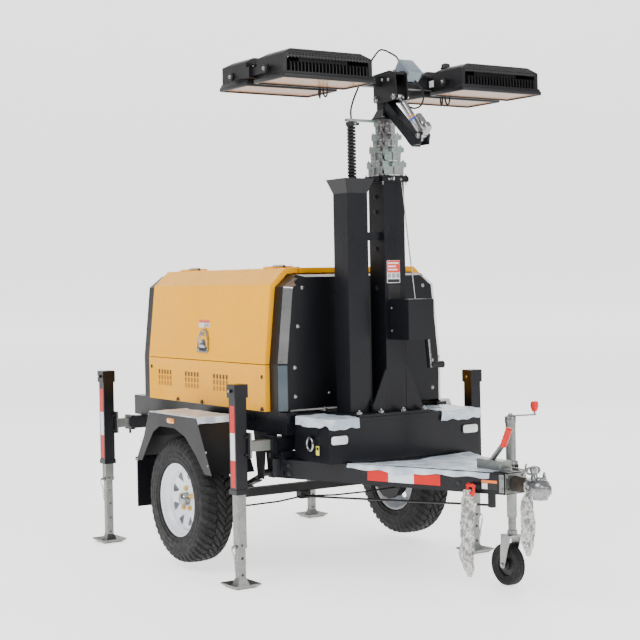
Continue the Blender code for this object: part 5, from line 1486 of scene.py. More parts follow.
    def corner_posts(self) -> Surface:
        """The black posts behind the doors: the rear cap's outline, grown a little, carried along X.

        Returns:
            The closed band.
        """
        outline = np.array([(0.500, 0.832), (0.515, 0.832), (0.515, 1.066), (0.475, 1.452), (0.392, 1.514),
                            (0.384, 1.502), (0.462, 1.444), (0.500, 1.064)])
        return joined([slab(outline * (sign, 1), 0, self.post[0], self.post[1]) for sign in (-1, 1)])

    def cap_strips(self, low: float, high: float) -> Surface:
        """A glazed strip on both chamfers of the front cap, between two heights.

        At share t across the chamfer, X runs from 0.1266 to 0.1626 and the cap's outline shrinks by
        0.041 t; the strip's height over the chamfer is a slow wave of its own height.

        Args:
            low: where the strip starts.
            high: where it ends.

        Returns:
            The open strips.
        """
        levels = np.array([0.8303, 1.0645, 1.446, 1.505])
        widths = np.array([0.505, 0.505, 0.4646, 0.3866])
        z = np.unique(np.concatenate([np.linspace(low, high, 40), levels[(levels > low) & (levels < high)]]))
        t = np.linspace(0.06, 0.94, 9)
        lift = 0.0012 + 0.0006 * np.sin(37 * z) * np.sin(11 * z + 1.0)
        x = 0.1266 + 0.036 * t[None] + 0.7 * lift[:, None]
        y = np.interp(z, levels, widths)[:, None] - 0.041 * t[None] + 0.7 * lift[:, None]
        height = z[:, None] - 0.010 * t[None] * np.clip((z - 1.42) / 0.06, 0, 1)[:, None]
        return joined([grid(np.stack([x, sign * y, height], axis=-1)[:, ::-sign]) for sign in (-1, 1)])

    def slot_backs(self) -> Surface:
        """Baffles behind the lower panels' slots, painted as the shade seen through them: darkest at the top row
        and paler below.

        Returns:
            The baffles.
        """
        parts = []
        for side in Side:
            y = sorted((side.value * (self.side_y - 0.0022), side.value * (self.side_y - 0.0012)))
            for x in self.slots_x:
                for row in range(3):
                    z = self.slot_z + (1 - row) * 0.031
                    # each row of slots gets its own depth of painted shade, deepest at the top
                    parts.append(box((x - 0.080, y[0], z - 0.014), (x + 0.080, y[1], z + 0.014)).painted(row))
        return joined(parts)

    def screws(self, face: float, sign: int) -> Surface:
        """Flanged screws down both edges of an end cap.

        Args:
            face: the X of the cap's flat face.
            sign: the direction in X that the face looks to.

        Returns:
            The screws.
        """
        at = np.array([(face, hand * y, z) for y, z in self.cap_screws for hand in (-1, 1)])
        return bolts(0.0085, at, (sign, 0, 0))

    def louvres(self) -> Surface:
        """The rear cap's air outlet: a frame round slanted slats.

        Returns:
            The frame and its slats.
        """
        face = Extent.of("end_cap_rear").low[0]
        half, low, high = 0.270, 0.985, 1.345
        outer = rounded(2 * half, high - low, 0.022) + (0, (low + high) / 2)
        inner = rounded(2 * half - 0.036, high - low - 0.036, 0.010) + (0, (low + high) / 2)
        rings = [np.insert(line, 0, x, axis=1) for line, x in ((outer, face), (outer, face - 0.008),
                                                               (inner, face - 0.008), (inner, face))]
        parts = [grid(np.stack(rings), wrap_columns=True, wrap_rows=True)]
        slat = np.array([(0.001, 0.012), (0.000, 0.0135), (-0.0085, -0.006), (-0.0075, -0.0075)])
        levels = np.linspace(low + 0.034, high - 0.034, self.slats)
        body = slab([(x, z) for x, z in slat], 1, -half + 0.020, half - 0.020)
        parts.append(body.repeated(np.stack([face + 0 * levels, 0 * levels, levels], axis=1)))
        return joined(parts)

    def tail_lamps(self) -> Surface:
        """Plain rear lamps on the chassis's rear beam: a black tray and a red and an amber lens each.

        Returns:
            The trays and lenses.
        """
        face = Extent.of("chassis").low[0]
        parts = []
        for sign in (-1, 1):
            y = sign * 0.345
            tray = rounded(0.150, 0.072, 0.010) + (y, 0.772)
            parts.append(slab(tray, 0, face - 0.012, face + 0.002))
            for shift, finish in ((-sign * 0.036, 1), (sign * 0.036, 2)):
                lens = rounded(0.064, 0.060, 0.008) + (y + shift, 0.772)
                small = rounded(0.054, 0.050, 0.006) + (y + shift, 0.772)
                rings = [np.insert(line, 0, x, axis=1) for line, x in ((lens, face - 0.011), (lens, face - 0.020),
                                                                       (small, face - 0.024))]
                parts.append(grid(np.stack(rings), wrap_columns=True, capped=True).painted(finish))
        return joined(parts)

    def pieces(self) -> Iterator[Piece]:
        """Latches, labels, hinges, trims, screws, louvres, baffles in painted shade, posts, strips and rear lamps.

        Returns:
            Each piece in turn.
        """
        for side in Side:
            body = f"door_{side.word}"
            yield Piece(f"latch_{side.word}", self.latch(side.value), [SILVER, BLACK_PLASTIC], body, bevel=0.0004)
            yield Piece(f"door_label_{side.word}", self.label(side.value),
                        [WHITE_LABEL, RED_LABEL, GREY_LABEL, WHITE_LENS], body)
            yield Piece(f"hinges_{side.word}", self.hinge_set(side.value), [SILVER, BLACK_PLASTIC], body,
                        bevel=0.0003)
        yield Piece("panel_trims", self.trims(), [BLACK_PLASTIC], bevel=0.0010)
        front, rear = Extent.of("end_cap_front").high[0], Extent.of("end_cap_rear").low[0]
        yield Piece("cap_screws", joined([self.screws(front, 1), self.screws(rear, -1)]), [SILVER])
        yield Piece("rear_louvres", self.louvres(), [BLACK], bevel=0.0006)
        yield Piece("slot_backs", self.slot_backs(), [SLOT_SHADE_DEEP, SLOT_SHADE_MID, SLOT_SHADE_PALE])
        yield Piece("corner_posts", self.corner_posts(), [BLACK_CAP], bevel=0.0010)
        yield Piece("cap_strips_upper", self.cap_strips(1.069, 1.492), [STRIP], open_sheet=True, angle=60)
        yield Piece("cap_strips_lower", self.cap_strips(0.836, 1.060), [STEEL_BLUE], open_sheet=True, angle=60)
        yield Piece("tail_lamps", self.tail_lamps(), [BLACK_PLASTIC, RED_LENS, AMBER_LENS], bevel=0.0015)


# Outriggers and jacks

@dataclass
class Jacks(SubAssembly):
    """Warning tape, cap bolts and drop-leg pins of the four jacks."""

    tape_low: float = 0.483
    tape_high: float = 0.878
    tape_width: float = 0.042
    pins: dict[Place, float] = field(default_factory=lambda: {Place.FRONT: 0.197, Place.REAR: 0.362})
    pin_radius: float = 0.0062

    def tape(self, centre: Array, sign: int, half: float) -> Surface:
        """Three bands of tape down a post's outer face.

        Args:
            centre: the post's middle.
            sign: the side's sign of Y.
            half: half the post's side.

        Returns:
            Red, white and red bands, the red ones in the first finish.
        """
        levels = np.linspace(self.tape_high, self.tape_low, 4)
        y = sorted((centre[1] + sign * (half + 0.0001), centre[1] + sign * (half + 0.0007)))
        wide = self.tape_width / 2
        bands = [box((centre[0] - wide, y[0], low), (centre[0] + wide, y[1], high)).painted(band % 2)
                 for band, (high, low) in enumerate(zip(levels[:-1], levels[1:]))]
        return joined(bands)

    def cap_bolts(self, tube: Extent, sign: int) -> Surface:
        """Bolts through the cap: one on its outer face and one on its front face.

        Args:
            tube: the jack tube's box.
            sign: the side's sign of Y.

        Returns:
            The bolts.
        """
        z = tube.high[2] - 0.032
        x = (tube.low[0] + tube.high[0]) / 2
        y = tube.high[1] if sign > 0 else tube.low[1]
        middle = (tube.low[1] + tube.high[1]) / 2
        out = bolt_head(0.0085).placed(facing((0, sign, 0)), (x - 0.006, y - sign * 0.0064, z))
        behind = bolt_head(0.0085).placed(facing((0, -sign, 0)), (x, middle - sign * 0.036, z - 0.006))
        return joined([out, behind])

    def drop_pin(self, x: float, y: float, z: float, sign: int) -> Surface:
        """The drop leg's pin, its ring and the short chain that hangs from it.

        The ring is a circle carried round a circle, and each chain link a circle carried round a
        flattened one, turned a quarter from its neighbour.

        Args:
            x: the leg's middle.
            y: the leg's middle.
            z: the pin's height.
            sign: the side's sign of Y.

        Returns:
            The pin, ring and chain.
        """
        parts = [pin((x, y - sign * 0.036, z), (x, y + sign * 0.046, z), self.pin_radius, 16)]
        parts.append(turned([(0, 0), (0.0105, 0), (0.0105, 0.003), (0.008, 0.004), (0, 0.004)],
                            (x, y + sign * 0.027, z), (0, sign, 0), 20))
        angle = np.linspace(0, TURN, 28, endpoint=False)
        ring = np.stack([x + 0.010 * np.cos(angle), y + sign * (0.046 + 0.004 * np.cos(angle)),
                         z - 0.012 + 0.014 * np.sin(angle)], axis=1)
        parts.append(carried(circle(0.0016, 8), ring, closed=True))
        link = np.stack([0.0042 * np.cos(angle), 0 * angle, 0.0080 * np.sin(angle)], axis=1)
        one = carried(circle(0.0013, 6), link, closed=True)
        count = 9
        share = np.linspace(0, 1, count)
        path = np.stack([x + 0.012 - 0.006 * share, y + sign * (0.044 - 0.012 * np.sin(share * math.pi / 2)),
                         z - 0.030 - 0.084 * share], axis=1)
        turns = about((0, 0, 1), np.where(np.arange(count) % 2 == 0, 0, 90))
        tilt = about((1, 0, 0), -sign * 24.0)
        parts.append(one.repeated(path, tilt[None] @ turns))
        return joined(parts)

    def pieces(self) -> Iterator[Piece]:
        """Tape and bolts on the post, and the pin on the drop leg, for every jack.

        Returns:
            Each piece in turn.
        """
        for place in Place:
            for side in Side:
                end, sign = f"{place.value}_{side.word}", side.value
                tube, leg = Extent.of(f"jack_tube_{end}"), Extent.of(f"jack_leg_{end}")
                centre = leg.centre.copy()
                centre[0] = (tube.low[0] + tube.high[0]) / 2
                yield Piece(f"tape_{end}", self.tape(centre, sign, 0.031), [RED_TAPE, WHITE_TAPE],
                            f"outrigger_{end}")
                yield Piece(f"cap_bolts_{end}", self.cap_bolts(tube, sign), [SILVER], f"outrigger_{end}")
                yield Piece(f"drop_pin_{end}", self.drop_pin(centre[0], centre[1], self.pins[place], sign),
                            [PLATED], f"leg_{end}")


# Deck, fenders and films

def draped(rows: Array, name: str, finish: Finish) -> None:
    """Args:
        rows: (along, across, 3) points of the film's upper face.
        name: the piece's name.
        finish: its film.
    """
    made = Piece(name, grid(rows), [finish], open_sheet=True, angle=180).built()
    made.data.update()


def crumple(u: Array, v: Array, seed: float) -> Array:
    """Wrinkles from -1 to 1: a sum of skewed waves, each bent by the one before it.

    Args:
        u: one coordinate in metres.
        v: the other.
        seed: a shift that makes each film's wrinkles its own.

    Returns:
        The wrinkle height share.
    """
    first = np.sin(37 * u + 19 * v + seed + 1.7 * np.sin(23 * v - 9 * u + 2 * seed))
    second = np.sin(71 * v - 43 * u + 3 * seed + 1.3 * first)
    third = np.sin(151 * u + 97 * v + seed * 5 + 0.9 * second)
    return 0.5 * first + 0.32 * second + 0.18 * third


@dataclass
class Deck(SubAssembly):
    """The front box and fenders: bolts, reflectors, rings, tags and protective film left on the corners."""

    lid: float = 0.8145
    front: float = 0.5045
    bolts: tuple[tuple[float, float], ...] = ((0.469, -0.257), (0.469, -0.128), (0.469, 0.005), (0.469, 0.133),
                                              (0.172, -0.257), (0.172, 0.133))
    marks: tuple[float, float] = (-0.400, 0.393)
    ring_z: float = 0.690
    film_edge: float = 0.4590       # where the lid's films turn down over the box's sides

    def deck_bolts(self) -> Surface:
        """Big hexagon heads with threaded ends on the mast's base plate.

        Returns:
            The bolts.
        """
        stud = turned([(0, 0.010), (0.0052, 0.010), (0.0052, 0.0185), (0.0036, 0.0205), (0, 0.0205)],
                      (0, 0, 0), (0, 0, 1), 16)
        one = joined([bolt_head(0.0150), stud])
        at = np.array([(x, y, 0.8275) for x, y in self.bolts])
        return one.repeated(at)

    def markers(self) -> Surface:
        """White reflectors on the box's front, each on a black base with two screws.

        Returns:
            The reflectors, bases and screws.
        """
        parts = []
        for y in self.marks:
            base = rounded(0.098, 0.044, 0.012) + (y, 0.7165)
            lens = rounded(0.092, 0.040, 0.012) + (y, 0.7165)
            small = rounded(0.084, 0.032, 0.010) + (y, 0.7165)
            parts.append(slab(base, 0, self.front - 0.002, self.front + 0.0025))
            rings = [np.insert(line, 0, x, axis=1) for line, x in ((lens, self.front), (lens, self.front + 0.0055),
                                                                   (small, self.front + 0.0085))]
            parts.append(grid(np.stack(rings), wrap_columns=True, capped=True).painted(1))
            heads = np.array([(self.front + 0.0024, y + dy, 0.7165) for dy in (-0.043, 0.043)])
            parts.append(dome_head(0.006).repeated(heads, np.broadcast_to(facing((1, 0, 0)), (2, 3, 3)))
                         .painted(2))
        return joined(parts)

    def rings(self) -> Surface:
        """Smooth lashing rings over the box's own, on both sides.

        Returns:
            Both rings.
        """
        angle = np.linspace(0, TURN, 48, endpoint=False)
        parts = []
        for sign in (-1, 1):
            path = np.stack([0.349 + 0.026 * np.cos(angle), sign * 0.4646 + 0 * angle,
                             self.ring_z + 0.030 * np.sin(angle)], axis=1)
            parts.append(carried(circle(0.0064, 12), path, closed=True))
        return joined(parts)

    def tags(self) -> Surface:
        """The blank yellow notice on the box's right side, with its black field.

        Returns:
            The notice's plates.
        """
        low = -0.4526 - 0.0009
        parts = [box((0.383, low, 0.640), (0.411, low + 0.0008, 0.684))]
        parts.append(box((0.387, low - 0.0004, 0.664), (0.407, low, 0.678)).painted(1))
        return joined(parts)

    def fender_lamps(self) -> Surface:
        """Amber side markers on the fenders' edges, with their screws.

        Returns:
            The markers and screws.
        """
        edge, at = 0.800, (-0.445, 0.770)
        wide, narrow = rounded(0.080, 0.026, 0.008) + at, rounded(0.072, 0.018, 0.006) + at
        parts = []
        for side in Side:
            levels = ((wide, edge - 0.004), (wide, edge - 0.0002), (narrow, edge + 0.0028))
            rings = [np.insert(line, 1, side.value * level, axis=1) for line, level in levels]
            parts.append(grid(np.stack(rings), wrap_columns=True, capped=True))
        screws = [(x, edge - 0.0010, z) for x, z in ((-0.075, 0.640), (-0.790, 0.640), (-0.840, 0.540),
                                                     (-0.060, 0.575))]
        return joined([*parts, both_sides(dome_head(0.011), screws).painted(1)])

    def fender_film(self, sign: int) -> Array:
        """Film over a fender's top: it follows the top's outline in X and Z and laps over the outer edge.

        Args:
            sign: the side's sign of Y.

        Returns:
            Rows of points: along the fender by across it.
        """
        outline = np.array([(-0.703, 0.786), (-0.691, 0.8005), (-0.300, 0.8005), (-0.167, 0.8005),
                            (-0.150, 0.770)]) + (0, 0.0022)
        length = np.concatenate([[0], np.cumsum(np.linalg.norm(np.diff(outline, axis=0), axis=1))])
        s = np.linspace(0, length[-1], 90)
        x, z = np.interp(s, length, outline[:, 0]), np.interp(s, length, outline[:, 1])
        t = np.linspace(0, 1, 34)
        lap = 0.011
        inner = 0.590
        run = inner + t * (0.7975 - inner + lap)
        over = np.clip(run - 0.7985, 0, None)
        y = np.minimum(run, 0.7985 + 0 * run)
        wrinkle = crumple(s[:, None], run[None], 2.0 + sign)
        edge = 0.5 + 0.5 * np.sin(31 * s + 2 * np.sin(13 * s))
        points_z = z[:, None] - over[None] * (0.5 + 0.5 * edge[:, None]) + 0.0016 * (1 + wrinkle)
        points_x = x[:, None] + 0.0012 * wrinkle
        points_y = sign * (y[None] - 0.012 * edge[:, None] * (t[None] < 0.2) * (0.2 - t[None]) / 0.2)
        return np.stack([points_x, points_y + 0 * points_x, points_z], axis=-1)

    def corner_film(self, y0: float, y1: float, seed: float) -> Array:
        """Film over one end of the box's lid: back across the lid, round the front edge and down.

        Args:
            y0: one side of the film.
            y1: the other side.
            seed: the shift of its wrinkles.

        Returns:
            Rows of points: down the film by across it.
        """
        path = np.array([(0.215, self.lid), (0.30, self.lid), (0.42, self.lid), (0.496, self.lid),
                         (0.5065, self.lid - 0.0005), (0.5100, self.lid - 0.010), (0.5105, self.lid - 0.046)])
        way = smooth(np.insert(path, 1, 0, axis=1), 12)
        s = np.concatenate([[0], np.cumsum(np.linalg.norm(np.diff(way, axis=0), axis=1))])
        t = np.linspace(0, 1, 64)
        wave = np.sin(19 * s + seed) + 0.5 * np.sin(47 * s + 2 * seed)
        side = math.copysign(1.0, y0 + y1)
        hang = np.clip((s - s[-1] + 0.05) / 0.05, 0, 1)[:, None]
        near = min(abs(y0), abs(y1)) + 0.007 * wave
        far = max(abs(y0), abs(y1)) + 0.006 * np.roll(wave, 9)
        reach = near[:, None] + (far - near)[:, None] * t[None]
        wrinkle = crumple(s[:, None] + 0 * reach, reach * side, seed)
        over = np.clip(reach - self.film_edge, 0, None) * (1 - hang)
        y = side * (np.minimum(reach, self.film_edge) + np.clip(over / 0.01, 0, 1) * 0.0022 * (1.2 + wrinkle))
        x = way[:, :1] + hang * (0.0012 + 0.0022 * (1 + wrinkle))
        ragged = 0.0035 * np.sin(41 * reach + seed) + 0.0025 * np.sin(97 * reach)
        z = way[:, 2:] + (1 - hang) * 0.0026 * (1.1 + wrinkle) + hang**4 * ragged - over
        return np.stack([x, y, z], axis=-1)

    def cover_film(self) -> Array:
        """Film over the drawbar: it lies on the rails and the cover plate and laps over both rails.

        Half the width of the drawbar at x is 0.531 less 0.398 for each metre from x = 0.109.

        Returns:
            Rows of points: along the drawbar by across it.
        """
        x = np.linspace(0.530, 1.235, 150)
        half = 0.531 - 0.3981 * (x - 0.109)
        lap = 0.021 + 0.012 * np.exp(-((x - 0.80) / 0.07) ** 2) + 0.004 * np.sin(43 * x)
        t = np.linspace(-1, 1, 120)
        run = t[None] * (half + lap + 0.004)[:, None]
        reach = np.abs(run)
        edge = (half + 0.0035)[:, None]
        over = np.clip(reach - edge, 0, None)
        y = np.sign(run) * (np.minimum(reach, edge) + 0.0008 * over / 0.02)
        wrinkle = crumple(x[:, None] + 0 * run, run, 4.4)
        on_cover = np.clip((x - 0.690) / 0.020, 0, 1)[:, None]
        flat = np.clip((edge - 0.06 - reach) / 0.02, 0, 1)
        sag = (1 - on_cover) * flat * 0.012 * (1 - np.clip(reach / (edge - 0.055), 0, 1) ** 2)
        rise = 0.0062 * np.clip((edge - 0.012 - reach) / 0.008, 0, 1) * on_cover
        z = 0.6045 + rise - sag - over + 0.0011 * (1.1 + wrinkle) * np.clip(1 - over / 0.006, 0.0, 1)
        y = y + np.sign(run) * np.clip(over / 0.01, 0, 1) * 0.0016 * (1 + wrinkle)
        ends = 0.012 * np.sin(23 * run + 1.0) * (np.linspace(-1, 1, len(x))[:, None] ** 8)
        return np.stack([x[:, None] + ends, y, z], axis=-1)

    def pieces(self) -> Iterator[Piece]:
        """Bolts, reflectors, rings, the yellow notice and side markers.

        Returns:
            Each piece in turn.
        """
        yield Piece("deck_bolts", self.deck_bolts(), [SILVER])
        yield Piece("box_reflectors", self.markers(), [BLACK_PLASTIC, WHITE_LENS, STEEL], bevel=0.0008)
        yield Piece("lashing_rings", self.rings(), [SILVER], angle=60)
        yield Piece("box_tags", self.tags(), [YELLOW_LABEL, BLACK_PLASTIC])
        yield Piece("side_markers", self.fender_lamps(), [AMBER_LENS, STEEL])

    def build(self) -> list[bpy.types.Object]:
        """Builds the fittings, then lays the films.

        Returns:
            The new objects.
        """
        made = super().build()
        for side in Side:
            draped(self.fender_film(side.value), f"fender_film_{side.word}",
                   MILKY_FILM)
        draped(self.corner_film(-0.500, -0.285, 0.6), "box_film_right", MILKY_FILM)
        draped(self.corner_film(0.205, 0.486, 3.1), "box_film_left", MILKY_FILM)
        draped(self.cover_film(), "drawbar_film", MILKY_FILM)
        return made


# Drawbar

@dataclass
class Hitch(SubAssembly):
    """The drawbar's tape, bolts, plates and notice, the gaiter, the cast coupling head and the brake's grip."""

    start: Vector3 = (0.109, 0.531, 0.558)      # a rail's outer face at its rear end
    end: Vector3 = (1.292, 0.060, 0.558)
    tape: tuple[float, ...] = (0.555, 0.671, 0.809, 0.949)
    tape_height: float = 0.050
    axis_z: float = 0.559
    ball_x: float = 1.460

    def along(self, sign: int) -> tuple[Array, Array, Array]:
        """A rail's outer face: where it starts, its direction and its outward normal.

        Args:
            sign: the side's sign of Y.

        Returns:
            The start, the direction and the normal.
        """
        start = np.array(self.start) * (1, sign, 1)
        way = unit(np.array(self.end) * (1, sign, 1) - start)
        return start, way, np.array([-way[1], way[0], 0.0]) * sign

    def rail_tape(self, sign: int) -> Surface:
        """Red, white and red tape along a rail's outer face, as thin plates set out along it.

        Args:
            sign: the side's sign of Y.

        Returns:
            The tape's plates.
        """
        start, way, out = self.along(sign)
        parts = []
        for band, (near, far) in enumerate(zip(self.tape[:-1], self.tape[1:])):
            half = self.tape_height / 2
            corners = [start + way * s + np.array([0, 0, dz]) for s, dz in ((near, -half), (far, -half),
                                                                            (far, half), (near, half))]
            ring = np.array(corners)
            parts.append(grid(np.stack([ring + out * 0.0001, ring + out * 0.0008]), wrap_columns=True,
                              capped=True).painted(band % 2))
        return joined(parts)

    def rail_bolts(self, sign: int) -> Surface:
        """Bolts at the rear end of a rail and beside its cross member.

        Args:
            sign: the side's sign of Y.

        Returns:
            The bolts.
        """
        start, way, out = self.along(sign)
        at = np.array([start + way * s + np.array([0, 0, dz]) for s, dz in
                       ((0.10, 0.018), (0.10, -0.020), (1.045, -0.004))])
        return bolts(0.0105, at, out)

    def gaiter(self) -> Surface:
        """The ribbed rubber gaiter: the radius swings between rib and groove as a rounded wave along X.

        Returns:
            The gaiter.
        """
        s = np.linspace(0, 1, 97)
        wave = np.abs(np.cos(s * math.pi * 8)) ** 0.7
        radius = 0.0305 + 0.0050 * wave - 0.004 * s
        x = 1.2985 + 0.088 * s
        rows = np.vstack([[0, x[0]], np.stack([radius, x], axis=1), [0, x[-1]]])
        return turned(rows, (0, 0, self.axis_z), (1, 0, 0), 48)

    def head(self) -> Surface:
        """The cast head: sections along X, each a rounded rectangle of its own width, height and level.

        The point at angle a of a section is y = w c |c|^(p-1), z = level + h s |s|^(p-1), with c and s
        the cosine and sine of a, and p the section's squareness.

        Returns:
            The closed casting.
        """
        rows = np.array([  # x, half width, half height, level, power
            (1.384, 0.030, 0.030, 0.000, 0.95), (1.388, 0.0345, 0.0345, 0.000, 0.95),
            (1.396, 0.0345, 0.0345, 0.000, 0.90), (1.400, 0.0310, 0.0320, 0.000, 0.70),
            (1.414, 0.0300, 0.0310, 0.000, 0.60), (1.425, 0.0320, 0.0300, 0.000, 0.60),
            (1.432, 0.0400, 0.0340, -0.002, 0.70), (1.442, 0.0445, 0.0400, -0.005, 0.80),
            (1.456, 0.0458, 0.0430, -0.007, 0.85), (1.470, 0.0455, 0.0435, -0.008, 0.85),
            (1.482, 0.0420, 0.0415, -0.008, 0.80), (1.492, 0.0340, 0.0330, -0.009, 0.70),
            (1.500, 0.0260, 0.0240, -0.008, 0.55), (1.510, 0.0220, 0.0200, -0.008, 0.50),
            (1.5120, 0.0190, 0.0170, -0.008, 0.50)])
        x, wide, high, level, power = (column[:, None] for column in rows.T)
        angle = np.arange(64)[None] * TURN / 64
        c, s = np.cos(angle), np.sin(angle)
        y = wide * np.sign(c) * np.abs(c) ** power
        z = self.axis_z + level + high * np.sign(s) * np.abs(s) ** power
        points = np.stack([np.broadcast_to(x, y.shape), y, z], axis=-1)
        parts = [grid(points, wrap_columns=True, capped=True)]
        parts.append(turned([(0, 0), (0.021, 0), (0.021, 0.004), (0.017, 0.011), (0.009, 0.014), (0, 0.0145)],
                            (self.ball_x, 0, self.axis_z + 0.031), (0, 0, 1), 32))
        parts.append(turned([(0.0335, 0), (0.0335, 0.014), (0.0295, 0.016), (0.0285, 0.004), (0, 0.004)],
                            (self.ball_x, 0, self.axis_z - 0.052), (0, 0, 1), 40))
        return joined(parts)

    def handle(self) -> Surface:
        """The tower and its ring handle: a stem whose radius is a table of its length, and a flat ring.

        Returns:
            The tower and its ring.
        """
        stem = [(0, 0), (0.0215, 0), (0.0205, 0.012), (0.0165, 0.026), (0.0135, 0.040), (0.0130, 0.050),
                (0.0165, 0.056), (0.0170, 0.064), (0.0110, 0.069), (0, 0.069)]
        parts = [turned(stem, (1.428, 0, 0.572), (-0.16, 0, 1), 32)]
        angle = np.linspace(0, TURN, 56, endpoint=False)
        round_y, round_z = np.cos(angle), np.sin(angle)
        ring = np.stack([1.4155 + 0 * angle, 0.0360 * np.sign(round_y) * np.abs(round_y) ** 0.75,
                         0.6290 + 0.0150 * np.sign(round_z) * np.abs(round_z) ** 0.75], axis=1)
        parts.append(carried(rounded(0.0130, 0.0085, 0.003), ring, hint=(1, 0, 0), closed=True))
        lever = smooth([(1.436, -0.020, 0.588), (1.446, -0.038, 0.590), (1.462, -0.050, 0.596)], 6)
        parts.append(carried(circle(0.0036, 10), lever, hint=(0, 0, 1)))
        return joined(parts)

    def head_bolts(self) -> Surface:
        """Through bolts of the casting, on both sides, and the two hitch bolts under it.

        Returns:
            The bolts.
        """
        flank = 0.0305
        parts = [both_sides(bolt_head(0.0092), [(1.404, flank, 0.572), (1.404, flank, 0.546),
                                                (1.4225, flank, 0.560)])]
        nuts = np.array([(1.414, 0.014, 0.529), (1.414, -0.014, 0.529)])
        parts.append(bolts(0.0100, nuts, (0, 0, -1)))
        parts.append(turned([(0, 0), (0.0125, 0), (0.0125, 0.006), (0.0085, 0.010), (0.0085, 0.020),
                             (0.0060, 0.026), (0.0045, 0.036), (0, 0.036)], (1.474, 0.012, 0.590), (0, 0, 1), 24))
        parts.append(bolt_head(0.0190).placed(facing((0, 0, -1)), (1.455, 0, 0.5300)))
        parts.append(bolt_head(0.0160).placed(facing((0, 0, -1)), (1.455, 0, 0.5180)))
        return joined(parts)

    def nose_plates(self) -> Surface:
        """Galvanised plates at the drawbar's nose: a top plate, and an end plate and straps with bolts.

        Returns:
            The plates, straps and bolts.
        """
        parts = [box((1.242, -0.046, 0.6108), (1.306, 0.046, 0.6148)),
                 box((1.256, -0.030, 0.6148), (1.300, -0.018, 0.6260)),
                 box((1.256, 0.018, 0.6148), (1.300, 0.030, 0.6260))]
        parts.append(box((1.2938, -0.057, 0.518), (1.2985, 0.057, 0.606)))
        for sign in (-1, 1):
            start, way, out = self.along(sign)
            near, far = start + way * 1.250, start + way * 1.2735
            ring = np.array([near + (0, 0, -0.036), far + (0, 0, -0.036), far + (0, 0, 0.044),
                             near + (0, 0, 0.044)])
            parts.append(grid(np.stack([ring - out * 0.001, ring + out * 0.0040]), wrap_columns=True, capped=True))
            at = np.array([start + way * 1.262 + out * 0.0038 + (0, 0, dz) for dz in (0.026, -0.020)])
            parts.append(bolts(0.0085, at, out))
            front = np.array([(1.2983, sign * 0.045, z) for z in (0.530, 0.594)])
            parts.append(bolts(0.0085, front, (1, 0, 0)))
        return joined(parts)

    def shackle(self) -> Surface:
        """A red bow shackle on the right rail, a circle carried along a bow, with its pin and lock.

        Returns:
            The shackle, its pin and lock.
        """
        angle = np.linspace(-0.35 * math.pi, 1.35 * math.pi, 48)
        centre = np.array([1.163, -0.1440, 0.5300])
        bow = np.stack([centre[0] + 0.0210 * np.cos(angle), centre[1] + 0 * angle,
                        centre[2] - 0.0290 * np.sin(angle)], axis=1)
        parts = [carried(circle(0.0068, 14), bow, hint=(0, 1, 0))]
        parts.append(pin((1.135, -0.1440, 0.5500), (1.191, -0.1440, 0.5500), 0.0070, 16))
        parts.append(pin((1.149, -0.1440, 0.5160), (1.177, -0.1440, 0.5160), 0.0080, 16))
        return joined(parts)

    def tag(self) -> Surface:
        """A blank notice flat on the right rail: an orange head over a dark field with a white square.

        Returns:
            The notice's plates.
        """
        start, way, out = self.along(-1)
        parts = []
        for finish, near, far, low, high, rise in ((2, 1.160, 1.238, -0.026, 0.016, 0.0004),
                                                   (0, 1.160, 1.238, 0.004, 0.016, 0.0006),
                                                   (1, 1.162, 1.190, -0.024, 0.002, 0.0006)):
            ring = np.array([start + way * s + (0, 0, dz) for s, dz in ((near, low), (far, low), (far, high),
                                                                      (near, high))])
            parts.append(grid(np.stack([ring + out * 0.0001, ring + out * rise]), wrap_columns=True,
                              capped=True).painted(finish))
        return joined(parts)

    def brake_grip(self) -> Surface:
        """The handbrake's red grip with finger grooves: the radius is a wave along its length.

        Returns:
            The grip.
        """
        start, end = np.array([1.2425, -0.020, 0.7216]), np.array([1.2855, -0.020, 0.8023])
        s = np.linspace(0, 1, 41)
        radius = 0.0148 + 0.0006 * np.cos(s * TURN * 4)
        rows = np.vstack([[0, 0], np.stack([radius, s * 0.0914], axis=1), [0.010, 0.0934], [0, 0.0944]])
        rows[1, 0] = 0.012
        parts = [turned(rows, start, end - start, 32)]
        tip = end + unit(end - start) * 0.001
        parts.append(pin(tip, tip + unit(end - start) * 0.006, 0.0048, 12).painted(1))
        return joined(parts)

    def pieces(self) -> Iterator[Piece]:
        """Tape, bolts, gaiter, plates, head, tower, shackle, notice and grip.

        Returns:
            Each piece in turn.
        """
        for side in Side:
            yield Piece(f"rail_tape_{side.word}", self.rail_tape(side.value), [RED_TAPE, WHITE_TAPE])
        yield Piece("rail_bolts", joined([self.rail_bolts(side.value) for side in Side]), [BLACK_PLASTIC])
        yield Piece("gaiter", self.gaiter(), [GAITER_RUBBER], angle=60)
        yield Piece("nose_plates", self.nose_plates(), [GALVANISED], bevel=0.0005)
        yield Piece("coupling_head", self.head(), [CAST], slot="cast_metal", angle=50, stands_for=["coupling"])
        yield Piece("coupling_handle", self.handle(), [CAST], angle=60)
        yield Piece("coupling_bolts", self.head_bolts(), [SILVER])
        yield Piece("shackle", self.shackle(), [RED_PLASTIC], angle=60)
        yield Piece("drawbar_tag", self.tag(), [ORANGE_LABEL, WHITE_LABEL, BLACK_PLASTIC])
        yield Piece("brake_grip", self.brake_grip(), [RED_PLASTIC, STEEL], angle=60)


# Jockey wheel

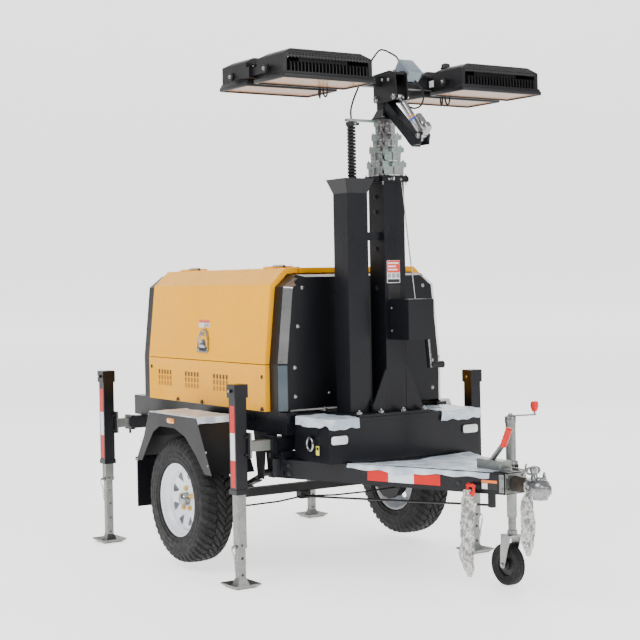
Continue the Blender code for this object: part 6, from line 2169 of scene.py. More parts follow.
@dataclass
class Jockey(SubAssembly):
    """The jockey: smooth tubes, clamp, crank with a red knob, and a wheel with a grooved tyre."""

    x: float = 0.909
    y: float = 0.312
    tube: float = 0.024
    leg: float = 0.019
    wheel_x: float = 0.874
    wheel_radius: float = 0.100

    def outer(self) -> Surface:
        """The outer tube with its collars, and the cap that the crank stands on.

        Returns:
            The tube, collars and cap.
        """
        r = self.tube
        rows = [(self.leg + 0.001, 0.330), (r - 0.001, 0.330), (r, 0.331), (r, 0.5150), (r + 0.0082, 0.5165),
                (r + 0.0088, 0.5185), (r + 0.0088, 0.5955), (r + 0.0080, 0.5975), (r, 0.5985), (r, 0.7780),
                (r + 0.0022, 0.7790), (r + 0.0026, 0.7805), (r + 0.0026, 0.8065), (r + 0.0010, 0.8100),
                (0.008, 0.8105), (0.008, 0.8160), (0, 0.8165)]
        return turned(rows, (self.x, self.y, 0), (0, 0, 1), 64)

    def clamp(self) -> Surface:
        """The bracket from the rail: a plate, a split collar's lugs and its tee bolt.

        Returns:
            The bracket and its bolt.
        """
        parts = []
        for z in (0.533, 0.580):
            outline = [(0.864, 0.2375), (0.954, 0.2020), (0.954, 0.302), (0.864, 0.302)]
            parts.append(slab(outline, 2, z - 0.003, z + 0.003))
        parts.append(box((0.930, self.y - 0.006, 0.530), (0.952, self.y + 0.010, 0.584)))
        shank = pin((0.926, 0.3245, 0.558), (0.985, 0.3405, 0.558), 0.0052, 14)
        tee = pin((0.978, 0.3290, 0.530), (0.978, 0.3470, 0.588), 0.0046, 14)
        return joined([*parts, shank.painted(1), tee.painted(1)])

    def crank(self) -> Surface:
        """The crank's arm as a bar on a smooth route with a flattened section, and its hub nut.

        Returns:
            The arm and its nut.
        """
        route = [(0.901, 0.3000, 0.8110), (0.909, 0.3120, 0.8125), (0.940, 0.361, 0.8140), (0.967, 0.404, 0.8160),
                 (0.975, 0.416, 0.8165)]
        arm = carried(rounded(0.0075, 0.0160, 0.003), smooth(route, 6), hint=(0, 0, 1))
        nut = bolt_head(0.0110).moved((self.x, self.y, 0.8160))
        stem = pin((0.971, 0.410, 0.8160), (0.971, 0.410, 0.8340), 0.0052, 16)
        return joined([arm, nut, stem])

    def knob(self) -> Surface:
        """The red knob, spun from its outline.

        Its radius is then multiplied by 1 plus a small wave of eight lobes round it.

        Returns:
            The knob.
        """
        s = np.linspace(0, 1, 25)
        radius = 0.0150 + 0.0042 * np.clip(np.sin((s - 0.22) * TURN * 0.62), -0.6, 0.85)
        lobes = 1 + 0.035 * np.cos(np.arange(48) * TURN / 48 * 8)
        rows = np.vstack([[0, 0.8330], np.stack([radius, 0.8330 + s * 0.0450], axis=1), [0.0120, 0.8798],
                          [0, 0.8805]])
        body = turned(rows, (0, 0, 0), (0, 0, 1), 48)
        angle = np.arctan2(body.points[:, 1], body.points[:, 0])
        grow = np.interp(np.mod(angle, TURN), np.arange(49) * TURN / 48, np.append(lobes, lobes[0]))
        body.points = body.points * np.stack([grow, grow, np.ones_like(grow)], axis=1)
        return body.moved((0.971, 0.410, 0.0))

    def inner(self) -> Surface:
        """The sliding leg with its foot collar.

        Returns:
            The leg and its collar.
        """
        rows = [(0, 0.7240), (self.leg - 0.001, 0.7240), (self.leg, 0.7230), (self.leg, 0.2700),
                (self.leg + 0.0050, 0.2685), (self.leg + 0.0052, 0.2490), (self.leg + 0.004, 0.2482),
                (0, 0.2482)]
        return turned(rows, (self.x, self.y, 0), (0, 0, 1), 56)

    def fork(self) -> Surface:
        """The fork: a crown plate and two cheeks, each tapering to a round end at the axle.

        Returns:
            The fork.
        """
        parts = [box((0.864, 0.2795, 0.2364), (0.936, 0.3445, 0.2472))]
        angle = np.linspace(-math.pi, 0, 13)
        tip = np.stack([self.wheel_x + 0.017 * np.cos(angle), 0.100 + 0.017 * np.sin(angle)], axis=1)
        outline = [*map(tuple, tip), (0.9355, 0.2462), (0.8650, 0.2462)]
        for sign in (-1, 1):
            low, high = sorted((self.y + sign * 0.0312, self.y + sign * 0.0358))
            parts.append(slab(outline, 1, low, high))
            face = self.y + sign * 0.0358
            parts.append(bolt_head(0.0105).placed(facing((0, sign, 0)), (self.wheel_x, face, 0.100)))
        return joined(parts)

    def wheel(self) -> Surface:
        """The tyre: its section is spun with a groove each side of the crown, and shallow cross cuts.

        The radius at angle a loses 0.0012 wherever the sine of 40 a is over 0.8, on the crown only.

        Returns:
            The closed ring.
        """
        section = np.array([(0.060, -0.0180), (0.074, -0.0205), (0.086, -0.0246), (0.094, -0.0246),
                            (0.0985, -0.0205), (0.1000, -0.0160), (0.1000, -0.0120), (0.0978, -0.0110),
                            (0.0978, -0.0085), (0.1000, -0.0075), (0.1000, 0.0075), (0.0978, 0.0085),
                            (0.0978, 0.0110), (0.1000, 0.0120), (0.1000, 0.0160), (0.0985, 0.0205),
                            (0.094, 0.0246), (0.086, 0.0246), (0.074, 0.0205), (0.060, 0.0180)])
        angle = np.arange(240) * TURN / 240
        notch = (np.sin(angle * 40) > 0.8)[:, None] * (section[None, :, 0] > 0.0992) * 0.0012
        radius = section[None, :, 0] - notch
        points = np.stack([self.wheel_x + radius * np.cos(angle)[:, None],
                           self.y + 0 * radius + section[None, :, 1],
                           self.wheel_radius + radius * np.sin(angle)[:, None]], axis=-1)
        return grid(points, wrap_rows=True, wrap_columns=True)

    def rim(self) -> Surface:
        """The wheel's plastic middle with its hub.

        Returns:
            The wheel's middle.
        """
        rows = [(0.009, -0.0205), (0.024, -0.0205), (0.027, -0.0175), (0.028, -0.0085), (0.052, -0.0075),
                (0.056, -0.0160), (0.0615, -0.0190), (0.0615, 0.0190), (0.056, 0.0160), (0.052, 0.0075),
                (0.028, 0.0085), (0.027, 0.0175), (0.024, 0.0205), (0.009, 0.0205), (0.009, -0.0205)]
        return turned(rows, (self.wheel_x, self.y, self.wheel_radius), (0, 1, 0), 56)

    def pieces(self) -> Iterator[Piece]:
        """Tube, clamp, crank, knob, leg, fork, tyre and wheel middle.

        Returns:
            Each piece in turn.
        """
        yield Piece("jockey_outer", self.outer(), [GALVANISED], slot="galvanised", angle=50,
                    stands_for=["jockey_tube"])
        yield Piece("jockey_clamp", self.clamp(), [BLACK, SILVER], bevel=0.0008)
        yield Piece("jockey_crank", self.crank(), [PLATED], angle=50)
        yield Piece("jockey_knob", self.knob(), [RED_PLASTIC], angle=60)
        yield Piece("jockey_inner", self.inner(), [GALVANISED], "jockey_leg", "galvanised", angle=50,
                    stands_for=["jockey_leg"])
        yield Piece("jockey_cheeks", self.fork(), [PLATED], "jockey_fork", "galvanised", bevel=0.0006,
                    stands_for=["jockey_fork"])
        yield Piece("jockey_tyre", self.wheel(), [TYRE], "jockey_wheel", "rubber_tyre",
                    stands_for=["jockey_wheel"])
        yield Piece("jockey_rim", self.rim(), [BLACK_PLASTIC], "jockey_wheel")


# Mast

@dataclass
class Mast(SubAssembly):
    """The mast's fittings: collar studs and pads, guide plates, rope sheaves, clip, notices and winch crank."""

    x: float = MAST_X
    sides: tuple[float, ...] = (0.125, 0.107, 0.089, 0.071, 0.053)
    bottoms: tuple[float, ...] = (1.952, 2.023, 2.097, 2.160, 2.231)
    flange: float = 0.014
    height: float = 0.030

    def collar(self, level: int) -> Surface:
        """What is bolted to one collar: corner studs with nuts, wear pads and side screws.

        Args:
            level: 0 for the outer mast's collar, up to 4.

        Returns:
            Steel in the first finish, pads in the second.
        """
        side, bottom = self.sides[level], self.bottoms[level]
        reach = side / 2 + self.flange
        corner = reach - 0.0065
        studs = np.array([(self.x + a * corner, b * corner, 0) for a in (-1, 1) for b in (-1, 1)])
        stud = joined([pin((0, 0, bottom - 0.016), (0, 0, bottom + self.height + 0.009), 0.0028, 10),
                       bolt_head(0.0052).moved((0, 0, bottom + self.height - 0.0002)),
                       bolt_head(0.0052).placed(facing((0, 0, -1)), (0, 0, bottom + 0.0002))])
        parts = [stud.repeated(studs)]
        z = bottom + self.height / 2 - 0.003
        at, turns = [], []
        for axis in (0, 1):
            for sign in (-1, 1):
                for shift in (-0.28, 0.28):
                    spot = np.array([self.x, 0, z])
                    spot[axis] += sign * reach
                    spot[1 - axis] += shift * side
                    at.append(spot)
                    turns.append(facing(np.eye(3)[axis] * sign))
        parts.append(bolt_head(0.0058).repeated(np.array(at), np.array(turns)))
        top = bottom + self.height
        for axis in (0, 1):
            for sign in (-1, 1):
                low, high = np.array([self.x, 0, top - 0.001]), np.array([self.x, 0, top + 0.0055])
                inner, outer = side / 2 + 0.0008, side / 2 + 0.0075
                low[axis] += sign * inner if sign > 0 else -outer
                high[axis] += sign * outer if sign > 0 else -inner
                low[1 - axis] -= side * 0.26
                high[1 - axis] += side * 0.26
                parts.append(box(low, high).painted(1))
        return joined(parts)

    def sheave(self, level: int) -> Surface:
        """A rope sheave in its bracket on the collar's front, spun with a groove, and its axle bolt.

        Args:
            level: 0 for the outer mast's collar, up to 4.

        Returns:
            The sheave, bracket and bolt.
        """
        side, bottom = self.sides[level], self.bottoms[level]
        at = np.array([self.x + side / 2 + self.flange + 0.009, -side * 0.18, bottom + self.height * 0.5])
        wheel = turned([(0, -0.0050), (0.0125, -0.0050), (0.0130, -0.0042), (0.0095, -0.0008), (0.0095, 0.0008),
                        (0.0130, 0.0042), (0.0125, 0.0050), (0, 0.0050)], at, (0, 1, 0), 32)
        bolt = pin(at - (0, 0.0095, 0), at + (0, 0.0095, 0), 0.0034, 10)
        cheeks = [slab([(at[0] - 0.0105, at[2] - 0.009), (at[0] + 0.004, at[2] - 0.008),
                        (at[0] + 0.006, at[2] + 0.006), (at[0] - 0.0105, at[2] + 0.009)], 1,
                       at[1] + dy, at[1] + dy + 0.0018) for dy in (-0.0078, 0.0060)]
        return joined([wheel, bolt, *cheeks])

    def notices(self) -> Surface:
        """Blank notices on the mast's front: one with a red upper half over white and grey fields, one black.

        Returns:
            The notices' plates.
        """
        face = self.x + self.sides[0] / 2
        parts = [box((face - 0.0002, -0.050, 1.455), (face + 0.0010, 0.028, 1.566))]
        parts.append(box((face + 0.0008, -0.049, 1.506), (face + 0.0014, 0.027, 1.565)).painted(1))
        for z, reach in ((1.549, 0.020), (1.533, 0.004), (1.517, 0.012)):
            parts.append(box((face + 0.0012, -0.044, z), (face + 0.0018, reach, z + 0.007)).painted(3))
        for y in (-0.047, -0.021, 0.005):
            parts.append(box((face + 0.0008, y, 1.480), (face + 0.0014, y + 0.020, 1.502)).painted(2))
        parts.append(box((face + 0.0008, -0.047, 1.458), (face + 0.0013, 0.025, 1.474)).painted(4))
        plate = box((face - 0.0002, -0.046, 1.374), (face + 0.0020, 0.028, 1.446)).painted(4)
        rib = box((face + 0.0015, -0.043, -0.0022), (face + 0.0042, 0.025, 0.0022)).painted(4)
        levels = np.linspace(1.381, 1.439, 8)
        parts += [plate, rib.repeated(np.stack([0 * levels, 0 * levels, levels], axis=1))]
        return joined(parts)

    def side_bolts(self) -> Surface:
        """Adjusting screws with lock nuts, down the outer mast's right and left faces.

        Returns:
            The screws and nuts.
        """
        places = [(self.x - 0.006, self.sides[0] / 2, z) for z in (1.880, 1.806, 1.624, 1.430)]
        return both_sides(bolt_head(0.0105), places)

    def skirts(self, level: int) -> Surface:
        """The guide plates that hang from a collar: a bent plate on each face, with a window edge and bolts.

        Args:
            level: 0 for the outer mast's collar, up to 4.

        Returns:
            The plates and bolts.
        """
        side, bottom = self.sides[level], self.bottoms[level]
        reach = side / 2 + self.flange - 0.0035
        half = reach - 0.0065
        plate = slab([(-half, -0.040), (-half + 0.006, -0.046), (half - 0.016, -0.046), (half, -0.034),
                      (half, 0.001), (-half, 0.001)], 1, 0.0, 0.0022)
        rib = box((-0.0015, 0.0, -0.044), (0.0015, 0.0085, -0.001))
        heads = bolt_head(0.0052).placed(facing((0, 1, 0)), (0, 0.0020, 0)).repeated(
            np.array([(a * half * 0.62, 0.0, z) for a in (-1, 1) for z in (-0.034, -0.012)]))
        one = joined([plate, rib, heads]).moved((0, reach, bottom))
        turns = about((0, 0, 1), np.array([0.0, 90.0, 180.0, 270.0]))
        whole = one.repeated(np.zeros((4, 3)), turns)
        return whole.moved((self.x, 0, 0))

    def cable_clip(self) -> Surface:
        """The black clip that holds the cord to the top section's side arm, and its screw.

        Returns:
            The clip and its screw.
        """
        parts = [box((0.349, -0.2230, 2.2245), (0.387, -0.1820, 2.2430)),
                 box((0.355, -0.1840, 2.2270), (0.381, -0.1640, 2.2400))]
        parts.append(bolt_head(0.0060).placed(facing((1, 0, 0)), (0.3868, -0.192, 2.2335)).painted(1))
        return joined(parts)

    def winch_gear(self) -> Surface:
        """The crank's steel arm on its hub, and the cover's screws, over the winch's own shape.

        Returns:
            The arm, hub and screws.
        """
        hub, grip = np.array([0.482, 0.142, 1.262]), np.array([0.512, 0.142, 1.048])
        path = np.linspace(hub + (0, 0, 0.016), grip - (0, 0, 0.014), 9)
        parts = [carried(rounded(0.0125, 0.0290, 0.003), path, hint=(0, 1, 0)),
                 bolt_head(0.0135).placed(facing((0, 1, 0)), hub + (0, 0.0118, 0))]
        at = np.array([(0.442, -0.0350, 1.333), (0.442, -0.0350, 1.221)])
        parts.append(bolts(0.0062, at, (0, -1, 0)))
        return joined(parts)

    def winch_grip(self) -> Surface:
        """The crank's rubber grip: rings along a handle, its radius a wave along Y.

        Returns:
            The grip.
        """
        s = np.linspace(0, 1, 61)
        radius = 0.0158 + 0.0009 * np.cos(s * TURN * 12) + 0.0008 * np.cos(s * TURN)
        rows = np.vstack([[0, 0.1455], np.stack([radius, 0.1460 + s * 0.0760], axis=1), [0.011, 0.2232],
                          [0, 0.2240]])
        return turned(rows, (0.512, 0, 1.048), (0, 1, 0), 40)

    def pieces(self) -> Iterator[Piece]:
        """Fittings of each collar on its own section, and what stays on the outer mast.

        Returns:
            Each piece in turn.
        """
        bodies = ("root", "mast_1", "mast_2", "mast_3", "mast_4")
        for level, body in enumerate(bodies):
            yield Piece(f"collar_fittings_{level}", self.collar(level), [PLATED, WHITE_PLASTIC], body,
                        bevel=0.0003)
            if level:
                yield Piece(f"guide_plates_{level}", self.skirts(level), [PLATED], body, bevel=0.0003)
            if level < 4:
                yield Piece(f"sheave_{level}", self.sheave(level), [PLATED], body)
        yield Piece("cable_clip", self.cable_clip(), [BLACK_PLASTIC, SILVER], "mast_4", bevel=0.0008)
        yield Piece("mast_notices", self.notices(),
                    [WHITE_LABEL, RED_LABEL, GREY_LABEL, WHITE_PLASTIC, BLACK_PLASTIC])
        yield Piece("mast_screws", self.side_bolts(), [BLACK_PLASTIC])
        yield Piece("winch_crank", self.winch_gear(), [SILVER], angle=50)
        yield Piece("winch_grip", self.winch_grip(), [FLAP_RUBBER], angle=60)


# Mast head

@dataclass
class Head(SubAssembly):
    """The head's fittings: bolts, actuator, the junction box's case, lamp knobs, a light sensor and a card."""

    half: float = 0.0375            # from the middle to the bracket plates' outer faces
    tilt: tuple[float, float] = (0.349, 2.362)
    low_pin: tuple[float, float] = (0.674, 2.155)
    eye: tuple[float, float] = (0.494, 2.362)
    box_size: Vector3 = (0.112, 0.086, 0.054)
    lamp_spread: float = 0.155
    yoke_outer: float = 0.7780      # the outer yoke plates' outer faces
    yoke_inner: float = 0.2520      # the inner yoke plates' inner faces

    def in_line(self) -> tuple[Array, Array, Array, float]:
        """The actuator's low pin, its direction, the direction to its motor and its length.

        Returns:
            The pin, both directions and the length.
        """
        low = np.array([self.low_pin[0], 0, self.low_pin[1]])
        reach = np.array([self.eye[0], 0, self.eye[1]]) - low
        length = float(np.linalg.norm(reach))
        along = reach / length
        return low, along, np.array([along[2], 0, -along[0]]), length

    def body(self) -> Surface:
        """The actuator's tube, gear case and motor, each spun or lofted in the actuator's own axes.

        Returns:
            The tube, gear case and motor.
        """
        low, along, side, length = self.in_line()
        end = length - 0.040
        tube = [(0.0108, 0.030), (0.0165, 0.030), (0.0176, 0.031), (0.0176, end - 0.030), (0.0184, end - 0.028),
                (0.0184, end - 0.004), (0.0172, end - 0.001), (0.0108, end - 0.001), (0.0108, 0.030)]
        motor = [(0, 0.0), (0.0160, 0.0), (0.0186, 0.0025), (0.0186, 0.0700), (0.0176, 0.0712),
                 (0.0176, 0.0900), (0.0165, 0.0945), (0, 0.0955)]
        parts = [turned(tube, low, along, 48),
                 turned(motor, low + side * 0.040 + along * 0.002, along, 48)]
        outline = rounded(0.098, 0.034, 0.012, 6) + (0.020, 0.0)
        rings = []
        for level, scale in ((-0.010, 0.92), (-0.007, 1.0), (0.022, 1.0), (0.030, 0.94)):
            flat = outline * (scale, scale)
            rings.append(low + along * level + flat[:, :1] * side + flat[:, 1:] * np.array([0, 1.0, 0]))
        parts.append(grid(np.stack(rings), wrap_columns=True, capped=True))
        parts.append(pin(low - (0, 0.0205, 0), low + (0, 0.0205, 0), 0.0128, 32))
        strip = turned([(0.0179, 0.100), (0.0181, 0.1005), (0.0181, 0.1145), (0.0179, 0.115), (0.0170, 0.115),
                        (0.0170, 0.100), (0.0179, 0.100)], low, along, 48).painted(1)
        band = turned([(0.0179, 0.118), (0.0181, 0.1185), (0.0181, 0.1265), (0.0179, 0.127), (0.0170, 0.127),
                       (0.0170, 0.118), (0.0179, 0.118)], low, along, 48).painted(2)
        cap = turned([(0, 0.0905), (0.0150, 0.0905), (0.0150, 0.0985), (0.0120, 0.1015), (0, 0.1020)],
                     low + side * 0.040 + along * 0.002, along, 36).painted(3)
        return joined([*parts, strip, band, cap])

    def rod(self) -> Surface:
        """The actuator's polished rod and its eye.

        Returns:
            The rod and its eye.
        """
        low, along, _, length = self.in_line()
        eye = low + along * length
        parts = [pin(low + along * 0.060, eye - along * 0.008, 0.0100, 40),
                 pin(eye - (0, 0.0198, 0), eye + (0, 0.0198, 0), 0.0134, 36)]
        return joined(parts)

    def pivot_bolts(self) -> Surface:
        """Bolt heads at the tilt pin and the rod's eye, on both bracket plates.

        Returns:
            The bolts.
        """
        large = [(x, self.half, z) for x, z in (self.tilt, self.eye)]
        small = [(x, self.half, z) for x, z in ((0.400, 2.452), (0.452, 2.448))]
        return joined([both_sides(bolt_head(0.0135), large), both_sides(bolt_head(0.0085), small)])

    def foot_bolts(self) -> Surface:
        """Bolts at the post's foot and at the actuator's lower bracket, which stay with the top section.

        Returns:
            The bolts.
        """
        feet = np.array([(MAST_X + a * 0.040, b * 0.040, 2.2690) for a in (-1, 1) for b in (-1, 1)])
        low = [(self.low_pin[0], 0.0290, self.low_pin[1])]
        return joined([bolt_head(0.0075).repeated(feet), both_sides(bolt_head(0.0125), low)])

    def box_lid(self) -> Surface:
        """The junction box: its case, a lid with a raised field, four screws, two glands and the cable's union.

        It is drawn flat about the box's middle, then turned by the box's tilt about Y.

        Returns:
            Case in the first finish, screws and union in the second and glands in the third.
        """
        half_x, half_y, half_z = (side / 2 for side in self.box_size)
        rings = []
        for grow, radius, level in ((0.003, 0.008, half_z - 0.006), (0.003, 0.008, half_z + 0.0005),
                                    (0.001, 0.007, half_z + 0.0040), (-0.010, 0.006, half_z + 0.0045),
                                    (-0.011, 0.006, half_z + 0.0062), (-0.014, 0.005, half_z + 0.0066)):
            line = rounded(2 * (half_x + grow), 2 * (half_y + grow), radius)
            rings.append(np.insert(line, 2, level, axis=1))
        parts = [grid(np.stack(rings), wrap_columns=True, capped=True)]
        case = [np.insert(rounded(2 * (half_x - inset), 2 * (half_y - inset), 0.007), 2, level, axis=1)
                for inset, level in ((0.002, -half_z), (0.0, -half_z + 0.002), (0.0, half_z - 0.004),
                                     (0.004, half_z - 0.003))]
        parts.append(grid(np.stack(case), wrap_columns=True, capped=True))
        union = turned([(0, half_x - 0.002), (0.0135, half_x - 0.002), (0.0135, half_x + 0.012),
                        (0.0095, half_x + 0.014), (0.0095, half_x + 0.020), (0.0120, half_x + 0.021),
                        (0.0120, half_x + 0.033), (0.0085, half_x + 0.035), (0.0085, GLAND_REACH - 0.004),
                        (0.0060, GLAND_REACH + 0.002), (0, GLAND_REACH + 0.002)],
                       (0, 0, 0), (-1, 0, 0), 24)
        parts.append(union.painted(1))
        corners = np.array([(a * (half_x - 0.004), b * (half_y - 0.004), half_z + 0.0040)
                            for a in (-1, 1) for b in (-1, 1)])
        parts.append(dome_head(0.0075).repeated(corners).painted(1))
        nut = joined([turned([(0, 0), (0.0145, 0), (0.0145, 0.0085), (0.0130, 0.0100), (0, 0.0100)],
                             (0, 0, 0), (0, 0, 1), 6),
                      turned([(0.0125, 0.009), (0.0125, 0.020), (0.0110, 0.0245), (0.0070, 0.0265), (0, 0.0265)],
                             (0, 0, 0), (0, 0, 1), 20)]).painted(2)
        parts.append(nut.placed(facing((0, -1, 0)), (0.030, -half_y, 0.0)))
        parts.append(nut.placed(facing((0, 1, 0)), (0.030, half_y, 0.0)))
        return joined(parts).placed(about((0, 1, 0), BOX_TILT), BOX_AT)

    def lamp_knobs(self) -> Surface:
        """Round clamp knobs with their studs on both yoke plates of each pair of floodlights.

        Returns:
            The knobs and studs.
        """
        rows = [(0, 0.0), (0.0175, 0.0), (0.0190, 0.0015), (0.0190, 0.0080), (0.0170, 0.0100), (0.0085, 0.0105),
                (0.0085, 0.0120), (0, 0.0120)]
        knob = turned(rows, (0, 0, 0), (0, 0, 1), 32)
        stud = bolt_head(0.0085).moved((0, 0, 0.0115)).painted(1)
        one = joined([knob, stud])
        return both_sides(one, [(MAST_X + x, y, 2.445) for y in (self.yoke_outer, -self.yoke_inner)
                                for x in (-self.lamp_spread, self.lamp_spread)])

    def small_fittings(self) -> Surface:
        """A light sensor on one lamp's cover, and a blank white card on a yoke plate.

        Returns:
            The sensor and the card.
        """
        at = (0.440, 0.330, 2.5265)
        sensor = turned([(0, 0), (0.027, 0), (0.027, 0.004), (0.022, 0.006), (0.022, 0.018), (0.019, 0.022),
                         (0, 0.0225)], at, (0, 0, 1), 40)
        eye = turned([(0, 0.0220), (0.0125, 0.0220), (0.0125, 0.0245), (0.0100, 0.0262), (0, 0.0268)], at,
                     (0, 0, 1), 28).painted(1)
        card = box((0.405, 0.2512, 2.4305), (0.441, 0.2519, 2.4625)).painted(2)
        return joined([sensor, eye, card])

    def pieces(self) -> Iterator[Piece]:
        """Actuator, bolts, junction box, knobs and small fittings.

        Returns:
            Each piece in turn.
        """
        yield Piece("actuator_tubes", self.body(), [SILVER, BLUE_PLASTIC, AMBER_LENS, GREY_LABEL], "actuator",
                    "actuator_silver", angle=50, stands_for=["actuator_body"])
        yield Piece("actuator_piston", self.rod(), [STEEL], "actuator_rod", "actuator_silver", angle=50,
                    stands_for=["actuator_rod"])
        yield Piece("tilt_bolts", self.pivot_bolts(), [SILVER], "head")
        yield Piece("post_bolts", self.foot_bolts(), [SILVER], "mast_4")
        yield Piece("junction_case", self.box_lid(), [GREY_BOX, STEEL, BLACK_PLASTIC], "head", "grey_box",
                    bevel=0.0006, stands_for=["junction_box"])
        yield Piece("lamp_knobs", self.lamp_knobs(), [LAMP_BLACK, SILVER], "head")
        yield Piece("lamp_fittings", self.small_fittings(), [BLACK_PLASTIC, BLUE_PLASTIC, WHITE_LABEL], "head",
                    angle=50)


# Cords and chains


@dataclass
class Cords(SubAssembly):
    """The coiled cord, the head's cables and leads, the winch's rope and the wrapped chains."""

    mast: tuple[float, float] = (MAST_X, -0.2035)       # the coil's axis
    coil_low: float = 1.907
    coil_high: float = 2.243
    coil_radius: float = 0.0158
    wire: float = 0.0066
    coil_turns: int = 21
    clip_z: float = 2.2576
    cable: float = 0.0045
    wrap_rings: int = 90

    def coil(self) -> Array:
        """The coiled cord's line: a helix whose radius eases in from its axis at both ends.

        At share s of the way, the angle is 2 pi 21 s and the radius 0.0158 times a step that rises over
        the first and last 1.2 turns.

        Returns:
            The line's points.
        """
        s = np.linspace(0, 1, self.coil_turns * 20 + 1)
        ease = np.clip(np.minimum(s, 1 - s) * self.coil_turns / 1.2, 0, 1)
        ease = ease * ease * (3 - 2 * ease)
        angle = TURN * self.coil_turns * s
        radius = self.coil_radius * ease
        z = self.coil_low + (self.coil_high - self.coil_low) * s
        return np.stack([self.mast[0] + radius * np.cos(angle), self.mast[1] + radius * np.sin(angle), z], axis=1)

    def head_route(self) -> Array:
        """The head cable's line, through the points of the part's own route.

        Returns:
            The line's points.
        """
        turn = math.radians(BOX_TILT)
        away = np.array([-math.cos(turn), 0, math.sin(turn)])
        gland = np.array(BOX_AT) + away * GLAND_REACH
        x, y = self.mast
        route = [(x, y, self.clip_z), (x, y, self.clip_z + 0.010), (x - 0.006, y + 0.004, self.clip_z + 0.045),
                 (x - 0.030, -0.165, 2.360), (0.306, -0.110, 2.430), (0.297, -0.060, 2.510),
                 (0.297, -0.010, 2.580), (0.294, 0.040, 2.622), gland + away * 0.038, gland + away * 0.010, gland]
        return smooth(route, 3)

    def lamp_lead(self, x: float, y: float) -> Array:
        """A floodlight's short lead: out of the crossbar's underside, down in a loop and up into the frame.

        Args:
            x: where it enters the floodlight's frame.
            y: its place along the crossbar.

        Returns:
            The line's points.
        """
        way = math.copysign(1.0, x - self.mast[0])
        inner = self.mast[0] + way * 0.012
        return smooth([(inner, y, 2.424), (inner, y, 2.400), (inner + way * 0.001, y, 2.372),
                       (inner + way * 0.010, y + 0.004, 2.354), (x - way * 0.006, y + 0.007, 2.358),
                       (x, y + 0.008, 2.376), (x, y + 0.008, 2.394)], 5)

    def box_cable(self) -> Array:
        """The junction box's lower cable: out of its bottom gland, forward in a loop, back under the crossbar.

        Returns:
            The line's points.
        """
        return smooth([(0.457, 0.110, 2.462), (0.470, 0.122, 2.440), (0.478, 0.145, 2.412), (0.480, 0.156, 2.372),
                       (0.474, 0.145, 2.330), (0.462, 0.112, 2.314), (0.440, 0.085, 2.330), (0.415, 0.070, 2.362),
                       (0.398, 0.062, 2.400), (0.386, 0.058, 2.425)], 5)

    def bundle(self) -> Array:
        """Spare cable wound round the crossbar: a helix along Y, its section a rounded square of the bar.

        At share s of the way, the angle is 2 pi 5 s; X and Z leave the bar's middle by 0.0325 times the
        angle's cosine and sine, each raised to the power 0.6, and Y runs from 0.062 to 0.104.

        Returns:
            The line's points.
        """
        s = np.linspace(0, 1, 5 * 32 + 1)
        c, d = np.cos(TURN * 5 * s), np.sin(TURN * 5 * s)
        wide = 0.0325 + 0.0016 * np.sin(TURN * 1.7 * s)
        return np.stack([MAST_X + wide * np.sign(c) * np.abs(c) ** 0.6, 0.062 + 0.042 * s,
                         2.445 + wide * np.sign(d) * np.abs(d) ** 0.6], axis=1)

    def rope(self) -> Array:
        """The winch's taut rope, from the cover's slot up to the outer mast's collar."""
        low, high = np.array([0.548, 0.030, 1.3755]), np.array([0.4545, 0.030, 1.950])
        return low + np.linspace(0, 1, 60)[:, None] * (high - low)

    def links(self, top: Array, bottom: Array, bow: float) -> Surface:
        """A hanging chain: one link copied down a slightly bowed line, every other one turned a quarter.

        Args:
            top: where the chain starts.
            bottom: where it ends.
            bow: how far its middle swings forward.

        Returns:
            The chain's links.
        """
        angle = np.linspace(0, TURN, 24, endpoint=False)
        stretch = np.where(np.sin(angle) >= 0, 0.0065, -0.0065)
        shape = np.stack([0.0072 * np.cos(angle), 0 * angle, stretch + 0.0072 * np.sin(angle)], axis=1)
        one = carried(circle(0.0027, 8), shape, hint=(0, 1, 0), closed=True)
        length = float(np.linalg.norm(bottom - top))
        count = int(length / 0.0205)
        share = (np.arange(count) + 0.5) / count
        at = top + share[:, None] * (bottom - top) + np.sin(share * math.pi)[:, None] * np.array([bow, 0, 0])
        return one.repeated(at, about((0, 0, 1), np.where(np.arange(count) % 2 == 0, 20, 110)))

    def wrapping(self, centre: Array, sizes: Array, seed: float) -> Surface:
        """Crumpled film round a chain: rings down it, each of its own width and depth.

        The radius at angle a and height z is the ring's own times 0.82, plus a tenth of a sum of skewed waves,
        plus 0.03 a turn, so that the film's two long edges lap over each other.

        Args:
            centre: (rings, 3) middles.
            sizes: (rings, 2) half widths and half depths.
            seed: the shift of its wrinkles.

        Returns:
            The film, rolled up with a lapped seam.
        """
        steps = np.linspace(0, len(centre) - 1, self.wrap_rings)
        middle = np.stack([np.interp(steps, np.arange(len(centre)), centre[:, k]) for k in range(3)], axis=1)
        half = np.stack([np.interp(steps, np.arange(len(centre)), sizes[:, k]) for k in range(2)], axis=1)
        angle = np.linspace(0, 1.05 * TURN, 68)
        z = middle[:, 2:3]
        fold = np.sin(3 * angle[None] + 41 * z + seed) + 0.7 * np.sin(7 * angle[None] - 83 * z + 2 * seed)
        fold += 0.5 * np.sin(11 * angle[None] + 137 * z + seed * 3 + fold)
        grow = 0.82 + 0.100 * fold + 0.03 * angle / TURN
        x = middle[:, :1] + half[:, :1] * np.cos(angle)[None] * grow
        y = middle[:, 1:2] + half[:, 1:] * np.sin(angle)[None] * grow
        return grid(np.stack([x, y, z + 0 * x], axis=-1))

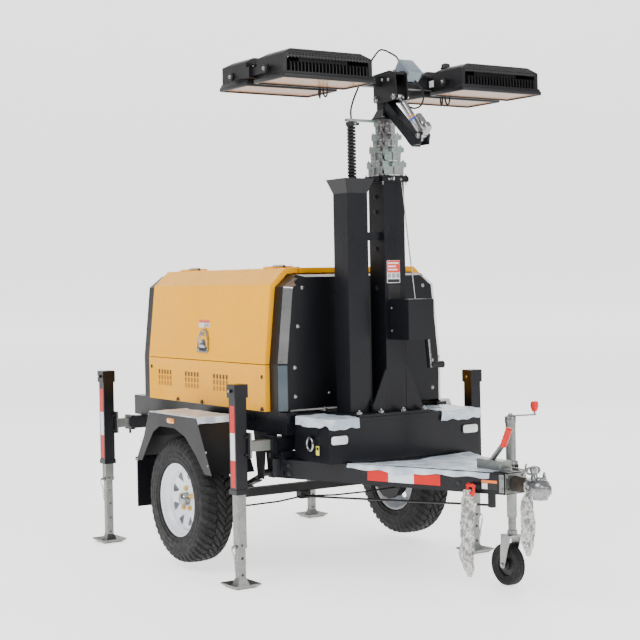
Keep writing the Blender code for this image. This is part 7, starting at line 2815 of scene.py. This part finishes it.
    def pieces(self) -> Iterator[Piece]:
        """The chains and their wrappings; the cords are built afterwards, in build.

        Returns:
            Each piece in turn.
        """
        right = np.array([(1.140, -0.1435, 0.530), (1.143, -0.1435, 0.500), (1.149, -0.1485, 0.470),
                          (1.149, -0.1545, 0.380), (1.146, -0.1565, 0.290), (1.140, -0.1545, 0.235),
                          (1.152, -0.1525, 0.180), (1.156, -0.1505, 0.143)])
        wide = np.array([(0.020, 0.016), (0.036, 0.0200), (0.050, 0.0250), (0.044, 0.0250), (0.043, 0.0240),
                         (0.052, 0.0230), (0.034, 0.0200), (0.010, 0.009)])
        yield Piece("chain_wrap_right", self.wrapping(right, wide, 0.4), [CLEAR_WRAP], open_sheet=True, angle=180,
                    slot="clear_wrap", stands_for=["safety_chain_right"])
        yield Piece("chain_right", self.links(right[0] - (0, 0, 0.010), right[5], 0.010), [PLATED], angle=60)
        yield Piece("chain_right_back", self.links(right[1] + (0.012, 0, 0), right[5] + (0.004, 0, 0), -0.012),
                    [PLATED], angle=60)
        left = np.array([(1.364, 0.010, 0.520), (1.364, 0.010, 0.480), (1.364, 0.010, 0.380), (1.364, 0.010, 0.300),
                         (1.364, 0.010, 0.247)])
        slim = np.array([(0.016, 0.014), (0.038, 0.024), (0.044, 0.027), (0.036, 0.024), (0.010, 0.009)])
        yield Piece("chain_wrap_left", self.wrapping(left, slim, 2.9), [CLEAR_WRAP], open_sheet=True, angle=180,
                    slot="clear_wrap", stands_for=["safety_chain_left"])
        yield Piece("chain_left", self.links(left[0], left[3] - (0, 0, 0.030), 0.008), [PLATED], angle=60)

    def tube(self, name: str, path: Array, radius: float, finish: Finish, body: str,
             stands_for: Sequence[str] = (), corners: int = 12) -> bpy.types.Object:
        """A round cord along a path.

        Args:
            name: the piece's name.
            path: its line.
            radius: half its diameter.
            finish: its finish.
            body: the body that carries it, or an empty name if it rides on none.
            stands_for: the nodes that it replaces.
            corners: how many corners its section has.

        Returns:
            The object.
        """
        around = carried(circle(radius, corners), path, hint=self.hint(path))
        return Piece(name, around, [finish], body, angle=60, stands_for=stands_for).built()

    def hint(self, path: Array) -> Array | None:
        """A direction the path never takes: Z for a flat coil, else the one least along it."""
        along = unit(np.gradient(path, axis=0))
        return None if np.abs(along[:, 2]).max() > 0.9 else np.array([0, 0, 1.0])

    def build(self) -> list[bpy.types.Object]:
        """Builds the chains, then each cord; the coiled cord and the head cable ride on no body and have their
        places baked into their meshes.

        Returns:
            The new objects.
        """
        made = super().build()
        self.declare_wrap("chain_wrap_right", "chain_right")
        self.declare_wrap("chain_wrap_left", "chain_left")
        coil = self.coil()
        cord = self.tube("coiled_cord", coil, self.wire, CORD_RUBBER, "", ["curly_cord"])
        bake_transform(cord)
        route = self.head_route()
        cable = self.tube("lamp_cable", route, self.cable, CORD_RUBBER, "", ["head_cable"])
        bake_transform(cable)
        line = self.rope()
        rope = self.tube("winch_rope", line, 0.0030, STEEL, "root", ["winch_cable"], 10)
        tuple(line[0])
        made += [cord, cable, rope]
        for sign in (-1, 1):
            for x in (0.331, 0.405):
                name = f"lamp_lead_{'front' if x > MAST_X else 'rear'}_{'left' if sign > 0 else 'right'}"
                made.append(self.free(name, self.lamp_lead(x, sign * 0.372), 0.0040))
        made.append(self.free("box_cable", self.box_cable(), 0.0045))
        made.append(self.free("cable_bundle", self.bundle(), 0.0042, "coiled"))
        return made

    def declare_wrap(self, name: str, chain: str) -> None:
        """Reads a chain's film points as rings of its grid; nothing is done with them.

        Args:
            name: the film's piece.
            chain: not used.
        """
        film = bpy.data.objects[name]
        points = np.array([tuple(vertex.co) for vertex in film.data.vertices]).reshape(self.wrap_rings, -1, 3)

    def free(self, name: str, path: Array, radius: float, lay: str = "loose") -> bpy.types.Object:
        """A cord that rides on the head alone.

        Args:
            name: the piece's name.
            path: its line.
            radius: half its diameter.
            lay: not used.

        Returns:
            The object.
        """
        made = self.tube(name, path, radius, CORD_RUBBER, "head")
        return made


# Studio

@dataclass(frozen=True)
class Studio:
    """Floor, backdrop, soft lights and the camera at the photograph's angle."""

    camera_at: Vector3 = (6.1892, -4.2316, 1.4709)
    yaw: float = 146.6738
    pitch: float = -0.6391
    roll: float = -1.0766
    pixels: float = 640.0
    focal: float = 1452.25          # in pixels
    centre_v: float = 297.29        # the optical axis, in pixels from the top
    sensor: float = 36.0
    sky: float = 0.75
    glow: float = 1.40              # light that the floor's sheet gives off by itself

    def camera(self) -> None:
        """Sets the camera; a small shift stands for the optical axis above the picture's middle."""
        yaw, pitch, roll = np.radians([self.yaw, self.pitch, self.roll])
        ahead = np.array([math.cos(pitch) * math.cos(yaw), math.cos(pitch) * math.sin(yaw), math.sin(pitch)])
        right = unit(np.cross(ahead, (0, 0, 1)))
        up = np.cross(right, ahead)
        rolled_right = right * math.cos(roll) + up * math.sin(roll)
        rolled_up = up * math.cos(roll) - right * math.sin(roll)
        data = bpy.data.cameras.new("camera")
        data.sensor_width = self.sensor
        data.lens = self.focal * self.sensor / self.pixels
        data.shift_y = (self.centre_v - self.pixels / 2) / self.pixels
        made = bpy.data.objects.new("camera", data)
        turn = np.eye(4)
        turn[:3, :3] = np.stack([rolled_right, rolled_up, -ahead], axis=1)
        turn[:3, 3] = self.camera_at
        made.matrix_world = turn.T
        bpy.context.scene.collection.objects.link(made)
        bpy.context.scene.camera = made

    def backdrop(self) -> None:
        """A pale floor that curves up into a backdrop far behind, as one smooth sheet."""
        recipe = Recipe("studio_floor")
        recipe.set(Base_Color=recipe.tint(recipe.noise(0.8, 5, 0.6), (0.80, 0.79, 0.78), (0.88, 0.87, 0.865)))
        recipe.set(Roughness=0.62, Specular_IOR_Level=0.2)
        recipe.set(Emission_Color=(1.0, 0.99, 0.985, 1.0), Emission_Strength=self.glow)
        recipe.relief(recipe.noise(3, 6, 0.6), 0.003, 0.3)
        angle = np.linspace(0, TURN / 4, 12)
        reach, radius = 38.0, 12.0
        along = np.concatenate([[-50.0], reach + radius * np.sin(angle), [reach + radius]])
        rise = np.concatenate([[0.0], radius * (1 - np.cos(angle)), [50.0]])
        across = np.linspace(-85, 85, 5)
        away = np.array([math.cos(math.radians(self.yaw)), math.sin(math.radians(self.yaw))])
        aside = np.array([-away[1], away[0]])
        flat = along[:, None, None] * away + across[None, :, None] * aside
        height = np.broadcast_to(rise[:, None, None], (len(along), len(across), 1))
        sheet = grid(np.concatenate([flat, height], axis=-1))
        mesh = bpy.data.meshes.new("studio_floor")
        mesh.from_pydata(sheet.points.tolist(), [], sheet.faces[0].tolist())
        mesh.polygons.foreach_set("use_smooth", np.ones(len(mesh.polygons), bool))
        mesh.materials.append(recipe.material)
        made = bpy.data.objects.new("studio_floor", mesh)
        bpy.context.scene.collection.objects.link(made)

    def lights(self) -> None:
        """A pale sky and three large soft boxes: key, fill and back."""
        world = bpy.data.worlds.new("studio_sky")
        world.use_nodes = True
        tree = world.node_tree
        shade = tree.nodes["Background"]
        height = tree.nodes.new("ShaderNodeSeparateXYZ")
        tree.links.new(tree.nodes.new("ShaderNodeTexCoord").outputs["Generated"], height.inputs["Vector"])
        ramp = tree.nodes.new("ShaderNodeValToRGB")
        ramp.color_ramp.elements[0].position, ramp.color_ramp.elements[0].color = 0.0, (0.16, 0.165, 0.175, 1)
        ramp.color_ramp.elements[1].position, ramp.color_ramp.elements[1].color = 0.80, (1.0, 1.0, 1.0, 1)
        level = ramp.color_ramp.elements.new(0.18)
        level.color = (0.42, 0.43, 0.45, 1)
        tree.links.new(height.outputs["Z"], ramp.inputs["Fac"])
        tree.links.new(ramp.outputs["Color"], shade.inputs["Color"])
        shade.inputs["Strength"].default_value = self.sky
        bpy.context.scene.world = world
        for name, at, aim, size, power in (("key", (2.0, -6.0, 6.5), (0, 0, 1), 5.0, 560.0),
                                           ("fill", (7.5, 1.5, 4.0), (0.2, 0, 1), 4.0, 300.0),
                                           ("back", (-5.0, 4.5, 6.0), (0, 0, 1), 5.0, 200.0)):
            data = bpy.data.lights.new(name, "AREA")
            data.shape, data.size, data.energy = "SQUARE", size, power
            made = bpy.data.objects.new(name, data)
            toward = unit(np.asarray(at, float) - np.asarray(aim, float))
            turn = np.eye(4)
            turn[:3, :3] = facing(toward)
            turn[:3, 3] = at
            made.matrix_world = turn.T
            bpy.context.scene.collection.objects.link(made)

    def build(self) -> None:
        """Sets the camera, the floor and the lights."""
        self.camera()
        self.backdrop()
        self.lights()


def main() -> None:
    logging.basicConfig(level=logging.INFO, format="%(name)s %(message)s")
    Studio().build()
    for group in (KeptFrame(), Wheels(), Canopy(), Jacks(), Deck(), Hitch(), Jockey(), Mast(), Head(),
                  Floodlights(), Cords()):
        made = group.build()
        LOG.info("%s: %d new pieces", type(group).__name__, len(made))


if __name__ == "__main__":
    main()
